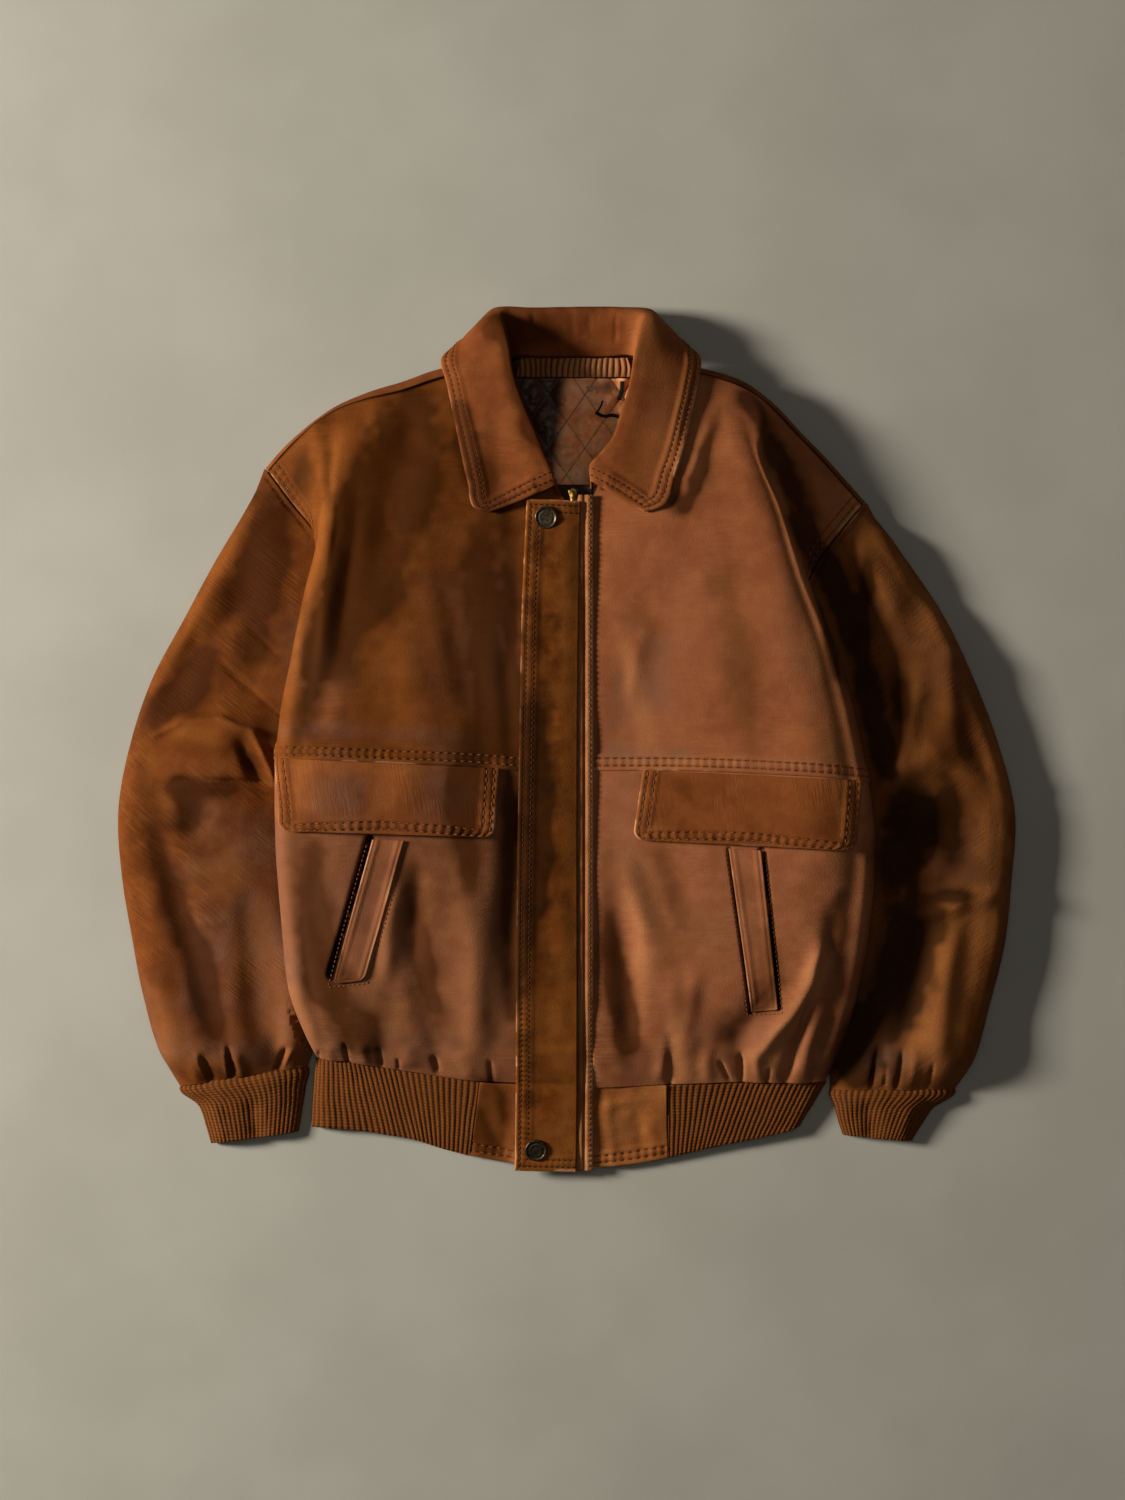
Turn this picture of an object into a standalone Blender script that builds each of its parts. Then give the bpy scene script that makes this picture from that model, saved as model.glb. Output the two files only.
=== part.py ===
"""Worn leather blouson, laid flat on its back: shells of leather, rib knit, lining, a zip and snaps.

Right and left are the wearer's. +X points to the wearer's left, +Y to the collar, +Z up from the
surface that the jacket lies on. Tables are in millimetres and the meshes are in metres.
"""
import bpy
import numpy as np
from mathutils import Vector
from mathutils.bvhtree import BVHTree

MM = 0.001
LEATHER = 1.8        # one layer of cowhide with its backing
DOUBLE = 2.6         # turned and topstitched leather
COLLAR_T = 2.2       # collar, two layers pressed flat
KNIT = 2.2           # folded rib knit
QUILT = 1.4          # quilted satin lining
TAPE = 0.9           # zip tape
SNAP_D = 18.6        # snap cap
# Columns and rows of the fronts' tables at which their meshes are cut.
FRONT_ACROSS = (0, 1, 2, 2.5, 3, 3.5, 4, 4.35, 4.7, 5, 5.4, 6, 6.5, 7)
UPPER_DOWN = (0, 0.5, 1, 1.5, 2, 2.5, 3, 4, 4.5, 5, 5.998)
LOWER_DOWN = (6.004, 7, 8, 8.6, 9.2, 9.6, 10, 10.35, 10.65, 11)
ARMPIT_ROW = 5       # the row of a front where its armhole ends and its side seam starts

# One row for each level down a front: columns are the centre edge, inner chest, collar point, mid
# chest, ridge, outermost fold, underside of the fold, and the seam (armhole above, side below).
# The first row follows the neckline and the shoulder seam.
FRONT_RIGHT = (
    ((-1, 195, 46), (-23, 240, 39), (-56, 300, 29), (-137, 286, 26), (-190, 271, 24), (-222, 247, 19),
     (-238, 231, 15), (-246, 222, 13)),
    ((-1, 170, 48.5), (-26, 185, 49), (-72, 203, 50), (-142, 219, 48), (-189, 213, 42), (-208, 206, 31),
     (-219, 202, 25), (-227, 197, 20)),
    ((-1, 138, 49), (-26, 146, 50), (-72, 158, 53), (-139, 170, 55), (-185, 175, 51), (-203, 170, 39),
     (-205, 165, 30), (-199, 162, 24)),
    ((-1, 104, 49), (-26, 109, 51), (-72, 113, 54), (-136, 119, 58), (-193, 129, 57), (-212, 124, 42),
     (-207, 121, 29), (-185, 120, 19)),
    ((-1, 65, 49), (-26, 68, 51), (-72, 71, 54), (-136, 74, 59), (-200, 77, 58), (-222, 75, 42),
     (-215, 74, 29), (-175, 76, 16)),
    ((-1, 14, 49), (-26, 16, 51), (-72, 19, 54), (-136, 21, 60), (-209, 26, 60), (-233, 23, 42),
     (-225, 21, 28), (-166, 20, 12)),
    ((-1, -25, 49), (-26, -24, 51), (-72, -20, 54), (-138, -17, 60), (-213, -14, 60), (-237, -14, 42),
     (-228, -14, 28), (-164, -14, 11)),
    ((-1, -81, 49), (-26, -81, 51), (-72, -81, 54), (-138, -81, 59), (-215, -81, 58), (-237, -82, 40),
     (-228, -82, 27), (-164, -83, 10.5)),
    ((-1, -146, 48), (-26, -146, 49), (-72, -146, 52), (-138, -146, 56), (-213, -146, 54), (-233, -147, 37),
     (-224, -148, 25), (-164, -149, 9.5)),
    ((-1, -212, 44), (-26, -212, 44), (-72, -212, 46), (-138, -211, 49), (-204, -212, 46), (-225, -213, 31),
     (-217, -214, 18), (-166, -215, 8)),
    ((-1, -255, 35), (-26, -255, 34), (-72, -253, 35), (-139, -247, 37), (-195, -244, 33), (-214, -245, 19),
     (-208, -248, 8.5), (-171, -248, 5)),
    ((-1, -284, 22.5), (-26, -283, 21), (-71, -281, 20), (-139, -272, 19), (-187, -264, 18), (-206, -263, 11),
     (-201, -264, 3.4), (-180, -264, 1.2)),
)
FRONT_LEFT = (
    ((26, 198, 44), (40, 240, 39), (66, 300, 30), (105, 301, 29), (145, 289, 29), (194, 247, 21),
     (224, 216, 16), (244, 194, 13)),
    ((26, 172, 47), (45, 187, 49), (74, 203, 51), (115, 225, 53), (155, 243, 50), (173, 237, 38),
     (191, 216, 28), (226, 173, 19)),
    ((26, 140, 48), (45, 147, 51), (79, 158, 54), (126, 174, 57), (173, 188, 55), (189, 180, 42),
     (196, 168, 31), (205, 145, 23)),
    ((26, 104, 48), (45, 109, 51), (81, 113, 54), (134, 121, 59), (187, 132, 58), (203, 125, 44),
     (201, 119, 31), (190, 110, 19)),
    ((26, 65, 48), (45, 67, 51), (82, 71, 54), (142, 76, 60), (202, 81, 59), (219, 75, 44),
     (214, 72, 30), (180, 72, 16)),
    ((26, 14, 48), (45, 16, 51), (84, 18, 54), (148, 21, 60), (216, 26, 61), (235, 20, 43),
     (229, 18, 29), (170, 18, 12)),
    ((26, -23, 48), (45, -23, 51), (84, -23, 54), (150, -25, 60), (226, -30, 60), (246, -33, 42),
     (239, -33, 28), (168, -33, 11)),
    ((26, -83, 48), (45, -83, 51), (84, -83, 54), (150, -85, 59), (231, -88, 58), (252, -88, 41),
     (245, -89, 27), (168, -89, 10.5)),
    ((26, -146, 47), (45, -146, 49), (84, -146, 52), (150, -146, 56), (226, -146, 54), (248, -147, 38),
     (240, -148, 25), (168, -149, 9.5)),
    ((26, -212, 43), (45, -212, 44), (84, -212, 46), (149, -211, 49), (216, -212, 46), (237, -213, 31),
     (230, -214, 18), (170, -215, 8)),
    ((27, -257, 34), (45, -258, 34), (83, -258, 34), (145, -258, 36), (203, -257, 33), (224, -258, 19),
     (218, -259, 8.5), (175, -260, 5)),
    ((27, -286, 22), (46, -285, 21), (83, -284, 20), (143, -282, 19), (194, -283, 18), (214, -282, 11),
     (209, -283, 3.4), (186, -283, 1.2)),
)
# Largest folds, added to the height: from x, y to x, y, half width, height.
BODY_FOLDS = (
    (-196, -238, -196, -262, 9, -5),
    (-178, -240, -170, -262, 8, 4),
    (-150, -240, -146, -264, 8, -5),
    (-104, -244, -102, -272, 9, -5),
    (95, -238, 90, -276, 9, -5),
    (135, -236, 131, -276, 8, -5),
    (186, -236, 186, -276, 9, -5),
    (95, 160, 60, 30, 22, -2.5),
    (-105, 170, -70, 40, 22, -2.5),
)
SLEEVE_FOLDS = (
    (-338, 9, -262, 12, 15, 5),
    (-270, -14, -236, -34, 16, -7),
    (-330, -36, -250, -44, 13, -4),
    (-292, -258, -288, -282, 8, -5),
    (-240, -252, -242, -274, 8, -5),
    (252, -40, 300, -12, 15, 5),
    (250, -66, 290, -58, 17, -6),
    (300, 130, 262, 60, 18, -4),
    (256, -262, 258, -286, 8, -5),
    (300, -262, 296, -288, 8, -5),
)
# Back panel over the shoulders: columns of the fronts' tables, then how far the roll stands out at
# the right and at the left.
SHOULDER_COLUMNS = ((7, 3.5, 4), (6, 3.5, 4), (5, 3.5, 4), (4.35, 3.6, 5), (4, 4, 6), (3.5, 6, 6), (3, 8, 6),
                    (2.5, 8, 5), (2, 3, 3))
SHOULDER_ROLL = ((0.0, 1.0), (1.0, 0.5), (0.75, 0.1), (-1.8, 0.0))
# The back neckline between the shoulder points: x, y, z.
BACK_NECK = ((-50, 311.5, 17), (-42, 315.5, 9.5), (-24, 315.6, 7.6), (5, 315.4, 7), (34, 315.6, 7.6),
             (53, 315.5, 10), (60, 311.5, 17))
NECK_DROP = (((0, 1.0), (2.5, 0.6), (8, 0.2), (24, 0.02)), ((0, 1.0), (4, 0.8), (12, 0.45), (27, 0.08)),
             ((0, 1.0), (6, 0.75), (16, 0.45), (30, 0.1)))
NECK_COLUMN_DROP = (0, 1, 2, 2, 2, 1, 0)
# Armholes of the back, below the shoulder: y at the sides and in the middle, right x, z, left x, z.
BACK_ARMHOLE = ((190, 262, -232, 0, 232, 0), (150, 200, -214, 0, 215, 0), (105, 130, -196, 0, 200, 0),
                (62, 70, -181, 1.5, 186, 1.5))
SIDE_ROWS = (5, 6, 7, 8, 9, 10, 11)
# Sleeves, a row for each ring from the armhole to the cuff: outer x, y, inner x, y, crown height.
SLEEVE_RIGHT = (
    (-247, 222, -165, 18, 24), (-268, 186, -167, 5, 27), (-290, 149, -169, -10, 29),
    (-317, 99, -173, -29, 30), (-343, 50, -175, -51, 31), (-360, 0, -178, -76, 33),
    (-371, -60, -183, -109, 30), (-368, -112, -189, -146, 31), (-360, -161, -196, -182, 31),
    (-349, -215, -204, -222, 32), (-334, -262, -214, -257, 30), (-320, -286.6, -220, -272.6, 14.5),
)
SLEEVE_LEFT = (
    (244, 194, 169, 17, 24), (263, 174, 172, 3, 27), (281, 149, 174, -11, 29),
    (314, 99, 178, -30, 30), (337, 50, 180, -52, 31), (356, 0, 183, -76, 32),
    (371, -62, 188, -109, 30), (368, -116, 195, -146, 31), (363, -165, 203, -182, 31),
    (350, -219, 212, -222, 32), (335, -268, 218, -265, 30), (322, -288.6, 218, -289.4, 14.5),
)
# Cross-section of a sleeve over its top: share of the width from the outer edge, height.
SLEEVE_TOP = ((0, 7), (0.03, 14), (0.1, 21), (0.22, 27), (0.4, 31), (0.56, 29.5), (0.68, 24), (0.8, 17.5),
              (0.9, 12), (0.965, 8.5), (1, 5))
SLEEVE_UNDER = ((1, 5), (0.97, 0.8), (0.85, 0), (0.62, 0), (0.4, 0), (0.2, 0), (0.06, 0), (0.015, 2.4),
                (0, 7))
SLEEVE_AROUND_TOP = 9
SLEEVE_AROUND_UNDER = 8
SLEEVE_DOWN = (0, 0.5, 1, 2, 3, 4, 5, 6, 7, 8, 9, 10, 10.5, 11)
# Cuffs: outer x, y, inner x, y, height of the top.
CUFF_RIGHT = ((-319.8, -287.3, -220.2, -273.3, 14.3), (-304, -303, -221, -290, 14.5),
              (-298, -320, -222, -308, 12),
              (-294, -334, -223, -324, 10.5))
CUFF_LEFT = ((321.8, -289.3, 218.2, -290.1, 14.3), (302, -306, 222, -303, 14.5), (293, -320, 225, -315, 12),
             (286, -332, 229, -327, 10.5))
CUFF_TOP = ((0, 4.5), (0.06, 9), (0.2, 13), (0.5, 14.5), (0.8, 13), (0.94, 9), (1, 4.5))
CUFF_UNDER = ((1, 4.5), (0.97, 1.2), (0.9, 0), (0.5, 0), (0.1, 0), (0.03, 1.2), (0, 4.5))
# Collar, a row for each station from the right front, round the back, to the left front: the neck
# seam, the crest of the roll, the middle of the fall, and its edge.
COLLAR = (
    ((-6, 200, 48), (-9, 206, 54.5), (-36, 194, 56), (-62, 184, 54)),
    ((-8, 205, 46), (-10, 211, 55.5), (-42, 198, 56.5), (-75, 188, 54)),
    ((-16, 222, 43), (-15, 224, 56), (-47, 214, 56), (-80, 208, 53)),
    ((-27, 245, 41), (-25, 248, 56), (-57, 245, 54), (-88, 244, 48)),
    ((-40, 270, 37), (-35, 270, 56), (-66, 268, 51), (-93, 268, 41)),
    ((-49, 292, 34), (-44, 296, 54), (-74, 294, 47), (-98, 291, 36)),
    ((-48, 306, 28), (-48, 320, 48), (-80, 313, 39), (-103, 311, 28)),
    ((-44, 314, 20), (-52, 339, 41), (-81, 334, 26), (-95, 320, 12)),
    ((-38, 317.5, 12.5), (-55, 352, 29), (-71, 341, 11), (-76, 316, 2.5)),
    ((-24, 316.9, 10), (-30, 355, 23), (-36, 340, 1.5), (-38, 308, 0)),
    ((5, 316.6, 9.4), (7, 355.8, 21), (6, 339, 0.5), (5, 303, 0)),
    ((34, 316.9, 10), (42, 355, 23), (48, 340, 1.5), (50, 308, 0)),
    ((52, 317.5, 12.5), (64, 351, 29), (80, 341, 11), (86, 316, 2.5)),
    ((58, 314, 20), (61, 338, 42), (89, 334, 26), (103, 320, 12)),
    ((61, 306, 29), (57, 318, 49), (88, 313, 40), (110, 311.5, 29)),
    ((60, 292, 35), (52, 290, 54), (82, 288, 48), (107, 288, 38)),
    ((52, 268, 38), (44, 262, 56), (75, 261, 54), (101, 260, 46)),
    ((42, 248, 41), (38, 245, 56), (67, 240, 55.5), (96, 238, 50)),
    ((32, 228, 44), (28, 233, 56), (58, 222, 56.5), (89, 216, 53)),
    ((22, 212, 46), (19, 222, 55.5), (50, 206, 56.5), (78, 189, 54.5)),
    ((19, 204, 48), (20, 209, 54.5), (42, 196, 56), (63, 184.5, 54.5)),
)
# The outer turn of the roll where it stands on the surface behind the neck, by station.
COLLAR_TURN = {7: (-62, 344, 37), 8: (-61, 354.6, 21), 9: (-32, 356.4, 12), 10: (7, 356.6, 11),
               11: (45, 356.4, 12),
               12: (70, 353.6, 21), 13: (70, 343, 38)}
COLLAR_ACROSS = (0, 0.6, 1, 1.4, 1.8, 2.3, 3, 4)
COLLAR_AROUND = (0, 1, 2, 3, 4, 5, 6, 6.5, 7, 7.5, 8, 8.5, 9, 10, 11, 11.5, 12, 12.5, 13, 13.5, 14, 15, 16,
                 17, 18, 19, 20)
# Storm fly over the zip: y, left x, right x, top height at its left, at its crown, at its right.
FLY = (
    (195.0, -32.3, 12.2, 54, 54.5, 51), (160, -34.0, 11.6, 55, 55.5, 52),
    (113, -36.0, 11.0, 55.5, 55.5, 52.5),
    (40, -37.6, 10.4, 56, 55.5, 52.5), (-16, -38.5, 9.6, 56, 55.5, 52.5), (-80, -39.6, 9.2, 56, 55.5, 52.5),
    (-150, -40.4, 8.8, 55, 54.5, 51.5), (-205, -41.0, 8.8, 51, 50.5, 48.5), (-240, -41.2, 8.8, 45, 44.5, 43),
    (-262, -41.4, 8.8, 37.5, 37, 36), (-284, -41.6, 8.8, 28, 28, 27.4), (-305, -41.9, 8.6, 23, 23, 22.5),
    (-330, -42.3, 8.4, 17.5, 17.5, 17), (-355.5, -42.8, 8.0, 12.5, 12.5, 12),
)
# Hem tabs: y and z at the top, then at the bottom, for each corner.
TAB_RIGHT = (((-71.4, -282.2, 20), (-26, -284.0, 21), (-1, -284.8, 22)),
             ((-75.5, -313, 13), (-34, -318, 14), (-1, -320, 15)),
             ((-80, -344, 6), (-42.6, -351, 6.5), (-1, -355, 7)))
TAB_LEFT = (((27, -286.8, 22), (46, -285.6, 21), (82.6, -284.6, 20)),
            ((27, -320, 15), (50, -317, 14), (83, -315, 13)),
            ((27, -354.6, 7), (55, -351, 6.5), (84, -346, 6)))
# Rib hem, from the right tab round the back to the left tab: top x, y, z, then bottom x, y, z.
HEM_RIB = (
    (-71.9, -283, 20, -80.4, -344, 7), (-105, -278.2, 20, -103, -338, 7.5), (-139, -273.6, 19, -125, -331, 8),
    (-166, -268.2, 19, -152, -326, 8.5), (-188, -265.6, 17.5, -184, -321.5, 9),
    (-203, -265, 13.5, -205, -320.5, 8), (-207, -265, 8, -211, -320, 4.2),
    (-200, -265.4, 2.8, -204, -319, 0.6), (-182, -265.6, 0.3, -188, -318, 0),
    (-150, -267, 0, -152, -318, 0), (-90, -270, 0, -92, -322, 0), (0, -274.7, 0, 0, -328, 0),
    (90, -279.4, 0, 90, -324, 0), (150, -282.5, 0, 148, -319, 0), (188, -284.5, 0.3, 170, -317, 0),
    (207, -284.6, 2.8, 184, -318, 0.6), (215.5, -284.2, 8, 193, -319, 4.2),
    (210, -284.4, 13.5, 189, -321.5, 8),
    (194, -284.6, 17.5, 173, -326, 9), (168, -284.6, 19, 150, -331, 8.5), (143, -284.6, 19, 125, -336, 8),
    (113, -285.4, 20, 104, -341, 7.5), (83.2, -286.2, 20, 84.6, -345.6, 7),
)
# Turned edge of the left front: y, height of its top; it carries the fly and the zip.
EDGE_STRIP = ((199, 48), (160, 50), (113, 50.5), (40, 50.5), (-16, 50.5), (-80, 50.5), (-150, 49.5),
              (-212, 45.5), (-240, 40), (-262, 32.4), (-286, 24), (-320, 17.8), (-356, 9.6))
EDGE_STRIP_X = ((13.0, -0.8), (16.6, 0.6), (19.4, -0.3), (22.6, 0.7), (26.0, -0.4))
ZIP_X = 5.2
ZIP_TOP_Y = 208
ZIP_BOTTOM_Y = -346
# Flaps and welts: corners x, y from the outer top one, clockwise.
FLAP_RIGHT = ((-234.5, -14.8), (-54.2, -23.2), (-58.4, -79.5), (-229.5, -73.5))
FLAP_LEFT = ((62.0, -24.4), (236.6, -33.0), (231.8, -89.6), (53.6, -81.0))
WELT_RIGHT = ((-157.0, -80.6), (-131.4, -81.6), (-163.6, -194.5), (-189.6, -198.6))
WELT_LEFT = ((131.0, -87.8), (157.2, -89.4), (171.6, -218.6), (150.4, -222.4))
SNAPS = ((-16.6, 180.0), (-25.2, -337.7))
LINING_ROWS = (
    (298.6, 8.6, 9.5, 8.6), (285, 6.4, 9.5, 6.6), (262, 5.4, 8.0, 5.6), (240, 5.0, 9.5, 5.2),
    (215, 5.0, 8.5, 5.2), (190, 5.0, 7.0, 5.0), (165, 4.6, 5.0, 4.6),
)
LINING_X = (-72, 5, 88)

BOXES = {}


def hermite(points, at):
    """Points on smooth curves: points (N, n, 3), at (N,) in control-point counts, to (N, 3)."""
    count = points.shape[1]
    step = np.maximum(np.linalg.norm(np.diff(points, axis=1), axis=2, keepdims=True), 1e-6)
    slope = np.diff(points, axis=1) / step
    inner = (slope[:, :-1] * step[:, 1:] + slope[:, 1:] * step[:, :-1]) / (step[:, :-1] + step[:, 1:])
    tangent = np.concatenate([slope[:, :1], inner, slope[:, -1:]], axis=1)
    index = np.clip(np.floor(at).astype(int), 0, count - 2)
    f = (at - index)[:, None]
    pick = np.arange(len(at))
    h = step[pick, index]
    a, b = points[pick, index], points[pick, index + 1]
    ta, tb = tangent[pick, index] * h, tangent[pick, index + 1] * h
    return ((2 * f**3 - 3 * f**2 + 1) * a + (f**3 - 2 * f**2 + f) * ta
            + (3 * f**2 - 2 * f**3) * b + (f**3 - f**2) * tb)


def curve(points, at):
    """One smooth curve through points, sampled at the parameters at."""
    at = np.asarray(at, float)
    return hermite(np.repeat(np.asarray(points, float)[None], len(at), axis=0), at)


def table_surface(table, u, v):
    """Smooth surface through a table of rows and columns, at equal-shaped u and v, to (..., 3)."""
    table = np.asarray(table, float)
    flat_u, flat_v = np.ravel(u).astype(float), np.ravel(v).astype(float)
    rows = table.shape[0]
    spread = np.repeat(table[None], len(flat_u), axis=0).reshape(-1, table.shape[1], 3)
    across = hermite(spread, np.repeat(flat_u, rows)).reshape(len(flat_u), rows, 3)
    return hermite(across, flat_v).reshape(np.shape(u) + (3,))


def folded(points, folds):
    """Heights with soft ridges and troughs added along the listed lines, on upward faces only."""
    out = points.copy()
    for x0, y0, x1, y1, half, height in folds:
        a, d = np.array((x0, y0), float), np.array((x1 - x0, y1 - y0), float)
        t = np.clip(((points[..., :2] - a) @ d) / (d @ d), 0, 1)
        off = np.linalg.norm(points[..., :2] - a - t[..., None] * d, axis=-1)
        out[..., 2] += height * np.exp(-(off / half) ** 2)
    return out


class Patch:
    """A smooth panel with points and outward normals at any u across and v down it."""

    def __init__(self, table, folds, side):
        """side is 1 on the wearer's right and -1 on the left, where columns run the other way."""
        self.table = np.asarray(table, float)
        self.folds = folds
        self.side = side
        self.top = self.table.shape[0] - 1
        self.wide = self.table.shape[1] - 1

    def points(self, u, v):
        """Points of the panel with its largest folds, which fade out past its outermost fold."""
        flat = table_surface(self.table, u, v)
        weight = np.clip((5.2 - np.asarray(u, float)) / 0.9, 0, 1)[..., None]
        return flat + (folded(flat, self.folds) - flat) * weight

    def normals(self, u, v):
        """Outward unit normals at any u and v."""
        e = 0.02
        u0, u1 = np.clip(u - e, 0, self.wide), np.clip(u + e, 0, self.wide)
        v0, v1 = np.clip(v - e, 0, self.top), np.clip(v + e, 0, self.top)
        du = self.points(u1, v) - self.points(u0, v)
        dv = self.points(u, v1) - self.points(u, v0)
        n = np.cross(du, dv) * self.side
        return n / np.linalg.norm(n, axis=-1, keepdims=True)

    def find(self, x, y):
        """u and v of the upper surface over x, y."""
        x, y = np.asarray(x, float), np.asarray(y, float)
        gu, gv = np.meshgrid(np.linspace(0, 5, 41), np.linspace(0, self.top, 67))
        seed = self.points(gu, gv)
        far_x = seed[..., 0].ravel()[None] - x.ravel()[:, None]
        far_y = seed[..., 1].ravel()[None] - y.ravel()[:, None]
        away = far_x**2 + far_y**2
        best = away.argmin(axis=1)
        u, v = gu.ravel()[best], gv.ravel()[best]
        for _ in range(8):
            p = self.points(u, v)
            e = 0.01
            pu = (self.points(u + e, v) - p) / e
            pv = (self.points(u, v + e) - p) / e
            det = pu[:, 0] * pv[:, 1] - pu[:, 1] * pv[:, 0]
            det = np.where(np.abs(det) < 1e-3, 1e-3, det)
            rx, ry = x.ravel() - p[:, 0], y.ravel() - p[:, 1]
            u = np.clip(u + np.clip((rx * pv[:, 1] - ry * pv[:, 0]) / det, -0.3, 0.3), 0, 5.1)
            v = np.clip(v + np.clip((ry * pu[:, 0] - rx * pu[:, 1]) / det, -0.3, 0.3), 0, self.top - 0.02)
        return u.reshape(x.shape), v.reshape(x.shape)


def grid_normals(points, wrap=False):
    """Unit normals of a grid of points, by central differences."""
    if wrap:
        ring = np.concatenate([points[:, -1:], points, points[:, :1]], axis=1)
        du = ring[:, 2:] - ring[:, :-2]
    else:
        du = np.gradient(points, axis=1)
    dv = np.gradient(points, axis=0)
    n = np.cross(du, dv)
    return n / np.maximum(np.linalg.norm(n, axis=-1, keepdims=True), 1e-9)


def finish(name, verts, faces, color, rough, metal=0.0):
    """A named object with its own material, built from millimetre points."""
    mesh = bpy.data.meshes.new(name)
    mesh.from_pydata([tuple(float(c) * MM for c in v) for v in verts], [],
                     [tuple(int(i) for i in f) for f in faces])
    mesh.update()
    mat = bpy.data.materials.new(name)
    mat.use_nodes = True
    shader = mat.node_tree.nodes["Principled BSDF"]
    shader.inputs["Base Color"].default_value = (*color, 1.0)
    shader.inputs["Roughness"].default_value = rough
    shader.inputs["Metallic"].default_value = metal
    mesh.materials.append(mat)
    obj = bpy.data.objects.new(name, mesh)
    bpy.context.collection.objects.link(obj)
    BOXES[name] = obj
    return obj


def wall(name, outer, inner, color, rough, wrap=False):
    """A closed shell between two equal grids; wrap joins the last column to the first."""
    rows, cols = outer.shape[:2]
    size = rows * cols
    verts = np.concatenate([outer.reshape(-1, 3), inner.reshape(-1, 3)])
    faces = []
    span = cols if wrap else cols - 1

    def quad(a, b, c, d):
        """Two triangles of a four-sided face."""
        faces.append((a, b, c))
        faces.append((a, c, d))

    for i in range(rows - 1):
        for j in range(span):
            k = (j + 1) % cols
            a, b, c, d = i * cols + j, i * cols + k, (i + 1) * cols + k, (i + 1) * cols + j
            quad(a, b, c, d)
            quad(size + d, size + c, size + b, size + a)
    for j in range(span):
        k = (j + 1) % cols
        last = (rows - 1) * cols
        quad(size + j, size + k, k, j)
        quad(last + j, last + k, size + last + k, size + last + j)
    if not wrap:
        for i in range(rows - 1):
            a, b = i * cols, (i + 1) * cols
            quad(a, b, size + b, size + a)
            a, b = a + cols - 1, b + cols - 1
            quad(b, a, size + a, size + b)
    mesh_outer = np.asarray(faces)
    if signed_volume(verts, mesh_outer) < 0:
        mesh_outer = mesh_outer[:, ::-1]
    return finish(name, verts, mesh_outer, color, rough)


def signed_volume(verts, faces):
    """Six times the volume inside the faces: positive where they point out."""
    a, b, c = verts[faces[:, 0]], verts[faces[:, 1]], verts[faces[:, 2]]
    return float(np.einsum("ij,ij->i", a, np.cross(b, c)).sum()) / 6


def grid(us, vs):
    """Two grids of the parameters us, along the columns, and vs, down the rows."""
    return np.meshgrid(np.asarray(us, float), np.asarray(vs, float))


def make_front(patch, name, vs, color):
    """One piece of a front between two rows of its table."""
    u, v = grid(FRONT_ACROSS, vs)
    outer = patch.points(u, v)
    n = patch.normals(u, v)
    if vs[0] == 0:
        shoulder = np.asarray(FRONT_ACROSS)[:, None] >= 2
        along = np.gradient(outer[0, :, :2], axis=0)
        out = np.stack([-along[:, 1], along[:, 0], np.zeros(len(along))], axis=1) * -patch.side
        n[0] = np.where(shoulder, n[0] + out / np.linalg.norm(out, axis=1, keepdims=True) * 0.5, n[0])
        n[0] /= np.linalg.norm(n[0], axis=-1, keepdims=True)
    inner = outer - n * LEATHER
    return wall(name, outer, inner, color, 0.6)


def on_patch(patch, corners, nu, nv, lift, thick, name, color):
    """A piece laid on a panel between four corners: made from the panel's points, moved out."""
    tl, tr, br, bl = [np.asarray(c, float) for c in corners]
    s, t = grid(np.linspace(0, 1, nu), np.linspace(0, 1, nv))
    s, t = s[..., None], t[..., None]
    xy = (tl * (1 - s) + tr * s) * (1 - t) + (bl * (1 - s) + br * s) * t
    u, v = patch.find(xy[..., 0], xy[..., 1])
    base, n = patch.points(u, v), patch.normals(u, v)
    inner = base + n * lift
    raised = lifted_over(inner, ("front_lower_right", "front_lower_left"), 0.6) - inner
    inner = inner + raised
    outer = inner + n * thick
    return wall(name, outer, inner, color, 0.6)


def shoulder_edge(patch):
    """The shoulder seam of a front, as the back's columns meet it, and the roll beyond it."""
    columns = np.asarray(SHOULDER_COLUMNS, float)
    u, width = columns[:, 0], columns[:, 1 if patch.side > 0 else 2][:, None]
    seam = patch.points(u, np.zeros(len(u)))
    along = np.gradient(seam[:, :2], axis=0)
    out = np.stack([-along[:, 1], along[:, 0]], axis=1) * patch.side
    out /= np.linalg.norm(out, axis=1, keepdims=True)
    rows = []
    for share, height in SHOULDER_ROLL:
        plan = seam[:, :2] + out * (width * share + 0.5)
        rows.append(np.concatenate([plan, seam[:, 2:] * height], axis=1))
    return rows


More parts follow.
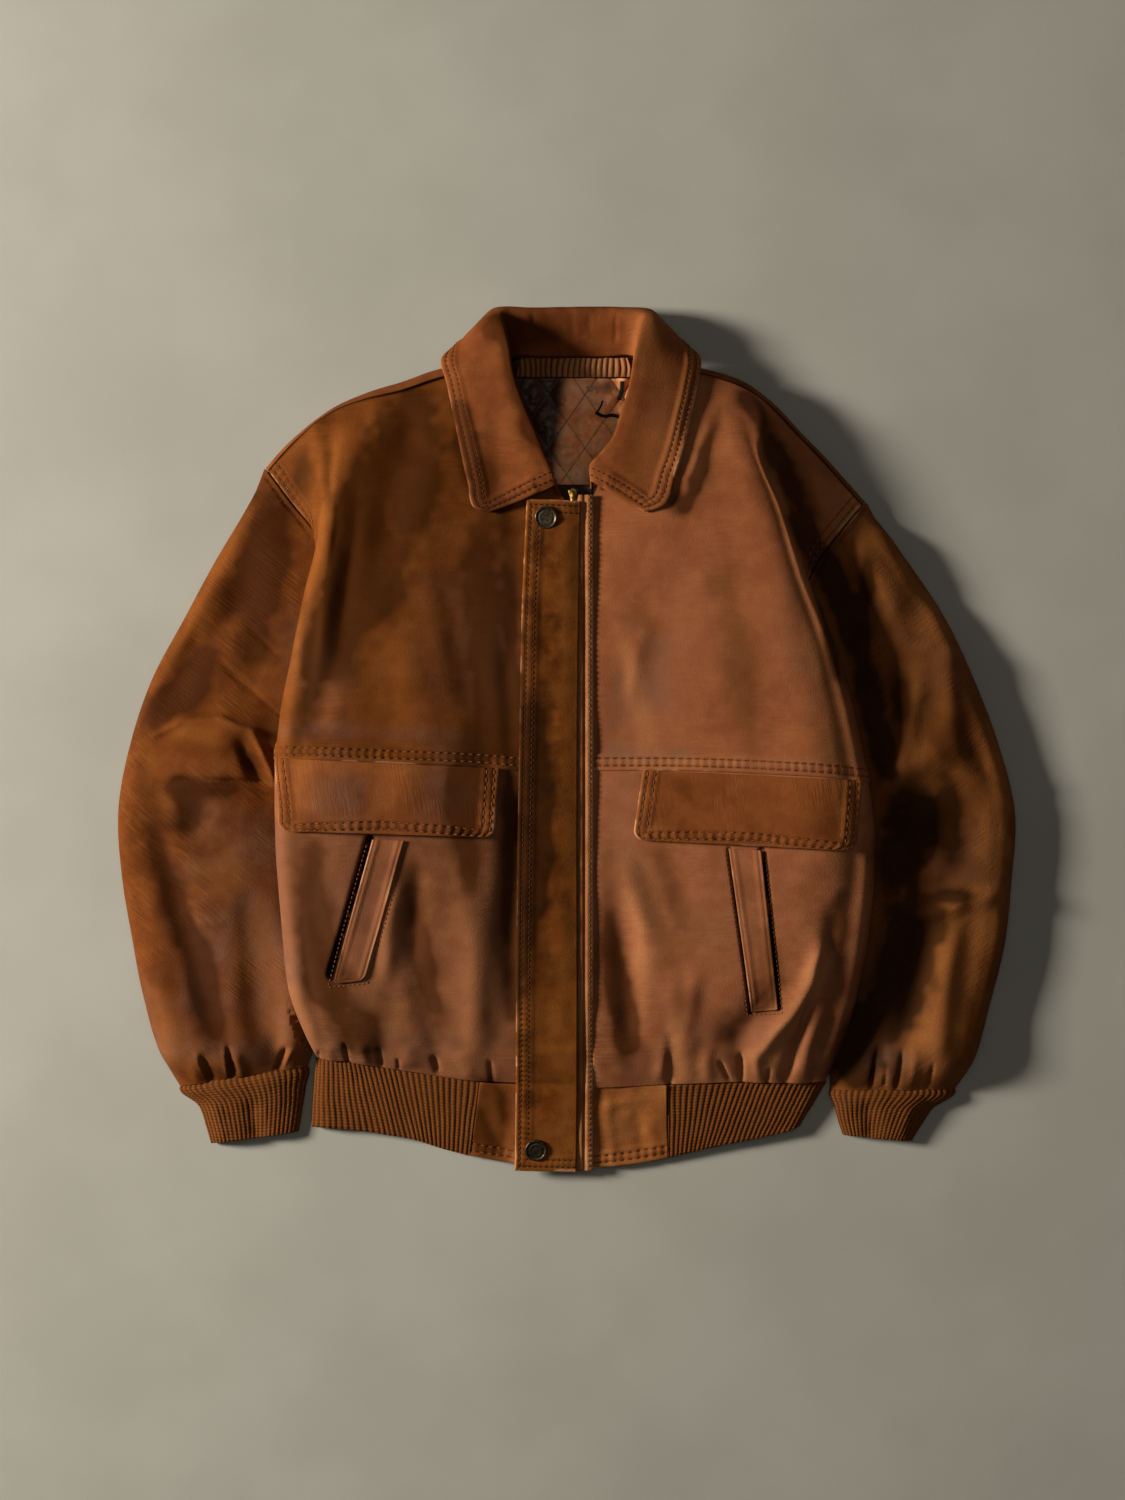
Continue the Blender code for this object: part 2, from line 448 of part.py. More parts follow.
def back_table(right, left):
    """The back's control rows: shoulders and neck, armholes, then the side seams."""
    neck = np.asarray(BACK_NECK, float)
    sides = shoulder_edge(right), shoulder_edge(left)
    rows = []
    for k in range(4):
        drop = np.array([NECK_DROP[c][k] for c in NECK_COLUMN_DROP])
        middle = np.stack([neck[:, 0], neck[:, 1] - drop[:, 0], neck[:, 2] * drop[:, 1]], axis=1)
        rows.append(np.concatenate([sides[0][k], middle, sides[1][k][::-1]]))
    top = rows[3]
    share = (top[:, 0] - top[0, 0]) / (top[-1, 0] - top[0, 0])
    levels = [(ys, ym, xr, zr, xl, zl, ys) for ys, ym, xr, zr, xl, zl in BACK_ARMHOLE]
    for v in SIDE_ROWS:
        r = right.points(np.array([7.0]), np.array([float(v)]))[0]
        q = left.points(np.array([7.0]), np.array([float(v)]))[0]
        levels.append((r[1], None, r[0] + 0.6, r[2] - 0.4, q[0] - 0.6, q[2] - 0.4, q[1]))
    for y_right, y_mid, xr, zr, xl, zl, y_left in levels:
        level = np.zeros((len(top), 3))
        level[:, 0] = xr + (xl - xr) * share
        level[:, 1] = y_right + (y_left - y_right) * share
        if y_mid is not None:
            level[:, 1] += (y_mid - (y_right + y_left) / 2) * (1 - (2 * share - 1) ** 2)
        level[0, 2], level[-1, 2] = zr, zl
        rows.append(level)
    return np.asarray(rows)


BACK_ACROSS = (0, 0.5, 1, 2, 3, 4, 5, 6, 7, 8, 9, 10, 12, 14, 15, 16, 17, 18, 19, 20, 21, 22, 23, 23.5, 24)
BACK_ROWS = (0, 1, 2, 3, 4, 5, 6, 7, 8, 9, 11, 12.2, 12.6, 13, 13.35, 13.65, 14)


def back_points(table, u, v):
    """Points of the back's smooth surface."""
    p = table_surface(table, u, v)
    p[..., 2] = np.maximum(p[..., 2], 0)
    return p


def make_back(table):
    """The back panel, flat where it rests, rolled up at the shoulders and the sides."""
    u, v = grid(BACK_ACROSS, BACK_ROWS)
    outer = back_points(table, u, v)
    n = facing(grid_normals(outer), 8, 12, -1)
    n[0] = n[0] + np.array([0, 0, 1.2]) * (outer[0, :, 2:] > 10)
    n[0] /= np.linalg.norm(n[0], axis=-1, keepdims=True)
    return wall("back_panel", outer, outer - n * LEATHER, (0.2, 0.085, 0.035), 0.62)


def facing(normals, row, column, sign):
    """The normals, all turned so that the one at row and column points up (1) or down (-1)."""
    return normals * (1 if normals[row, column, 2] * sign > 0 else -1)


def sleeve_ring(row, at_top, at_under):
    """One ring of a sleeve from its outer edge over the top, then back along the underside."""
    ox, oy, ix, iy, crown = row
    top = curve([(d, 0, z) for d, z in SLEEVE_TOP], at_top * (len(SLEEVE_TOP) - 1))
    under = curve([(d, 0, z) for d, z in SLEEVE_UNDER], at_under * (len(SLEEVE_UNDER) - 1))
    top[:, 2] += (crown - 31) * np.exp(-((top[:, 0] - 0.33) / 0.26) ** 2)
    ring = np.concatenate([top, under])
    d, z = ring[:, 0], np.maximum(ring[:, 2], 0)
    return np.stack([ox + (ix - ox) * d, oy + (iy - oy) * d, z], axis=1)


def oval(at_top, at_under):
    """Section of a cuff: share of its width and height, over the top and back underneath."""
    top = curve([(d, 0, z) for d, z in CUFF_TOP], at_top * (len(CUFF_TOP) - 1))
    under = curve([(d, 0, z) for d, z in CUFF_UNDER], at_under * (len(CUFF_UNDER) - 1))
    return np.concatenate([top, under])


def oval_ring(section, row, wall_t):
    """A ring of a cuff, shrunk on all sides by wall_t."""
    ox, oy, ix, iy, high = row
    wide = np.hypot(ix - ox, iy - oy)
    d = section[:, 0] * (1 - 2 * wall_t / wide) + wall_t / wide
    z = np.maximum(section[:, 2] / 14.5, 0) * (high - 2 * wall_t) + wall_t
    return np.stack([ox + (ix - ox) * d, oy + (iy - oy) * d, z], axis=1)


def armhole_ring(patch, table):
    """The first ring: under the front's armhole seam, then along the back's armhole edge."""
    v = np.array([r for r in UPPER_DOWN if r < ARMPIT_ROW], float)
    top = patch.points(np.full(len(v), float(patch.wide)), v)
    column = 0 if patch.side > 0 else table.shape[1] - 1
    w = np.arange(8.0, 0.0, -1.0)
    under = back_points(table, np.full(len(w), float(column)), w)
    return np.concatenate([top, under])


def pressed_under(points, names, margin):
    """Points kept below the undersides of the named pieces, which lie on them."""
    out = points.copy()
    for name in names:
        verts = [v.co.copy() for v in BOXES[name].data.vertices]
        tree = BVHTree.FromPolygons(verts, [tuple(p.vertices) for p in BOXES[name].data.polygons])
        flat = out.reshape(-1, 3)
        for k in range(len(flat)):
            start = Vector((flat[k, 0] * MM, flat[k, 1] * MM, -0.001))
            place, _, _, _ = tree.ray_cast(start, Vector((0, 0, 1)))
            if place is not None:
                flat[k, 2] = min(flat[k, 2], max(place.z / MM - margin, 0.0))
        out = flat.reshape(points.shape)
    return out


def lifted_over(points, names, margin):
    """Points kept above the upper faces of the named pieces that they lie on."""
    flat = points.reshape(-1, 3).copy()
    for name in names:
        verts = [v.co.copy() for v in BOXES[name].data.vertices]
        tree = BVHTree.FromPolygons(verts, [tuple(p.vertices) for p in BOXES[name].data.polygons])
        for k in range(len(flat)):
            start = Vector((flat[k, 0] * MM, flat[k, 1] * MM, 0.2))
            place, _, _, _ = tree.ray_cast(start, Vector((0, 0, -1)))
            if place is not None:
                flat[k, 2] = max(flat[k, 2], place.z / MM + margin)
    return flat.reshape(points.shape)


def make_sleeve(name, rows, patch, table, fronts, color):
    """A sleeve through its rings, from the armhole to the cuff, kept under the fronts."""
    at_top = np.linspace(0, 1, SLEEVE_AROUND_TOP + 1)[:-1]
    at_under = np.linspace(0, 1, SLEEVE_AROUND_UNDER + 1)[:-1]
    rings = [sleeve_ring(r, at_top, at_under) for r in rows]
    rings[0] = armhole_ring(patch, table)
    rings[-1] = oval_ring(oval(at_top, at_under), rows[-1], 0.0)
    rings[0] = rings[0] + np.array((-1.1 * patch.side, -0.45, -0.5))
    rings[0][:, 2] = np.maximum(rings[0][:, 2], 0)
    rings = np.asarray(rings)
    count = len(rows)
    at = SLEEVE_DOWN
    outer = np.stack([curve(rings[:, k], at) for k in range(rings.shape[1])], axis=1)
    lifted = folded(outer, SLEEVE_FOLDS)
    top_side = np.clip((outer[..., 2:] - 8) / 10, 0, 1)
    outer = outer + (lifted - outer) * top_side
    outer[..., 2] = np.maximum(outer[..., 2], 0)
    pressed = pressed_under(outer, fronts, 2.4)
    outer[1:, :SLEEVE_AROUND_TOP + 1] = pressed[1:, :SLEEVE_AROUND_TOP + 1]
    n = facing(grid_normals(outer, wrap=True), 4, 4, 1)
    return wall(name, outer, outer - n * LEATHER, color, 0.6, wrap=True)


def make_cuff(name, rows, color):
    """A cuff: a tube of folded rib knit, pressed flat."""
    section = oval(np.linspace(0, 1, 8)[:-1], np.linspace(0, 1, 6)[:-1])
    shells = [np.stack([oval_ring(section, row, wall_t) for row in rows]) for wall_t in (0.0, KNIT)]
    return wall(name, shells[0], shells[1], color, 0.9, wrap=True)


def make_collar():
    """The collar: one leaf from the neck seam over the roll to its edge, on the fronts."""
    table = np.asarray(COLLAR, float)
    turn = table[:, 1] + 0.22 * (table[:, 2] - table[:, 1]) + np.array([0, 0, 1.2])
    for station, place in COLLAR_TURN.items():
        turn[station] = place
    table = np.stack([table[:, 0], table[:, 1], turn, table[:, 2], table[:, 3]], axis=1)
    u, v = grid(COLLAR_ACROSS, COLLAR_AROUND)
    outer = table_surface(table, u, v)
    outer[..., 2] = np.maximum(outer[..., 2], 0)
    outer[:, 4:] = lifted_over(outer[:, 4:], ("front_upper_right", "front_upper_left"), COLLAR_T + 0.8)
    n = facing(grid_normals(outer), 4, 6, 1)
    return wall("collar", outer, outer - n * COLLAR_T, (0.24, 0.105, 0.04), 0.6)


def make_table_strip(name, table, us, vs, thick, color, rough=0.6, down=False):
    """A strip through a table of points; its thickness is below it, or above it where down is set."""
    u, v = grid(us, vs)
    outer = table_surface(table, u, v)
    outer[..., 2] = np.maximum(outer[..., 2], 0)
    n = facing(grid_normals(outer), len(vs) // 2, len(us) // 2, -1 if down else 1)
    return wall(name, outer, outer - n * thick, color, rough)


def make_hem_rib():
    """The hem rib, from the right tab round the back to the left tab."""
    table = np.asarray(HEM_RIB, float)
    middle = (table[:, :3] + table[:, 3:]) / 2 + np.array([0, 0, 0.5]) * (table[:, 2:3] > 5)
    rows = np.stack([table[:, :3], middle, table[:, 3:]])
    us = np.concatenate([np.arange(0, 4, 1), np.arange(4, 8, 0.5), np.arange(8, 15, 1),
                         np.arange(15, 19, 0.5), np.arange(19, 22.1, 1)])
    return make_table_strip("hem_rib", rows, us, (0, 1, 2), KNIT, (0.09, 0.03, 0.012), 0.9, down=True)


def make_fly():
    """The storm fly over the zip."""
    rows = []
    for y, left, right, z_left, z_mid, z_right in FLY:
        rows.append(((left, y, z_left), (left + 9, y - 0.2, z_left + 0.5),
                     ((left + right) / 2, y - 0.6, z_mid + 0.4), (right - 12, y - 1.0, z_mid),
                     (right, y - 1.4, z_right)))
    return make_table_strip("fly", rows, (0, 1, 3, 4), np.arange(len(FLY)), DOUBLE, (0.12, 0.04, 0.014))


def make_edge_strip():
    """The turned edge of the left front, beside the fly."""
    rows = [[(x, y, z + dz) for x, dz in EDGE_STRIP_X] for y, z in EDGE_STRIP]
    return make_table_strip("edge_strip_left", rows, (0, 1, 2, 3, 4), np.arange(len(rows)), DOUBLE,
                            (0.19, 0.08, 0.032))


def zip_height(y):
    """Height of the zip tape's top at y: under the fronts' inner faces."""
    ys = [p[0] for p in EDGE_STRIP][::-1]
    zs = [p[1] for p in EDGE_STRIP][::-1]
    return np.interp(y, ys, zs) - 6.6


def make_zip():
    """The zip tape, and its closed teeth as one bar."""
    low = [-212, -240, -262, -286, -320, ZIP_BOTTOM_Y]
    ys = np.concatenate([[ZIP_TOP_Y, 199], np.arange(160, -150, -60.0), low])
    z = zip_height(ys)
    z[0] = z[1] - 0.5
    rows = [[(x, y, max(h, 1.2)) for x in (-13, ZIP_X, 22)] for y, h in zip(ys, z)]
    make_table_strip("zip_tape", rows, (0, 1, 2), np.arange(len(rows)), TAPE, (0.03, 0.018, 0.012), 0.95)
    rows = [[(x, y, max(h, 1.2) + 0.3 + 2.3) for x in (ZIP_X - 2.6, ZIP_X, ZIP_X + 2.6)]
            for y, h in zip(ys[1:], z[1:])]
    make_table_strip("zip_chain", rows, (0, 2), np.arange(len(rows)), 2.3, (0.5, 0.34, 0.12), 0.35)


def lathe(name, profile, centre, normal, count, color, rough, metal):
    """A turned piece: profile of radius and height about a normal at a centre."""
    normal = Vector(normal).normalized()
    side = normal.orthogonal().normalized()
    other = normal.cross(side)
    verts = []
    for r, h in profile:
        ring = max(r, 0.0)
        if ring == 0:
            verts.append(Vector(centre) + normal * h)
            continue
        for k in range(count):
            a = 2 * np.pi * k / count
            out = side * (ring * np.cos(a)) + other * (ring * np.sin(a))
            verts.append(Vector(centre) + normal * h + out)
    faces = []
    starts, at = [], 0
    for r, h in profile:
        starts.append(at)
        at += 1 if r == 0 else count
    for i in range(len(profile) - 1):
        r0, r1 = profile[i][0], profile[i + 1][0]
        a, b = starts[i], starts[i + 1]
        for k in range(count):
            m = (k + 1) % count
            if r0 == 0:
                faces.append((a, b + k, b + m))
            elif r1 == 0:
                faces.append((a + k, b, a + m))
            else:
                faces.append((a + k, b + k, b + m))
                faces.append((a + k, b + m, a + m))
    arr = np.asarray([tuple(v) for v in verts])
    tri = np.asarray(faces)
    if signed_volume(arr, tri) < 0:
        tri = tri[:, ::-1]
    return finish(name, arr, tri, color, rough, metal)


def surface_under(obj, x, y):
    """Height in mm and normal of an object's top at x, y."""
    verts = [v.co.copy() for v in obj.data.vertices]
    polys = [tuple(p.vertices) for p in obj.data.polygons]
    tree = BVHTree.FromPolygons(verts, polys)
    place, normal, _, _ = tree.ray_cast(Vector((x * MM, y * MM, 0.2)), Vector((0, 0, -1)))
    return np.array(place) / MM, np.array(normal)


def make_snap(name, fly, x, y):
    """A snap cap on the fly."""
    place, normal = surface_under(fly, x, y)
    r = SNAP_D / 2
    profile = ((0, 0.45), (r * 0.86, 0.45), (r, 0.9), (r, 1.8), (r * 0.94, 2.5), (r * 0.84, 2.6),
               (r * 0.76, 2.0), (r * 0.5, 2.1), (0, 2.25))
    return lathe(name, profile, tuple(place), tuple(normal), 14, (0.09, 0.07, 0.045), 0.35, 0.9)


def plate(name, outline, z0, z1, color, rough, metal):
    """A flat plate from an outline of x, y points between two heights."""
    n = len(outline)
    verts = np.array([(x, y, z1) for x, y in outline] + [(x, y, z0) for x, y in outline], float)
    faces = []
    for k in range(1, n - 1):
        faces.append((0, k, k + 1))
        faces.append((n, n + k + 1, n + k))
    for k in range(n):
        m = (k + 1) % n
        faces.append((k, n + k, n + m))
        faces.append((k, n + m, m))
    tri = np.asarray(faces)
    if signed_volume(verts, tri) < 0:
        tri = tri[:, ::-1]
    return finish(name, verts, tri, color, rough, metal)


def make_slider():
    """The zip slider's body, its pull tab under the fly."""
    top = zip_height(199.0) + 2.6
    body = ((-4.4, 208.0), (-2.2, 209.6), (2.2, 209.6), (4.4, 208.0), (3.6, 198.2), (-3.6, 198.2))
    plate("zip_slider", [(ZIP_X + x, y) for x, y in body], top + 0.3, top + 3.2, (0.55, 0.38, 0.14), 0.3, 1.0)


def make_lining():
    """The lining of the back where it shows in the neck."""
    rows = []
    for y, z_right, z_mid, z_left in LINING_ROWS:
        rows.append(((LINING_X[0], y, z_right), (LINING_X[1] - 40, y, (z_right + z_mid) / 2 - 0.6),
                     (LINING_X[1], y, z_mid), (LINING_X[1] + 40, y, (z_left + z_mid) / 2 - 0.8),
                     (LINING_X[2], y, z_left)))
    rows = lifted_over(np.asarray(rows, float), ("back_panel",), QUILT + 0.6)
    make_table_strip("lining_back", rows, np.arange(0, 4.1, 1), np.arange(len(rows)), QUILT,
                     (0.2, 0.085, 0.035), 0.5)


def make_binding():
    """The gathered strip along the neck seam."""
    rows = []
    for t, z in ((0, 12.6), (0.5, 12.8), (1, 11.6)):
        y = 315.0 - 15.5 * t
        left, right = -37.5 - 4.0 * t, 50.0 + 6.0 * t
        rows.append([(left + (right - left) * s, y, z + 1.2 * (2 * s - 1) ** 2)
                     for s in (0, 0.25, 0.5, 0.75, 1)])
    make_table_strip("neck_binding", rows, np.arange(0, 4.1, 0.5), (0, 1, 2), 1.6, (0.22, 0.09, 0.035), 0.7)


def centre_on_origin():
    """Move every piece so that the whole box is centred over the origin and stands on z = 0."""
    low = np.full(3, 1e9)
    high = np.full(3, -1e9)
    for obj in BOXES.values():
        pts = np.array([tuple(v.co) for v in obj.data.vertices])
        low, high = np.minimum(low, pts.min(axis=0)), np.maximum(high, pts.max(axis=0))
    shift = Vector(((low[0] + high[0]) / -2, (low[1] + high[1]) / -2, -low[2]))
    for obj in BOXES.values():
        for vert in obj.data.vertices:
            vert.co += shift


def main():
    """Build every piece, then centre the whole on the origin."""
    for obj in list(bpy.data.objects):
        bpy.data.objects.remove(obj, do_unlink=True)
    right = Patch(FRONT_RIGHT, BODY_FOLDS, 1)
    left = Patch(FRONT_LEFT, BODY_FOLDS, -1)
    lit, deep = (0.23, 0.1, 0.04), (0.17, 0.07, 0.03)
    make_front(right, "front_upper_right", UPPER_DOWN, lit)
    make_front(left, "front_upper_left", UPPER_DOWN, lit)
    make_front(right, "front_lower_right", LOWER_DOWN, deep)
    make_front(left, "front_lower_left", LOWER_DOWN, deep)
    table = back_table(right, left)
    make_back(table)
    make_sleeve("sleeve_right", SLEEVE_RIGHT, right, table, ("front_upper_right", "front_lower_right"), deep)
    make_sleeve("sleeve_left", SLEEVE_LEFT, left, table, ("front_upper_left", "front_lower_left"), deep)
    make_cuff("cuff_right", CUFF_RIGHT, (0.09, 0.03, 0.012))
    make_cuff("cuff_left", CUFF_LEFT, (0.09, 0.03, 0.012))
    make_collar()
    make_hem_rib()
    for name, table in (("hem_tab_right", TAB_RIGHT), ("hem_tab_left", TAB_LEFT)):
        make_table_strip(name, table, np.linspace(0, 2, 5), np.linspace(0, 2, 5), DOUBLE, (0.21, 0.09, 0.034))
    make_edge_strip()
    make_zip()
    make_slider()
    fly = make_fly()
    on_patch(right, FLAP_RIGHT, 10, 4, 0.8, DOUBLE, "pocket_flap_right", (0.18, 0.075, 0.03))
    on_patch(left, FLAP_LEFT, 12, 4, 1.0, DOUBLE, "pocket_flap_left", (0.18, 0.075, 0.03))
    on_patch(right, WELT_RIGHT, 3, 7, 0.8, LEATHER, "pocket_welt_right", (0.17, 0.07, 0.03))
    on_patch(left, WELT_LEFT, 3, 7, 0.8, LEATHER, "pocket_welt_left", (0.17, 0.07, 0.03))
    for name, (x, y) in zip(("snap_top", "snap_bottom"), SNAPS):
        make_snap(name, fly, x, y)
    make_lining()
    make_binding()
    centre_on_origin()


main()
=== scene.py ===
"""Worn leather blouson laid flat on its back: the dressed model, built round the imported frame.

Right and left are the wearer's. +X points to the wearer's left, +Y to the collar and +Z up from the
surface that the jacket lies on. Tables are in millimetres; meshes are put down in metres.
"""
import functools
import logging
from dataclasses import dataclass, field
from enum import Enum

import bpy
import numpy as np
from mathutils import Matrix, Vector


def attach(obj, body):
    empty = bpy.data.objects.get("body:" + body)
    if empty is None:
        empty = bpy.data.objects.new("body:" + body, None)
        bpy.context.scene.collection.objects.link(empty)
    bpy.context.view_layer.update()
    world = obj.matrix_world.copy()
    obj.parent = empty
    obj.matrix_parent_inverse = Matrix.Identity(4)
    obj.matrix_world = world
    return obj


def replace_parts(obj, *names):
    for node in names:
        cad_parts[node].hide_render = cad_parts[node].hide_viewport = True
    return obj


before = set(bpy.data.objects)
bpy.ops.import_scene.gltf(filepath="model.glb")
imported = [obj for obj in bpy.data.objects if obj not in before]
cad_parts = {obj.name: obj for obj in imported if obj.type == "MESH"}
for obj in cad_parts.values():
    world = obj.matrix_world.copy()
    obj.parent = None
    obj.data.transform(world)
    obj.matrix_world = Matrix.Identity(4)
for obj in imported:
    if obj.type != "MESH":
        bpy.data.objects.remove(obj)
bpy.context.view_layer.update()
LOG = logging.getLogger("blouson")
MM = 0.001
LEATHER = 1.8          # one layer of cowhide with its backing
DOUBLE = 2.6           # turned and topstitched leather
SOFT_WALL = 1.6        # from the middle of the collar or the knit to its inner face
TAPE = 0.9             # thickness of the zip tape
SNAP_RADIUS = 9.3      # of a snap's cap
ROW_GAP = 6.0          # between two rows of topstitching
PITCH = 6.7            # one stitch of the heavy topstitching
FINE_PITCH = 4.6       # one stitch of the fine topstitching
RIB = 4.4              # from one rib of the knit to the next
LOOP = 2.6             # from one row of knitted loops to the next
QUILT = 25.0           # between two lines of the lining's quilting
PLEAT = 4.6            # from one pleat of the neck strip to the next
TOOTH = 1.5            # from one zip tooth to the next
UPPER_END, LOWER_START = 6.04, 6.004    # rows of the fronts' tables on the two sides of the yoke seam

# One row for each level down a front: columns are the centre edge, inner chest, collar point, mid
# chest, ridge, outermost fold, underside of the fold, and the seam (armhole above, side below).
# The first row follows the neckline and the shoulder seam.
FRONT_RIGHT = (
    ((-1, 195, 46), (-23, 240, 39), (-56, 300, 29), (-137, 286, 26), (-190, 271, 24), (-222, 247, 19),
     (-238, 231, 15), (-246, 222, 13)),
    ((-1, 170, 48.5), (-26, 185, 49), (-72, 203, 50), (-142, 219, 48), (-189, 213, 42), (-208, 206, 31),
     (-219, 202, 25), (-227, 197, 20)),
    ((-1, 138, 49), (-26, 146, 50), (-72, 158, 53), (-139, 170, 55), (-185, 175, 51), (-203, 170, 39),
     (-205, 165, 30), (-199, 162, 24)),
    ((-1, 104, 49), (-26, 109, 51), (-72, 113, 54), (-136, 119, 58), (-193, 129, 57), (-212, 124, 42),
     (-207, 121, 29), (-185, 120, 19)),
    ((-1, 65, 49), (-26, 68, 51), (-72, 71, 54), (-136, 74, 59), (-200, 77, 58), (-222, 75, 42),
     (-215, 74, 29), (-175, 76, 16)),
    ((-1, 14, 49), (-26, 16, 51), (-72, 19, 54), (-136, 21, 60), (-209, 26, 60), (-233, 23, 42),
     (-225, 21, 28), (-166, 20, 12)),
    ((-1, -25, 49), (-26, -24, 51), (-72, -20, 54), (-138, -17, 60), (-213, -14, 60), (-237, -14, 42),
     (-228, -14, 28), (-164, -14, 11)),
    ((-1, -81, 49), (-26, -81, 51), (-72, -81, 54), (-138, -81, 59), (-215, -81, 58), (-237, -82, 40),
     (-228, -82, 27), (-164, -83, 10.5)),
    ((-1, -146, 48), (-26, -146, 49), (-72, -146, 52), (-138, -146, 56), (-213, -146, 54), (-233, -147, 37),
     (-224, -148, 25), (-164, -149, 9.5)),
    ((-1, -212, 44), (-26, -212, 44), (-72, -212, 46), (-138, -211, 49), (-204, -212, 46), (-225, -213, 31),
     (-217, -214, 18), (-166, -215, 8)),
    ((-1, -255, 35), (-26, -255, 34), (-72, -253, 35), (-139, -247, 37), (-195, -244, 33), (-214, -245, 19),
     (-208, -248, 8.5), (-171, -248, 5)),
    ((-1, -284, 22.5), (-26, -283, 21), (-71, -281, 20), (-139, -272, 19), (-187, -264, 18), (-206, -263, 11),
     (-201, -264, 3.4), (-180, -264, 1.2)),
)
FRONT_LEFT = (
    ((21, 198, 44), (40, 240, 39), (66, 300, 30), (105, 301, 29), (145, 289, 29), (194, 247, 21),
     (224, 216, 16), (244, 194, 13)),
    ((21, 172, 47), (45, 187, 49), (74, 203, 51), (113, 224, 53), (148, 241, 50), (164, 234, 38),
     (185, 213, 28), (226, 173, 19)),
    ((21, 140, 48), (45, 147, 51), (79, 158, 54), (125, 174, 57), (168, 187, 55), (182, 178, 42),
     (192, 166, 31), (205, 145, 23)),
    ((21, 104, 48), (45, 109, 51), (81, 113, 54), (133, 121, 59), (184, 131, 58), (199, 124, 44),
     (199, 118, 31), (190, 110, 19)),
    ((21, 65, 48), (45, 67, 51), (82, 71, 54), (142, 76, 60), (202, 81, 59), (219, 75, 44),
     (214, 72, 30), (180, 72, 16)),
    ((21, 14, 48), (45, 16, 51), (84, 18, 54), (148, 21, 60), (216, 26, 61), (235, 20, 43),
     (229, 18, 29), (170, 18, 12)),
    ((21, -23, 48), (45, -23, 51), (84, -23, 54), (150, -25, 60), (226, -30, 60), (246, -33, 42),
     (239, -33, 28), (168, -33, 11)),
    ((21, -83, 48), (45, -83, 51), (84, -83, 54), (150, -85, 59), (231, -88, 58), (252, -88, 41),
     (245, -89, 27), (168, -89, 10.5)),
    ((21, -146, 47), (45, -146, 49), (84, -146, 52), (150, -146, 56), (226, -146, 54), (248, -147, 38),
     (240, -148, 25), (168, -149, 9.5)),
    ((21, -212, 43), (45, -212, 44), (84, -212, 46), (149, -211, 49), (216, -212, 46), (237, -213, 31),
     (230, -214, 18), (170, -215, 8)),
    ((21.5, -257, 34), (45, -258, 34), (83, -258, 34), (145, -258, 36), (203, -257, 33), (224, -258, 19),
     (218, -259, 8.5), (175, -260, 5)),
    ((21.5, -286, 22), (46, -285, 21), (83, -284, 20), (143, -282, 19), (194, -283, 18), (214, -282, 11),
     (209, -283, 3.4), (186, -283, 1.2)),
)
# Largest folds, added to the height: from x, y to x, y, half width, height.
BODY_FOLDS = (
    (-204, -246, -204, -264, 7, -1.2), (-180, -246, -179, -264, 7, -1.4), (-151, -246, -150, -266, 7, -1.4),
    (-106, -250, -104, -272, 8, -1.4), (86, -244, 87, -276, 8, -1.6), (140, -244, 142, -276, 7, -1.8),
    (188, -240, 180, -276, 7, -2.4), (95, 160, 60, 30, 22, -2.5), (-105, 170, -70, 40, 22, -2.5),
)
SLEEVE_FOLDS = (
    (-338, 9, -262, 12, 15, 4), (-330, -38, -250, -46, 12, -3), (-292, -258, -288, -282, 8, -2),
    (-240, -252, -242, -274, 8, -2), (252, -40, 300, -12, 15, 5), (250, -66, 290, -58, 17, -6),
    (300, 130, 262, 60, 18, -4), (256, -262, 258, -286, 8, -2), (300, -262, 296, -288, 8, -2),
)
# Back panel over the shoulders: columns of the fronts' tables, then how far the roll stands out at
# the right and at the left.
SHOULDER_COLUMNS = (
    (7, 3.5, 4), (6, 3.5, 4), (5, 3.5, 4), (4.35, 3.6, 5), (4, 4, 6), (3.5, 6, 6), (3, 8, 6), (2.5, 8, 5),
    (2, 3, 3),
)
SHOULDER_ROLL = ((0.0, 1.0), (1.0, 0.5), (0.75, 0.1), (-1.8, 0.0))
# The back neckline between the shoulder points: x, y, z.
BACK_NECK = (
    (-50, 311.5, 17), (-42, 315.5, 9.5), (-24, 315.6, 7.6), (5, 315.4, 7), (34, 315.6, 7.6), (53, 315.5, 10),
    (60, 311.5, 17),
)
NECK_DROP = (((0, 1.0), (2.5, 0.6), (8, 0.2), (24, 0.02)), ((0, 1.0), (4, 0.8), (12, 0.45), (27, 0.08)),
             ((0, 1.0), (6, 0.75), (16, 0.45), (30, 0.1)))
NECK_COLUMN_DROP = (0, 1, 2, 2, 2, 1, 0)
# Armholes of the back, below the shoulder: y at the sides and in the middle, right x, z, left x, z.
BACK_ARMHOLE = (
    (190, 262, -232, 0, 232, 0), (150, 200, -214, 0, 215, 0), (105, 130, -196, 0, 200, 0),
    (62, 70, -181, 1.5, 186, 1.5),
)
SIDE_ROWS = (5, 6, 7, 8, 9, 10, 11)
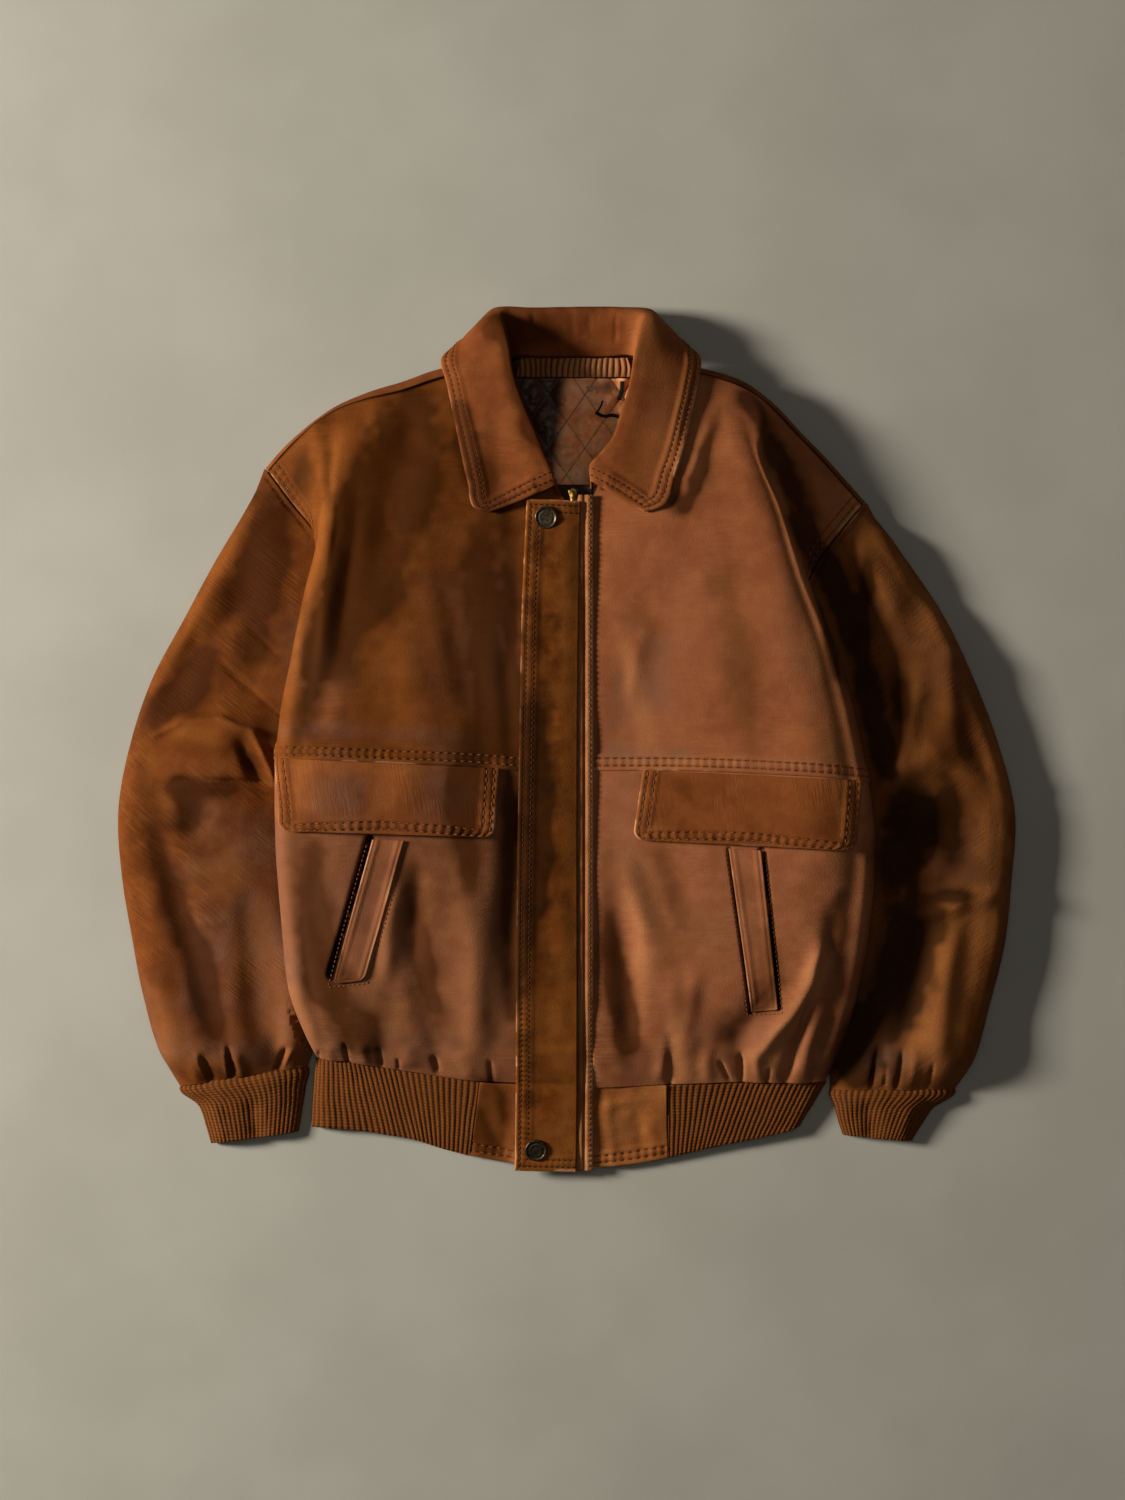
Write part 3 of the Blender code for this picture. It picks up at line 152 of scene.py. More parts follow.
# Sleeves, a row for each ring from the armhole to the cuff: outer x, y, inner x, y, crown height.
SLEEVE_RIGHT = (
    (-247, 222, -165, 18, 24), (-268, 186, -167, 5, 27), (-290, 149, -169, -10, 29),
    (-317, 99, -173, -29, 30), (-343, 50, -175, -51, 31), (-360, 0, -178, -76, 33),
    (-371, -60, -183, -109, 30), (-368, -112, -189, -146, 31), (-360, -161, -196, -182, 31),
    (-349, -215, -204, -222, 32), (-334, -262, -208, -250, 30), (-320, -286.6, -214, -269.6, 14.5),
)
SLEEVE_LEFT = (
    (244, 194, 169, 17, 24), (263, 174, 172, 3, 27), (281, 149, 174, -11, 29), (314, 99, 178, -30, 30),
    (337, 50, 180, -52, 31), (356, 0, 183, -76, 32), (371, -62, 188, -109, 30), (368, -116, 195, -146, 31),
    (363, -165, 203, -182, 31), (350, -219, 212, -222, 32), (335, -268, 218, -265, 30),
    (322, -288.6, 218, -289.4, 14.5),
)
# Cross-section of a sleeve over its top: share of the width from the outer edge, height.
SLEEVE_TOP = (
    (0, 7), (0.012, 14.5), (0.04, 20), (0.11, 24.5), (0.23, 28.2), (0.4, 31), (0.56, 29.5), (0.68, 24),
    (0.8, 17.5), (0.9, 12), (0.965, 8.5), (1, 5),
)
SLEEVE_UNDER = (
    (1, 5), (0.97, 0.8), (0.85, 0), (0.62, 0), (0.4, 0), (0.2, 0), (0.06, 0), (0.015, 2.4), (0, 7),
)
# Cuffs: outer x, y, inner x, y, height of the top.
CUFF_RIGHT = (
    (-319.8, -287.3, -214.2, -270.3, 14.3), (-304, -303, -216, -288, 14.5), (-298, -320, -219, -306, 12),
    (-294, -334, -222, -324, 10.5),
)
CUFF_LEFT = (
    (321.8, -289.3, 218.2, -290.1, 14.3), (302, -306, 222, -303, 14.5), (293, -320, 225, -315, 12),
    (286, -332, 229, -327, 10.5),
)
CUFF_TOP = ((0, 4.5), (0.06, 9), (0.2, 13), (0.5, 14.5), (0.8, 13), (0.94, 9), (1, 4.5))
CUFF_UNDER = ((1, 4.5), (0.97, 1.2), (0.9, 0), (0.5, 0), (0.1, 0), (0.03, 1.2), (0, 4.5))
# Collar, a row for each station from the right front, round the back, to the left front: the neck
# seam, the crest of the roll, the middle of the fall, and its edge.
COLLAR = (
    ((-6, 200, 48), (-9, 206, 54.5), (-36, 194, 56), (-62, 184, 54)),
    ((-8, 205, 46), (-10, 211, 55.5), (-42, 198, 56.5), (-75, 188, 54)),
    ((-16, 222, 43), (-15, 224, 56), (-47, 214, 56), (-80, 208, 53)),
    ((-27, 245, 41), (-25, 248, 56), (-57, 245, 54), (-88, 244, 48)),
    ((-40, 270, 37), (-35, 270, 56), (-66, 268, 51), (-93, 268, 41)),
    ((-49, 292, 34), (-44, 296, 54), (-74, 294, 47), (-98, 291, 36)),
    ((-48, 306, 28), (-48, 320, 48), (-80, 313, 39), (-103, 311, 28)),
    ((-44, 314, 20), (-52, 339, 41), (-81, 334, 26), (-95, 320, 12)),
    ((-38, 317.5, 12.5), (-55, 352, 29), (-71, 341, 11), (-76, 316, 2.5)),
    ((-24, 316.9, 10), (-30, 355, 23), (-36, 340, 1.5), (-38, 308, 0)),
    ((5, 316.6, 9.4), (7, 355.8, 21), (6, 339, 0.5), (5, 303, 0)),
    ((34, 316.9, 10), (42, 355, 23), (48, 340, 1.5), (50, 308, 0)),
    ((52, 317.5, 12.5), (64, 351, 29), (80, 341, 11), (86, 316, 2.5)),
    ((58, 314, 20), (61, 338, 42), (89, 334, 26), (103, 320, 12)),
    ((61, 306, 29), (57, 318, 49), (88, 313, 40), (110, 311.5, 29)),
    ((60, 292, 35), (52, 290, 54), (82, 288, 48), (107, 288, 38)),
    ((52, 268, 38), (44, 262, 56), (75, 261, 54), (101, 260, 46)),
    ((42, 248, 41), (38, 245, 56), (67, 240, 55.5), (96, 238, 50)),
    ((32, 228, 44), (28, 233, 56), (58, 222, 56.5), (89, 216, 53)),
    ((22, 212, 46), (19, 222, 55.5), (50, 206, 56.5), (78, 189, 54.5)),
    ((19, 204, 48), (20, 209, 54.5), (42, 196, 56), (63, 184.5, 54.5)),
)
# The outer turn of the roll where it stands on the surface behind the neck, by station.
COLLAR_TURN = {7: (-62, 344, 37), 8: (-61, 354.6, 21), 9: (-32, 356.4, 12), 10: (7, 356.6, 11),
               11: (45, 356.4, 12), 12: (70, 353.6, 21), 13: (70, 343, 38)}
# Storm fly over the zip: y, left x, right x, top height at its left, at its crown, at its right.
FLY = (
    (195, -32.3, 11.4, 54, 54.5, 51), (160, -34, 10.8, 55, 55.5, 52), (113, -36, 10, 55.5, 55.5, 52.5),
    (40, -37.6, 9.2, 56, 55.5, 52.5), (-16, -38.5, 8.8, 56, 55.5, 52.5), (-80, -39.6, 8.6, 56, 55.5, 52.5),
    (-150, -40.4, 8.8, 55, 54.5, 51.5), (-205, -41, 8.8, 51, 50.5, 48.5), (-240, -41.2, 8.8, 45, 44.5, 43),
    (-262, -41.4, 8.8, 37.5, 37, 36), (-284, -41.6, 8.8, 28, 28, 27.4), (-305, -41.9, 8.6, 23, 23, 22.5),
    (-330, -42.3, 8.4, 17.5, 17.5, 17), (-355.5, -42.8, 8, 12.5, 12.5, 12),
)
# Hem tabs: y and z at the top, then at the bottom, for each corner.
TAB_RIGHT = (((-71.4, -282.2, 20), (-26, -284.0, 21), (-1, -284.8, 22)),
             ((-75.5, -313, 13), (-34, -318, 14), (-1, -320, 15)),
             ((-80, -344, 6), (-42.6, -351, 6.5), (-1, -355, 7)))
TAB_LEFT = (((21.5, -286.8, 22), (46, -285.6, 21), (82.6, -284.6, 20)),
            ((21.5, -320, 15), (50, -317, 14), (83, -315, 13)),
            ((21.5, -354.6, 7), (55, -351, 6.5), (84, -346, 6)))
# Rib hem, from the right tab round the back to the left tab: top x, y, z, then bottom x, y, z.
HEM_RIB = (
    (-71.9, -283, 20, -80.4, -344, 7), (-105, -278.2, 20, -103, -338, 7.5), (-139, -273.6, 19, -125, -331, 8),
    (-166, -268.2, 19, -152, -326, 8.5), (-188, -265.6, 17.5, -184, -321.5, 9),
    (-203, -265, 13.5, -205, -320.5, 8), (-207, -265, 8, -211, -320, 4.2),
    (-200, -265.4, 2.8, -204, -319, 0.6), (-182, -265.6, 0.3, -188, -318, 0), (-150, -267, 0, -152, -318, 0),
    (-90, -270, 0, -92, -322, 0), (0, -274.7, 0, 0, -328, 0), (90, -279.4, 0, 90, -324, 0),
    (150, -282.5, 0, 148, -319, 0), (188, -284.5, 0.3, 170, -317, 0), (207, -284.6, 2.8, 184, -318, 0.6),
    (215.5, -284.2, 8, 193, -319, 4.2), (210, -284.4, 13.5, 189, -321.5, 8),
    (194, -284.6, 17.5, 173, -326, 9), (168, -284.6, 19, 150, -331, 8.5), (143, -284.6, 19, 125, -336, 8),
    (113, -285.4, 20, 104, -341, 7.5), (83.2, -286.2, 20, 84.6, -345.6, 7),
)
# Turned edge of the left front: y, height of its top; it carries the fly and the zip.
EDGE_STRIP = (
    (199, 48), (160, 50), (113, 50.5), (40, 50.5), (-16, 50.5), (-80, 50.5), (-150, 49.5), (-212, 45.5),
    (-240, 40), (-262, 32.4), (-286, 24), (-320, 17.8), (-356, 9.6),
)
# Zip: x of its middle, then y of its top, of its first tooth and of its bottom.
ZIP_X, ZIP_TOP, ZIP_FIRST_TOOTH, ZIP_BOTTOM = 5.2, 208, 198.0, -346
# Flaps and welts: corners x, y, from the first of the top row, clockwise seen from above.
FLAP_RIGHT = ((-234.5, -14.8), (-54.2, -23.2), (-58.4, -79.5), (-229.5, -73.5))
FLAP_LEFT = ((62.0, -24.4), (236.6, -33.0), (231.8, -89.6), (53.6, -81.0))
WELT_RIGHT = ((-157.0, -80.6), (-131.4, -81.6), (-163.6, -194.5), (-189.6, -198.6))
WELT_LEFT = ((131.0, -87.8), (157.2, -89.4), (171.6, -218.6), (150.4, -222.4))
# Snaps: piece, node, x, y.
SNAPS = (("cap_top", "snap_top", -16.6, 180.0), ("cap_bottom", "snap_bottom", -25.2, -337.7))
# A snap's cap from its foot over the rim to the middle: share of its radius, height.
SNAP_PROFILE = (
    (0, 0.2), (0.9, 0.2), (1, 0.7), (1.005, 1.5), (0.98, 2.2), (0.93, 2.55), (0.87, 2.6), (0.81, 2.35),
    (0.77, 1.95), (0.7, 1.8), (0.62, 1.85), (0.575, 2.1), (0.53, 2.15), (0.48, 1.95), (0.3, 2), (0.12, 2.1),
    (0, 2.12),
)
# Lining down the back: y, then its height at the right, in the middle and at the left.
LINING_ROWS = (
    (298.6, 8.6, 9.5, 8.6), (285, 6.4, 9.5, 6.6), (262, 5.4, 8, 5.6), (240, 5, 9.5, 5.2), (215, 5, 8.5, 5.2),
    (190, 5, 7, 5), (165, 4.6, 5, 4.6),
)
LINING_X = (-72, 5, 88)


class Side(Enum):
    """Edges of a panel's grid: its first and last row, and its first and last column."""
    TOP = "top"
    BOTTOM = "bottom"
    FIRST = "first"
    LAST = "last"


# ---------------------------------------------------------------- curves and surfaces

def hermite(points: np.ndarray, at: np.ndarray) -> np.ndarray:
    """Points on smooth curves: cubics through the points, with chord-weighted slopes at each.

    Args: points is (N, n, 3), one curve a row; at is (N,), counted in points.
    Returns: (N, 3).
    """
    count = points.shape[1]
    step = np.maximum(np.linalg.norm(np.diff(points, axis=1), axis=2, keepdims=True), 1e-6)
    slope = np.diff(points, axis=1) / step
    inner = (slope[:, :-1] * step[:, 1:] + slope[:, 1:] * step[:, :-1]) / (step[:, :-1] + step[:, 1:])
    tangent = np.concatenate([slope[:, :1], inner, slope[:, -1:]], axis=1)
    index = np.clip(np.floor(at).astype(int), 0, count - 2)
    f = (at - index)[:, None]
    pick = np.arange(len(at))
    h = step[pick, index]
    a, b = points[pick, index], points[pick, index + 1]
    ta, tb = tangent[pick, index] * h, tangent[pick, index + 1] * h
    return ((2 * f**3 - 3 * f**2 + 1) * a + (f**3 - 2 * f**2 + f) * ta
            + (3 * f**2 - 2 * f**3) * b + (f**3 - f**2) * tb)


def curve(points: object, at: object) -> np.ndarray:
    """One smooth curve through points, at the parameters at, counted in points."""
    at = np.asarray(at, float)
    return hermite(np.repeat(np.asarray(points, float)[None], len(at), axis=0), at)


def curves(points: np.ndarray, at: np.ndarray) -> np.ndarray:
    """Many smooth curves at shared parameters: points (K, n, 3), at (V,), to (V, K, 3)."""
    many, k = len(at), points.shape[0]
    return hermite(np.tile(points, (many, 1, 1)), np.repeat(at, k)).reshape(many, k, 3)


def grid_surface(table: object, us: object, vs: object) -> np.ndarray:
    """Smooth surface through a table: curves across every row, then curves down those points.

    Args: table is rows by columns by 3; us and vs are counted in columns and rows.
    Returns: (len(vs), len(us), 3).
    """
    across = curves(np.asarray(table, float), np.asarray(us, float))
    return curves(across, np.asarray(vs, float))


def scattered(table: np.ndarray, u: np.ndarray, v: np.ndarray) -> np.ndarray:
    """The same surface at N separate places: u and v are (N,), to (N, 3)."""
    rows = table.shape[0]
    spread = np.repeat(table[None], len(u), axis=0).reshape(-1, table.shape[1], 3)
    return hermite(hermite(spread, np.repeat(u, rows)).reshape(len(u), rows, 3), v)


def normals(points: np.ndarray, wrap: bool = False) -> np.ndarray:
    """Unit normals of a grid: the cross product of the differences along its columns and rows."""
    if wrap:
        ring = np.concatenate([points[:, -1:], points, points[:, :1]], axis=1)
        du = ring[:, 2:] - ring[:, :-2]
    else:
        du = np.gradient(points, axis=1)
    return unit(np.cross(du, np.gradient(points, axis=0)))


def facing(n: np.ndarray, row: int, column: int, sign: int) -> np.ndarray:
    """The normals n, all turned so that the one at row and column has that sign of z."""
    return n * (1 if n[row, column, 2] * sign > 0 else -1)


def unit(v: np.ndarray) -> np.ndarray:
    """Vectors of length 1 along the last axis."""
    return v / np.maximum(np.linalg.norm(v, axis=-1, keepdims=True), 1e-9)


def lengths(line: np.ndarray) -> np.ndarray:
    """Length along a line of points, from its first point to each."""
    return np.concatenate([[0], np.cumsum(np.linalg.norm(np.diff(line, axis=0), axis=-1))])


def lifted(points: np.ndarray, low: float = 0.0) -> np.ndarray:
    """The points themselves, with none of them below low."""
    points[..., 2] = np.maximum(points[..., 2], low)
    return points


def smooth(x: np.ndarray, low: float, high: float) -> np.ndarray:
    """0 below low, 1 above high, and a cubic ease between them."""
    t = np.clip((x - low) / (high - low), 0, 1)
    return t * t * (3 - 2 * t)


def noise(p: np.ndarray, size: float, seed: int) -> np.ndarray:
    """Smooth value noise from -1 to 1: hashed corners of a cubic lattice, blended with an ease.

    Args: p is (..., 3) in mm; size is the lattice step; seed picks the pattern.
    Returns: one value for each point.
    """
    q = p / size + seed * 7.31
    i = np.floor(q).astype(np.int64)
    f = q - i
    f = f * f * (3 - 2 * f)
    total = np.zeros(p.shape[:-1])
    for corner in range(8):
        o = np.array([corner & 1, corner >> 1 & 1, corner >> 2 & 1])
        c = i + o
        h = (c[..., 0] * 73856093) ^ (c[..., 1] * 19349663) ^ (c[..., 2] * 83492791) ^ (seed * 2654435761)
        h = ((h ^ (h >> 13)) * 1274126177) & 0xFFFFFFFF
        weight = np.prod(np.where(o, f, 1 - f), axis=-1)
        total += weight * ((h >> 8 & 0xFFFF) / 32767.5 - 1)
    return total


def folded(points: np.ndarray, folds: object) -> np.ndarray:
    """Height added by soft ridges and troughs: height x exp(-(distance from the line / half width)^2).

    Args: folds are rows of x, y from, x, y to, half width and height.
    Returns: one height for each point.
    """
    out = np.zeros(points.shape[:-1])
    for x0, y0, x1, y1, half, height in folds:
        a, d = np.array((x0, y0), float), np.array((x1 - x0, y1 - y0), float)
        t = np.clip(((points[..., :2] - a) @ d) / (d @ d), 0, 1)
        off = np.linalg.norm(points[..., :2] - a - t[..., None] * d, axis=-1)
        out += height * np.exp(-(off / half) ** 2)
    return out


def creased(points: np.ndarray, creases: object, seed: int) -> np.ndarray:
    """Height added by creases that wander, swell and die away along their length.

    The height falls off as exp(-(distance / half width)^sharp), and the line is bent by noise of
    about half of its width.

    Args: creases are rows of x, y from, x, y to, half width, height and sharpness.
    Returns: one height for each point.
    """
    out = np.zeros(points.shape[:-1])
    for k, (x0, y0, x1, y1, half, height, sharp) in enumerate(creases):
        a, d = np.array((x0, y0), float), np.array((x1 - x0, y1 - y0), float)
        long = np.hypot(*d)
        t = ((points[..., :2] - a) @ d) / long**2
        side = (points[..., 0] - a[0]) * -d[1] / long + (points[..., 1] - a[1]) * d[0] / long
        near = (np.abs(side) < half * 3.5) & (t > -0.7) & (t < 1.7)
        if not near.any():
            continue
        p, tn = points[near], t[near]
        wander = noise(p, long * 0.45 + 8, seed + k) * half * 0.45
        swell = 1 + 0.3 * noise(p, long * 0.3 + 6, seed + k + 50)
        fade = smooth(tn, -0.25, 0.25) * (1 - smooth(tn, 0.75, 1.25))
        out[near] += height * swell * fade * np.exp(-(np.abs(side[near] + wander) / half) ** sharp)
    return out


def spaced(low: float, high: float, count: int, first: float = 1.0, last: float = 1.0) -> np.ndarray:
    """Parameters from low to high, closer together towards the two ends.

    Args: count is how many; first and last are how much closer they lie at each end.
    Returns: (count,).
    """
    t = np.linspace(0, 1, 400)
    dense = 1 + (first - 1) * np.exp(-(t / 0.09) ** 2) + (last - 1) * np.exp(-((1 - t) / 0.09) ** 2)
    total = np.concatenate([[0], np.cumsum((dense[1:] + dense[:-1]) / 2)])
    return low + (high - low) * np.interp(np.linspace(0, total[-1], count), total, t)


class HeightMap:
    """Highest or lowest height of a set of points over each square of the floor."""
    HALF_X, HALF_Y = 400, 390      # how far it reaches from the middle
    UNKNOWN = 1e6                  # height of a square that no point lies over

    def __init__(self, clouds: list, lowest: bool = False, pitch: float = 2.0) -> None:
        """Drop every point into its square, then close the holes from the neighbours.

        Args: clouds are arrays of points; lowest asks for the lowest height; pitch is a square's side.
        """
        self.pitch = pitch
        self.nx, self.ny = int(2 * self.HALF_X / pitch), int(2 * self.HALF_Y / pitch)
        self.empty = self.UNKNOWN if lowest else -self.UNKNOWN
        height = np.full((self.ny, self.nx), self.empty)
        pick = np.minimum if lowest else np.maximum
        for cloud in clouds:
            p = cloud.reshape(-1, 3)
            ix, iy = self.cell(p[:, 0], p[:, 1])
            pick.at(height, (np.round(iy).astype(int), np.round(ix).astype(int)), p[:, 2])
        for _ in range(2):
            best = height.copy()
            for dy, dx in ((0, 1), (0, -1), (1, 0), (-1, 0)):
                best = pick(best, np.roll(height, (dy, dx), axis=(0, 1)))
            height = np.where(height == self.empty, best, height)
        self.height = height

    def cell(self, x: np.ndarray, y: np.ndarray) -> tuple:
        """Fractional column and row of a place."""
        return (np.clip((x + self.HALF_X) / self.pitch, 0, self.nx - 2),
                np.clip((y + self.HALF_Y) / self.pitch, 0, self.ny - 2))

    def at(self, x: np.ndarray, y: np.ndarray) -> np.ndarray:
        """Height at a place: the mean of the known ones of the four squares round it, by nearness.

        Args: x and y are arrays of one shape.
        Returns: an array of that shape.
        """
        ix, iy = self.cell(x, y)
        i, j = ix.astype(int), iy.astype(int)
        fx, fy = ix - i, iy - j
        four = np.stack([self.height[j + b, i + a] for b in (0, 1) for a in (0, 1)])
        known = four != self.empty
        w = np.stack([(1 - fy) * (1 - fx), (1 - fy) * fx, fy * (1 - fx), fy * fx]) * known
        some = w.sum(axis=0)
        value = (w * np.where(known, four, 0)).sum(axis=0) / np.maximum(some, 1e-6)
        return np.where(some > 1e-3, value, self.empty)


def kept_above(z: np.ndarray, floor: np.ndarray, soft: float = 1.0) -> np.ndarray:
    """Soft maximum of two heights: their mean plus half of sqrt(difference^2 + soft^2)."""
    floor = np.maximum(floor, -1e3)
    return (z + floor + np.sqrt((z - floor) ** 2 + soft**2)) / 2


def kept_below(z: np.ndarray, roof: np.ndarray, soft: float = 1.0) -> np.ndarray:
    """Soft minimum of two heights."""
    return -kept_above(-z, -roof, soft)


# ---------------------------------------------------------------- meshes

def put_mesh(name: str, verts: np.ndarray, faces: object, finish: object) -> bpy.types.Object:
    """A shown piece from millimetre points, riding on the one body, with its finish.

    Args: verts is (N, 3); faces is an (F, 4) or (F, 3) array, or a list of such arrays.
    Returns: the piece.
    """
    groups = faces if isinstance(faces, list) else [faces]
    mesh = bpy.data.meshes.new(name)
    loops = np.concatenate([g.ravel() for g in groups]).astype(np.int32)
    sizes = np.concatenate([np.full(len(g), g.shape[1]) for g in groups]).astype(np.int32)
    mesh.vertices.add(len(verts))
    mesh.vertices.foreach_set("co", (np.asarray(verts, float) * MM).astype(np.float32).ravel())
    mesh.loops.add(len(loops))
    mesh.loops.foreach_set("vertex_index", loops)
    mesh.polygons.add(len(sizes))
    mesh.polygons.foreach_set("loop_start", np.concatenate([[0], np.cumsum(sizes)[:-1]]).astype(np.int32))
    mesh.polygons.foreach_set("use_smooth", np.ones(len(sizes), bool))
    mesh.update(calc_edges=True)
    mesh.validate()
    mesh.materials.append(made(finish))
    obj = bpy.data.objects.new(name, mesh)
    bpy.context.scene.collection.objects.link(obj)
    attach(obj, "root")
    LOG.info("%s: %d points, %d faces", name, len(verts), len(sizes))
    return obj


def volume(verts: np.ndarray, faces: np.ndarray) -> float:
    """Six times the signed volume inside triangles: the sum of a.(b x c) over them."""
    a, b, c = verts[faces[:, 0]], verts[faces[:, 1]], verts[faces[:, 2]]
    return np.einsum("ij,ij->i", a, np.cross(b, c)).sum()


def shell(outer: np.ndarray, inner: np.ndarray, wrap: bool = False, skip: int = 3) -> tuple:
    """A closed thin body between two grids, with a face round each free edge.

    The inner wall, which hardly shows, keeps every skip-th point; each rim face joins one of its
    edges to the skip edges of the outer wall beside it.

    Args: outer and inner are (rows, columns, 3); wrap joins the last column to the first.
    Returns: its points, its faces as a list of arrays, and which grid points the inner wall keeps.
    """
    rows, cols = outer.shape[:2]
    size = rows * cols
    at = np.arange(size).reshape(rows, cols)
    kept = at[::skip, ::skip]
    new = size + np.arange(kept.size).reshape(kept.shape)
    verts = np.concatenate([outer.reshape(-1, 3), inner.reshape(-1, 3)[kept.ravel()]])

    def quads(index: np.ndarray, turn: int) -> np.ndarray:
        """Quads between neighbours of an index grid, turned over where turn is -1."""
        nxt = np.roll(index, -1, axis=1) if wrap else index[:, 1:]
        now = index if wrap else index[:, :-1]
        return np.stack([now[:-1], nxt[:-1], nxt[1:], now[1:]], axis=-1).reshape(-1, 4)[:, ::turn]

    def rim(fine: np.ndarray, coarse: np.ndarray, turn: int, closed: bool) -> np.ndarray:
        """Faces between a fine edge and the coarse edge beside it."""
        if closed:
            fine, coarse = np.append(fine, fine[0]), np.append(coarse, coarse[0])
        starts = np.arange(len(coarse) - 1)[:, None] * skip
        run = fine[starts + np.arange(skip + 1)[None]]
        return np.concatenate([run[:, ::-1], coarse[:-1, None], coarse[1:, None]], axis=1)[:, ::turn]

    rims = [rim(at[0], new[0], 1, wrap), rim(at[-1], new[-1], -1, wrap)]
    if not wrap:
        rims += [rim(at[:, 0], new[:, 0], -1, False), rim(at[:, -1], new[:, -1], 1, False)]
    return verts, [quads(at, 1), quads(new, -1)] + rims, kept.ravel()


def across_all(grid: np.ndarray) -> np.ndarray:
    """Area vectors of a grid's cells: half the cross product of their diagonals."""
    return np.cross(grid[1:, 1:] - grid[:-1, :-1], grid[1:, :-1] - grid[:-1, 1:]) / 2


def cloth(name: str, outer: np.ndarray, inner: np.ndarray, finish: object, node: str, tone: np.ndarray,
          seam: np.ndarray = None, wrap: bool = False, skip: int = 3, whole: bool = True) -> bpy.types.Object:
    """A thin shell with its finish and its painted values, in the place of its node.

    Its faces are turned over where the grid's own normals point from the outer wall to the inner.

    Args: outer and inner are grids of points; tone and seam are the values painted on them; whole
    is false for a small piece that shares its node with another.
    Returns: the piece.
    """
    verts, faces, kept = shell(outer, inner, wrap, skip)
    gap = (outer - inner)[1:-1, 1:-1].reshape(-1, 3)
    across = np.cross(np.gradient(outer, axis=1), np.gradient(outer, axis=0))[1:-1, 1:-1].reshape(-1, 3)
    if (gap * across).sum() < 0:
        faces = [f[:, ::-1] for f in faces]
    obj = put_mesh(name, verts, faces, finish)
    if whole:
        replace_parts(obj, node)
    LOG.info("%s: %.4f square metres", name, np.linalg.norm(across_all(outer), axis=-1).sum() * 1e-6)
    for label, grid in (("tone", tone), ("seam", seam)):
        if grid is not None:
            flat = grid.reshape(-1, 3)
            layer = obj.data.attributes.new(label, "FLOAT_VECTOR", "POINT")
            layer.data.foreach_set("vector", np.concatenate([flat, flat[kept]]).astype(np.float32).ravel())
    return obj


def edge_field(points: np.ndarray, side: Side) -> tuple:
    """For each point of a grid: how far along an edge it is, and how far in from that edge.

    Both are lengths along the grid's own lines, added up from point to point.

    Args: points is (rows, columns, 3).
    Returns: run and depth, each (rows, columns).
    """
    grid = points if side in (Side.TOP, Side.BOTTOM) else points.transpose(1, 0, 2)
    flip = side in (Side.BOTTOM, Side.LAST)
    grid = grid[::-1] if flip else grid
    step = np.linalg.norm(np.diff(grid, axis=0), axis=-1)
    depth = np.concatenate([np.zeros((1, grid.shape[1])), np.cumsum(step, axis=0)])
    run = np.repeat(lengths(grid[0])[None], grid.shape[0], axis=0)
    if flip:
        depth, run = depth[::-1], run[::-1]
    if side in (Side.FIRST, Side.LAST):
        depth, run = depth.T, run.T
    return run, depth


@dataclass(frozen=True)
class Trim:
    """A turned and topstitched edge of a panel.

    side is the edge, first how far in its first row of stitches lies, double whether a second row
    runs ROW_GAP further in, roll how thick the turned edge stands, pucker how deep the leather is
    drawn up between stitches, pitch the stitch, and span the share of the edge that has it.
    """
    side: Side
    first: float = 4.4
    double: bool = True
    roll: float = 1.2
    pucker: float = 0.4
    pitch: float = PITCH
    span: tuple = (0.0, 1.0)
    thread: bool = True

    def rows(self) -> tuple:
        """Distances of the rows of stitches from the edge."""
        return (self.first, self.first + ROW_GAP) if self.double else (self.first,)


def trimmed(points: np.ndarray, trims: tuple, seed: int) -> tuple:
    """What the stitched edges of a panel do to it, from the nearest edge at each point.

    The turned edge stands up by its roll and falls off past the last row; each row is a groove; and
    between stitches the leather is drawn into short ridges across the seam, uneven along it.

    Args: points is a grid, and trims the stitched edges that it has.
    Returns: the height to add, the seam value for the finish (stitch count, rows in, strength), the
    distance from the nearest trimmed edge, and each trim's own run and depth.
    """
    shape = points.shape[:2]
    height, seam = np.zeros(shape), np.zeros(shape + (3,))
    seam[..., 1] = 9
    nearest = np.full(shape, 1e3)
    fields = [edge_field(points, t.side) for t in trims]
    for trim, (run, depth) in zip(trims, fields):
        rows = trim.rows()
        share = run / max(run.max(), 1e-6)
        low, high = trim.span
        window = smooth(share, low - 0.01, low + 0.01) if low > 0 else np.ones(shape)
        window = window * (1 - smooth(share, high - 0.01, high + 0.01) if high < 1 else 1.0)
        own = (depth < nearest) & (window > 0.02)
        uneven = 0.75 + 0.5 * noise(points, 17.0, seed + 3)
        count = run / trim.pitch
        band = np.exp(-((depth - np.mean(rows)) / (ROW_GAP * 0.62)) ** 4) if trim.double \
            else np.exp(-((depth - rows[0]) / 3.2) ** 2)
        wave = np.cos(2 * np.pi * count) * -1 + 0.5 * noise(points, 3.4, seed + 9)
        round_off = np.sqrt(np.clip(1 - np.clip(1 - depth / 2.2, 0, 1) ** 2, 0, 1))
        lift = trim.roll * (round_off - 0.55) + trim.roll * 0.55
        lift = lift * (1 - smooth(depth, rows[-1] + 0.6, rows[-1] + 6.0))
        groove = sum(np.exp(-((depth - r) / 1.25) ** 2) for r in rows) * min(0.55, trim.roll * 0.6)
        value = (lift - groove + trim.pucker * uneven * band * wave) * window
        height = np.where(own, value, height)
        strength = window * (1.0 if trim.double else 0.5) * trim.thread
        own_seam = np.stack([count, (depth - rows[0]) / ROW_GAP, strength], axis=-1)
        seam = np.where(own[..., None], own_seam, seam)
        nearest = np.where(own, depth, nearest)
    return height, seam, nearest, fields


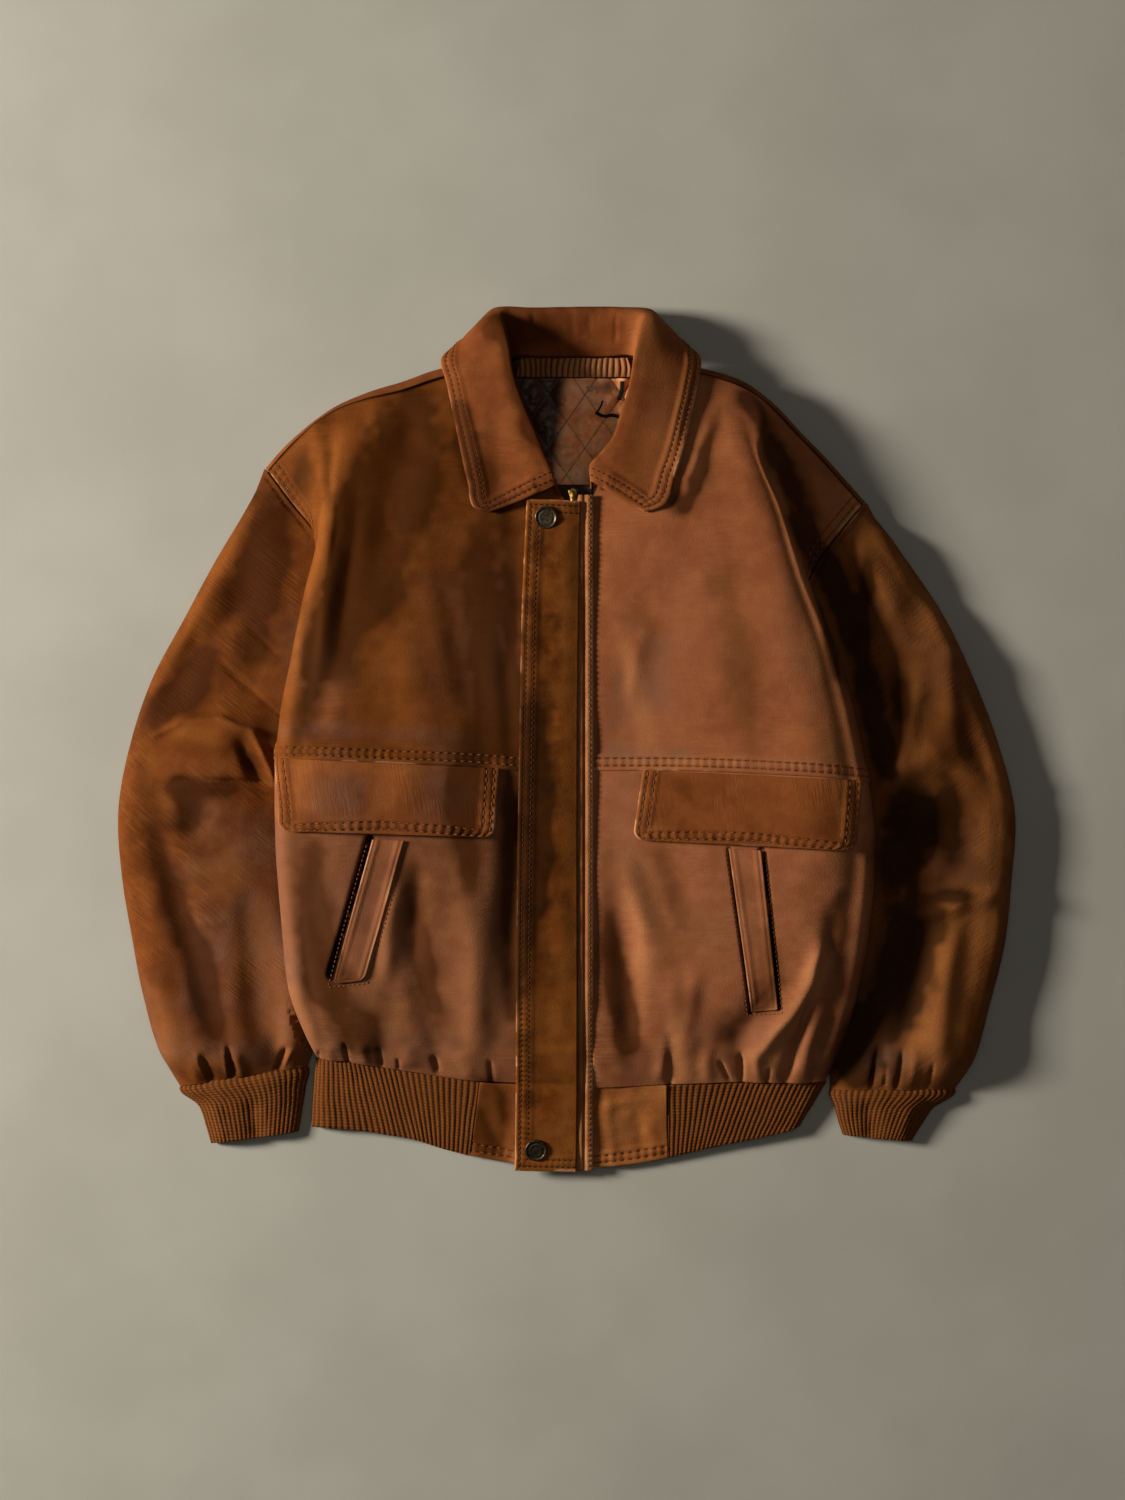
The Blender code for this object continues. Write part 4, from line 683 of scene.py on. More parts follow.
STITCH_FORM = np.array([(-0.5, 0.0, -0.5), (-0.42, 0.75, -0.05), (-0.15, 1.0, 0.35), (0.15, 1.0, 0.35),
                        (0.42, 0.75, -0.05), (0.5, 0.0, -0.5)])


def at_length(values: np.ndarray, run: np.ndarray, places: np.ndarray) -> np.ndarray:
    """Values of three parts, known at the lengths run, at other lengths."""
    return np.stack([np.interp(places, run, values[:, k]) for k in range(3)], axis=1)


def sewn(name: str, lines: list, pitch: float, finish: object, thick: float = 0.9,
         share: float = 0.62) -> bpy.types.Object:
    """Separate stitches along lines: each a short bead of thread that rises between its two holes.

    Args: lines is a list of (points, normals) pairs, in mm; share is the stitch's part of its pitch.
    Returns: the stitches, or None where no line is long enough for one.
    """
    centres, along, up = [], [], []
    for points, n in lines:
        run = lengths(points)
        if run[-1] < pitch:
            continue
        places = np.arange(pitch / 2, run[-1] - pitch / 4, pitch)
        centres.append(at_length(points, run, places))
        along.append(at_length(points, run, np.minimum(places + 0.8, run[-1]))
                     - at_length(points, run, np.maximum(places - 0.8, 0)))
        up.append(at_length(n, run, places))
    if not centres:
        return None
    c, t, n = np.concatenate(centres), unit(np.concatenate(along)), np.concatenate(up)
    n = unit(n - t * (n * t).sum(axis=1, keepdims=True))
    b = np.cross(n, t)
    angles = np.arange(6) * np.pi / 3
    ring = STITCH_FORM[1:-1]
    long = pitch * share
    x = np.concatenate([[STITCH_FORM[0, 0]], np.repeat(ring[:, 0], 6), [STITCH_FORM[-1, 0]]]) * long
    r = np.repeat(ring[:, 1], 6) * thick / 2
    y = np.concatenate([[0], r * np.tile(np.cos(angles), len(ring)), [0]])
    z = r * np.tile(np.sin(angles), len(ring)) * 0.8 + np.repeat(ring[:, 2], 6) * 0.6
    z = np.concatenate([[STITCH_FORM[0, 2]], z, [STITCH_FORM[-1, 2]]])
    verts = (c[:, None] + x[None, :, None] * t[:, None] + y[None, :, None] * b[:, None]
             + (z[None, :, None] + 0.1) * n[:, None])
    last = 1 + 6 * len(ring)
    k, m = np.arange(6), (np.arange(6) + 1) % 6
    quads = np.concatenate([np.stack([1 + 6 * i + k, 1 + 6 * i + m, 7 + 6 * i + m, 7 + 6 * i + k], axis=1)
                            for i in range(len(ring) - 1)])
    ends = np.concatenate([np.stack([0 * k, 1 + m, 1 + k], axis=1),
                           np.stack([0 * k + last, last - 6 + k, last - 6 + m], axis=1)])
    shift = (np.arange(len(c)) * (last + 1))[:, None, None]
    return put_mesh(name, verts.reshape(-1, 3), [(quads[None] + shift).reshape(-1, 4),
                                                  (ends[None] + shift).reshape(-1, 3)], finish)


def row_line(points: np.ndarray, n: np.ndarray, trims: tuple, fields: list, which: int, row: float) -> tuple:
    """The line on a grid that lies row mm in from one of its trimmed edges.

    In each grid line the two points either side of that depth are blended, and places that are
    nearer to another trimmed edge than to this one are left out.

    Args: n are the grid's normals; fields is each trim's run and depth; which is the trim meant.
    Returns: the line's points and their normals.
    """
    trim = trims[which]
    run, depth = fields[which]
    flip = trim.side in (Side.BOTTOM, Side.LAST)
    parts = [points, n, depth[..., None], run[..., None]] + [f[1][..., None] for f in fields]
    block = np.concatenate(parts, axis=-1)
    if trim.side in (Side.FIRST, Side.LAST):
        block = block.transpose(1, 0, 2)
    if flip:
        block = block[::-1]
    d = block[..., 6]
    i = np.clip((d < row).sum(axis=0), 1, len(d) - 1)
    j = np.arange(d.shape[1])
    a, b = block[i - 1, j], block[i, j]
    f = ((row - a[:, 6]) / np.maximum(b[:, 6] - a[:, 6], 1e-6)).clip(0, 1)[:, None]
    line = a + (b - a) * f
    share = line[:, 7] / max(run.max(), 1e-6)
    keep = (share >= trim.span[0]) & (share <= trim.span[1]) & (d[-1] > row + 1)
    for k in range(len(fields)):
        if k != which:
            keep &= line[:, 8 + k] > min(row, trims[k].rows()[-1]) - 0.5
    line = line[keep]
    return line[:, :3], line[:, 3:6]


def stitched(name: str, node: str, walls: tuple, n: np.ndarray, edge: tuple, trims: tuple, finish: object,
             tone: np.ndarray,
             thread: object = None) -> bpy.types.Object:
    """A piece of leather with its stitches, in the place of its node.

    Args: walls is its outer and inner grid, and n their normals; edge is what trimmed() gave for
    its trims; thread is the finish of its stitches.
    Returns: the piece.
    """
    outer, inner = walls
    obj = cloth(name, outer, inner, finish, node, tone, edge[1])
    lines = [row_line(outer, n, trims, edge[3], k, row)
             for k, trim in enumerate(trims) if trim.thread for row in trim.rows()]
    pitch = trims[0].pitch if trims else PITCH
    beads = sewn(name.replace("_skin", "") + "_stitches", lines, pitch, thread or THREAD)
    return obj


# ---------------------------------------------------------------- creases, wear, and painted light and shade

# Creases, each x, y from, x, y to, half width, height, sharpness.
CREASES_RIGHT = (
    (-194, 240, -232, 60, 10, 3, 2), (-183, 236, -202, 70, 7, 3.2, 1.8), (-168, 200, -186, 76, 10, -3.5, 1.8),
    (-122, 268, -132, 232, 16, -3.5, 2), (-130, 240, -150, 150, 20, -4.5, 2),
    (-152, 158, -182, 66, 19, -4, 2), (-186, 70, -204, 10, 12, -2.5, 2), (-96, 250, -112, 120, 22, 2, 2),
    (-90, 112, -62, -20, 14, -2.5, 2), (-122, 70, -104, -10, 16, 1.6, 2), (-47, 80, -44, -20, 8, -2, 2),
    (-219, -100, -212, -210, 11, 2, 2), (-204, -96, -199, -160, 13, -2.5, 2),
    (-199, -156, -172, -234, 14, -3, 2), (-119, -108, -127, -184, 9, -4, 1.8),
    (-120, -190, -106, -250, 9, -3, 2), (-78, -120, -76, -256, 13, 3.5, 2), (-42, -50, -42, -196, 12, -7, 2),
    (-44, -190, -50, -244, 9, -1, 2), (-140, -120, -147, -190, 8, 3, 2),
    (-204, -256, -206, -268, 1.6, -2.6, 1.4), (-182, -250, -179, -268, 1.7, -3.2, 1.4),
    (-154, -254, -152, -268, 1.9, -3, 1.4), (-109, -260, -106, -274, 2, -2.6, 1.4),
    (-63, -264, -61, -284, 1.8, -2, 1.4), (-192, -250, -193, -266, 5, 1.2, 2),
    (-166, -248, -165, -266, 5, 1.4, 2), (-130, -250, -128, -268, 8, 1.4, 2),
    (-84, -254, -82, -278, 8, 1.2, 2), (-139, -262, -138, -272, 1.4, -1.6, 1.4),
)
CREASES_LEFT = (
    (152, 284, 190, 190, 9, 2, 2), (120, 250, 150, 130, 22, -2, 2), (84, 180, 92, 60, 20, 2, 2),
    (66, 90, 50, 24, 9, 1.8, 1.8), (52, 60, 40, 4, 9, -1.5, 1.8), (42, -96, 68, -176, 12, 3, 2),
    (45, -140, 52, -244, 11, -5, 2), (62, -86, 92, -160, 14, -2.5, 2), (100, -190, 92, -256, 11, 2.5, 2),
    (209, -166, 191, -212, 8, 6, 1.8), (191, -212, 155, -258, 8, 6, 1.8), (166, -196, 138, -240, 13, -3.5, 2),
    (197, -212, 180, -282, 3.6, -5, 1.5), (208, -220, 192, -276, 7, 2.5, 2), (215, -138, 212, -194, 8, -3, 2),
    (84, -258, 86, -286, 1.8, -3.4, 1.4), (76, -240, 79, -278, 6, 1.6, 2), (98, -246, 100, -280, 7, 1.4, 2),
    (143, -258, 145, -282, 1.8, -3.4, 1.4), (126, -264, 134, -280, 1.5, -2.2, 1.4),
    (116, -250, 118, -280, 6, 1.4, 2), (156, -256, 158, -282, 5, 1.6, 2),
    (166, -270, 165, -284, 1.5, -1.8, 1.4), (203, -264, 201, -282, 1.6, -2, 1.4),
)
CREASES_SLEEVE_RIGHT = (
    (-254, 166, -292, 92, 17, -5, 2), (-292, 94, -326, 32, 15, -5.5, 2), (-300, 130, -352, 34, 11, 2, 2),
    (-262, 120, -246, 20, 16, -2.5, 2), (-338, 4, -312, 15, 2.8, 3, 1.4), (-314, 15, -280, 16, 2.8, 3.2, 1.4),
    (-282, 16, -250, 6, 2.8, 3.6, 1.4), (-322, 6, -272, 0, 13, 3.5, 2), (-267, -3, -251, -33, 5.5, -5, 1.9),
    (-262, -20, -244, -36, 8, -2.5, 2), (-258, 7, -248, -14, 2.8, 4, 1.6),
    (-248, -12, -238, -38, 2.8, 3.6, 1.6), (-322, -34, -244, -35, 1.7, -3.2, 1.3),
    (-309, -44, -305, -78, 12, -4, 2), (-360, -69, -302, -90, 2, -1.5, 1.4),
    (-302, -90, -242, -103, 2, -1.4, 1.4), (-362, -104, -302, -124, 2, -1.2, 1.4),
    (-350, -78, -300, -98, 2.4, 1, 1.6), (-280, 60, -236, 22, 1.8, -1.4, 1.4),
    (-264, 96, -234, 66, 1.8, -1, 1.4), (-292, 76, -262, 40, 2, -0.9, 1.4),
    (-336, -76, -318, -142, 12, -4, 2), (-318, -138, -284, -244, 13, -6, 2),
    (-345, -176, -318, -264, 12, 4, 2), (-230, -140, -228, -262, 14, 4, 2),
    (-262, -130, -258, -240, 12, -3, 2), (-299, -262, -292, -284, 2.6, -4.5, 1.3),
    (-277, -254, -275, -284, 2.8, -5, 1.3), (-231, -254, -239, -276, 2.6, -4.5, 1.3),
    (-303, -258, -297, -280, 1.8, 1.6, 1.5), (-280.5, -252, -279, -278, 1.8, 2, 1.5),
    (-227, -254, -233, -270, 1.8, 1.6, 1.5), (-270, -256, -268, -282, 5, 1.6, 2),
    (-308, -262, -304, -284, 5, 1.4, 2),
)
CREASES_SLEEVE_LEFT = (
    (240, 156, 272, 90, 13, 4, 2), (272, 92, 288, 40, 12, 4, 2), (288, 42, 280, -4, 11, 4, 2),
    (280, -2, 262, -44, 10, 4.5, 1.8), (316, 70, 314, 12, 10, 3.5, 1.8), (232, 150, 262, 10, 14, -5, 2),
    (262, -58, 292, -98, 18, -7, 2), (356, -126, 320, -134, 8, 4, 1.8), (322, -134, 281, -147, 8, 4, 1.8),
    (295, -140, 270, -244, 15, -8.5, 2), (318, -62, 361, -72, 1.8, -1.3, 1.4),
    (322, -70, 360, -80, 1.8, -1, 1.4), (330, 10, 352, -44, 11, -2.5, 2), (318, -24, 362, -36, 6, 1.8, 1.6),
    (317, -160, 300, -268, 11, 5.5, 2), (340, -120, 330, -240, 16, -2, 2),
    (255, -254, 252, -286, 2, -3.6, 1.4), (275, -256, 272, -288, 2, -3.4, 1.4),
    (263, -266, 262, -286, 1.5, -2.2, 1.4), (300, -266, 298, -288, 1.5, -2, 1.4),
    (264, -250, 262, -280, 4.5, 1.6, 2), (286, -254, 283, -284, 5, 1.4, 2),
)
# Creases of the collar: four short ones across the stand inside the neck, then soft dents of the falls.
COLLAR_CREASES = (
    (-28, 350, -27, 328, 1.5, -1.3, 1.5), (4, 350, 5.5, 332, 1.4, -1.1, 1.5),
    (19, 350, 19.5, 334, 1.3, -0.9, 1.5), (41, 350, 40, 328, 1.5, -1.2, 1.5),
    (-66, 318, -56, 236, 12, -1.4, 2), (-84, 300, -72, 214, 6, 0.9, 2), (72, 316, 62, 236, 13, -1.2, 2),
    (100, 300, 88, 226, 6, 0.8, 2), (-30, 208, -60, 214, 9, -0.8, 2),
)
FLY_CREASES = (
    (-34, 178, 8, 176, 4, -0.7, 1.8), (-36, 60, 6, 56, 7, 0.6, 1.8), (-38, -60, 8, -66, 6, -0.6, 1.8),
    (-40, -180, 6, -190, 8, 0.7, 1.8), (-40, -246, 6, -250, 5, -1, 1.7), (-40, -282, 8, -284, 4, -1.2, 1.7),
)
# Across the edge strip: x, height from its middle; its left side goes under the fly.
STRIP_SHOWN = ((6.4, -4.2), (8.4, -2.4), (10.6, 0.2), (12.8, 0.4), (15, -0.3), (18.2, 0.8), (21.8, -0.2))
STRIP_CREASES = (
    (14.2, 190, 14.6, -290, 0.8, -1.5, 1.6), (14.6, -250, 14.2, -350, 0.8, -1.5, 1.6),
    (17.6, 180, 17.4, -300, 1.8, 0.6, 2),
)
TAB_CREASES_RIGHT = ((-70, -300, -46, -350, 6, -1.4, 1.8), (-60, -286, -54, -326, 5, 1.2, 1.8))
TAB_CREASES_LEFT = (
    (30, -300, 60, -296, 5, 1, 1.8), (60, -300, 66, -346, 7, -1.2, 1.8), (32, -292, 40, -350, 5, 1, 1.8),
)
CUFF_DENTS_RIGHT = ((-262, -300, -258, -330, 9, -3, 1.8), (-290, -300, -284, -330, 6, 1.5, 1.8))
CUFF_DENTS_LEFT = (
    (246, -302, 250, -330, 8, -3.5, 1.7), (282, -304, 276, -330, 7, 1.5, 1.8),
    (300, -296, 292, -318, 6, -2, 1.8),
)
# Slits of the welt pockets: x, y from, x, y to, half width, depth.
SLITS_RIGHT = ((-158.6, -80, -190.6, -190, 2.7, 5.0),)
SLITS_LEFT = ((157.6, -89, 172.2, -218, 1.9, 3.4), (131.2, -88, 150.0, -222, 1.4, 2.4))


@dataclass(frozen=True)
class Patch:
    """A soft oval of a painted value, such as wear, painted highlight, painted sheen or painted shade: its
    middle, its two radii, how much, and its turn.
    """
    x: float
    y: float
    rx: float
    ry: float
    amount: float
    turn: float = 0.0


def patched(p: np.ndarray, patches: tuple, seed: int) -> np.ndarray:
    """Sum of soft ovals, amount x exp(-r^2.6), with r bent by noise so that no edge is even.

    Args: p is (..., 3), and seed picks the pattern of the noise.
    Returns: one value for each point.
    """
    total = np.zeros(p.shape[:-1])
    bend = noise(p, 22.0, seed) * 0.32 + noise(p, 8.0, seed + 1) * 0.16
    for c in patches:
        a = np.radians(c.turn)
        dx, dy = p[..., 0] - c.x, p[..., 1] - c.y
        u, v = (dx * np.cos(a) + dy * np.sin(a)) / c.rx, (dy * np.cos(a) - dx * np.sin(a)) / c.ry
        total += c.amount * np.exp(-np.maximum(np.hypot(u, v) + bend, 0) ** 2.6)
    return total


# Painted grey sky sheen on worn, smoothed places of the leather.
SHEEN_ON_WEAR_PATCHES = tuple(Patch(*row) for row in (
    (-186, -46, 22, 26, 0.8), (-96, -42, 24, 26, 0.8), (-196, 8, 40, 7, 0.5), (-110, 4, 46, 7, 0.4),
    (66, -12, 42, 7, 0.7), (186, -20, 46, 7, 0.5), (90, 110, 30, 60, 0.2, 20), (190, 80, 26, 60, 0.35, 15),
    (-58, 70, 24, 80, 0.45), (-98, 80, 34, 70, 0.25), (62, 40, 32, 46, 0.7), (-300, -256, 30, 14, 0.8),
    (-200, 60, 30, 40, 0.4, 20), (-60, -180, 26, 60, 0.3), (-160, -150, 30, 60, 0.4), (40, -80, 20, 60, 0.4),
    (120, -150, 34, 40, 0.25), (-250, -90, 28, 24, 0.5), (-262, -170, 60, 60, 0.6), (-230, -260, 40, 20, 0.5),
    (-330, -230, 26, 30, 0.35), (330, -100, 36, 40, 0.35), (270, -200, 40, 50, 0.4), (264, -264, 40, 16, 0.8),
    (-236, -210, 22, 44, 0.6), (150, -240, 60, 18, 0.4), (-150, -250, 70, 14, 0.45),
    (300, 80, 30, 50, 0.3, 30), (-300, -60, 30, 40, 0.25), (80, 260, 16, 30, 0.3),
))
# Painted shade: dark in creases and hollows, on slopes turned from the key, and where cast shadows fall, as
# from the body onto the sleeves and from the collar onto the chest.
PAINTED_SHADE_PATCHES = tuple(Patch(*row) for row in (
    (-132, 250, 22, 40, 1, -28), (-126, 196, 22, 54, 1, -12), (-166, 190, 18, 58, 1.3, -14),
    (-192, 92, 17, 62, 1.2, -16), (-160, 110, 24, 50, 0.9, -22), (-167, 150, 9, 44, 1, -12),
    (-207, 28, 10, 30, 0.4, -5), (-68, -4, 20, 50, 0.8, -18), (-70, 112, 18, 60, 0.9), (-64, 62, 11, 50, 0.7),
    (-46, 120, 8, 50, 0.6), (-44, 44, 8, 36, 0.8), (-42, -115, 10, 90, 1.6), (-46, -200, 6, 30, 0.3),
    (-250, 136, 20, 62, 1.5, -6), (-278, 112, 12, 46, 0.5, -28), (-314, 42, 18, 40, 1.3, -46),
    (-300, -39, 30, 9, 1), (-310, -60, 12, 24, 0.9), (-340, -60, 10, 50, 0.4, 12),
    (-320, -136, 12, 46, 1, 16), (-294, -208, 13, 50, 1.2, 13), (-215, 220, 8, 22, 0.5),
    (-261, -17, 6, 14, 0.7, 32), (-204, -130, 17, 66, 0.8, 6), (-192, -200, 18, 44, 1.1, 23),
    (-168, -240, 16, 26, 0.7, 30), (-123, -134, 10, 40, 0.6, 5), (-112, -200, 10, 40, 1, 12),
    (86, -125, 9, 34, 0.5, 16), (-86, -55, 12, 36, 0.7), (-26, -40, 15, 84, 1.3), (-28, -80, 12, 50, 1.2),
    (-78, -106, 9, 28, 0.8), (-24, 120, 8, 50, 0.25), (-22, -200, 10, 40, 0.3), (-64, -312, 16, 34, 1.2),
    (138, 70, 18, 70, 0.3, 12), (156, 266, 8, 22, 1.2, 30), (182, 212, 11, 44, 1.1, 27),
    (202, 158, 11, 34, 1.6, 36), (228, 112, 12, 34, 1.4, 22), (246, 130, 8, 26, 0.9),
    (212, 80, 6, 40, 0.8, 14), (254, 12, 10, 56, 1.5, 12), (274, 34, 9, 26, 0.8), (236, 80, 12, 40, 0.5, 20),
    (292, -68, 24, 26, 0.95), (314, -64, 12, 34, 1), (268, -100, 18, 30, 0.8), (279, -178, 19, 56, 1.6, -10),
    (302, -152, 12, 14, 1), (262, -222, 20, 46, 1.2, -23), (238, -258, 20, 26, 1), (318, -127, 18, 6, 0.8),
    (326, -6, 10, 26, 0.8, 10), (44, -210, 9, 50, 1.7, 9), (54, -246, 8, 16, 1, 30), (34, -150, 9, 70, 0.4),
    (222, -150, 9, 40, 0.7), (128, -240, 12, 20, 0.7, -40), (160, -212, 8, 22, 0.9, -40),
    (92, -214, 8, 26, 0.5), (166, -176, 8, 26, 0.5), (-80, 236, 9, 40, 0.9, 12), (-66, 300, 26, 50, 0.25),
    (108, 218, 6, 34, 1.4, -17), (-62, 214, 12, 34, 0.7, 10), (-40, 288, 8, 40, 1, 14),
    (-24, 250, 7, 40, 1, 26), (-50, 335, 16, 16, 0.95), (-18, 340, 30, 12, 0.5), (91, 190, 9, 11, 0.6),
))
# Painted highlights on the lit faces of fold ridges and edges, together with places rubbed pale.
RUBBED_AND_LIT_PATCHES = tuple(Patch(*row) for row in (
    (56, 40, 9, 50, 0.7, 14), (140, 80, 40, 60, 0.2), (-206, 130, 7, 90, 0.5, -14),
    (-190, 190, 8, 60, 1.1, -8), (-205, 96, 8, 50, 1.1, -12), (-154, 262, 12, 12, 0.9),
    (-262, 180, 8, 52, 0.55, -31), (-256, 58, 9, 26, 0.9, -8), (-308, 96, 8, 52, 0.6, -28),
    (-222, -40, 6, 50, 0.4), (-292, 4, 30, 8, 0.6, 4), (-282, 2, 14, 10, 0.8), (-244, -16, 5, 22, 1, 28),
    (-244, -6, 10, 5, 0.4, -20), (-228, -232, 20, 40, 1.2), (-250, -172, 16, 60, 0.5),
    (-274, -112, 26, 22, 0.4), (-213, -246, 7, 16, 1.2), (-268, -184, 8, 44, 0.8, 4),
    (-205, -248, 10, 12, 0.4), (-325, -244, 13, 36, 0.7, 10), (-150, -172, 9, 44, 1, -14),
    (-140, -230, 12, 24, 0.5), (-72, -180, 10, 64, 0.7), (-57, -212, 6, 34, 1), (-148, -44, 10, 14, 0.9),
    (-78, -240, 12, 26, 0.6), (-60, -62, 6, 16, 0.6), (-104, 80, 8, 44, 0.4, 12), (-150, -22, 40, 8, 0.5),
    (205, 80, 7, 60, 0.7, 11), (166, 222, 7, 44, 0.7, 14), (185, 140, 7, 60, 0.6, 13),
    (204, 56, 7, 60, 0.6, 12), (225, -40, 10, 60, 1.2, 2), (220, -112, 7, 50, 0.5, -4),
    (60, -125, 12, 44, 1.1, 10), (-334, -40, 14, 20, 0.8), (62, -190, 8, 30, 0.4), (88, -240, 8, 24, 0.7),
    (201, -192, 9, 24, 1, -22), (176, -236, 9, 26, 1, -38), (180, -270, 12, 10, 0.6), (122, -262, 8, 10, 0.5),
    (282, 118, 16, 46, 1, 37), (224, 194, 11, 36, 1.3, 38), (274, 122, 14, 36, 1.2, 30),
    (288, 20, 8, 44, 0.9), (268, -22, 8, 20, 0.7), (352, -50, 14, 60, 0.9), (334, -150, 20, 52, 0.9, -20),
    (310, -210, 18, 50, 1, -10), (300, -212, 8, 34, 1.2, 6), (314, -200, 9, 34, 1.2, 8),
    (298, -46, 10, 14, 0.9), (283, -128, 8, 10, 1.2), (296, -256, 12, 30, 0.9), (0, -326, 14, 24, 0.8),
    (0, -346, 44, 9, 1), (2, 90, 6, 110, 0.7), (2, -60, 5, 60, 0.5), (2, -220, 12, 70, 0.9),
    (9, 20, 2.5, 170, 0.7), (6, -20, 3, 210, 1), (20, -20, 3, 210, 0.9), (18, -276, 8, 14, 1.2),
    (66, 318, 15, 26, 1.2), (86, 262, 8, 30, 0.9), (104, 262, 9, 46, 0.9), (100, -290, 34, 7, 1),
    (72, 226, 18, 30, 0.5), (52, -315, 26, 30, 0.8), (-150, 60, 26, 50, 0.3), (-300, 12, 50, 8, 0.3),
    (-70, -262, 40, 12, 0.7), (-150, -258, 30, 8, 0.4), (100, -272, 40, 12, 0.8), (160, -262, 26, 14, 0.8),
    (-302, -262, 18, 12, 0.9), (-258, -264, 12, 10, 0.8), (292, -262, 12, 16, 1.2), (-20, -235, 14, 40, 0.6),
    (130, -18, 90, 6, 0.5), (70, -12, 30, 12, 0.4),
))


def tones(p: np.ndarray, rim: np.ndarray, seed: int, worn: float = 1.0,
          extra_deep: object = 0.0) -> np.ndarray:
    """Painted values at each point: rubbed wear with painted highlights, painted grey sheen, and painted shade.

    Edges are scuffed within about 2 mm of the rim, in broken lengths; the rest comes from the
    listed ovals.

    Args: rim is each point's distance from an edge; worn is how scuffed the edges are; extra_deep
    is added to the dark third part, which is mostly painted shade.
    Returns: (..., 3).
    """
    broken = smooth(noise(p, 14.0, seed + 5) + 0.5 * noise(p, 4.0, seed + 6), -0.55, 0.5)
    edge = np.exp(-(rim / 1.9) ** 2) * (0.35 + 0.65 * broken) * worn
    # First part: edges rubbed pale, plus painted highlights on lit ridges; second: painted grey sky sheen on
    # worn places; third: painted shade in creases, hollows and cast shadows.
    wear_and_highlight = np.clip(np.minimum(patched(p, RUBBED_AND_LIT_PATCHES, seed) * 1.1, 0.68) + edge, 0, 1)
    sheen_on_wear = np.clip(patched(p, SHEEN_ON_WEAR_PATCHES, seed + 11), 0, 1)
    deep = np.clip(patched(p, PAINTED_SHADE_PATCHES, seed + 23) * 1.4, 0, 0.92)
    return np.stack([wear_and_highlight, sheen_on_wear, np.clip(deep + extra_deep, 0, 1.5)], axis=-1)


# ---------------------------------------------------------------- the body

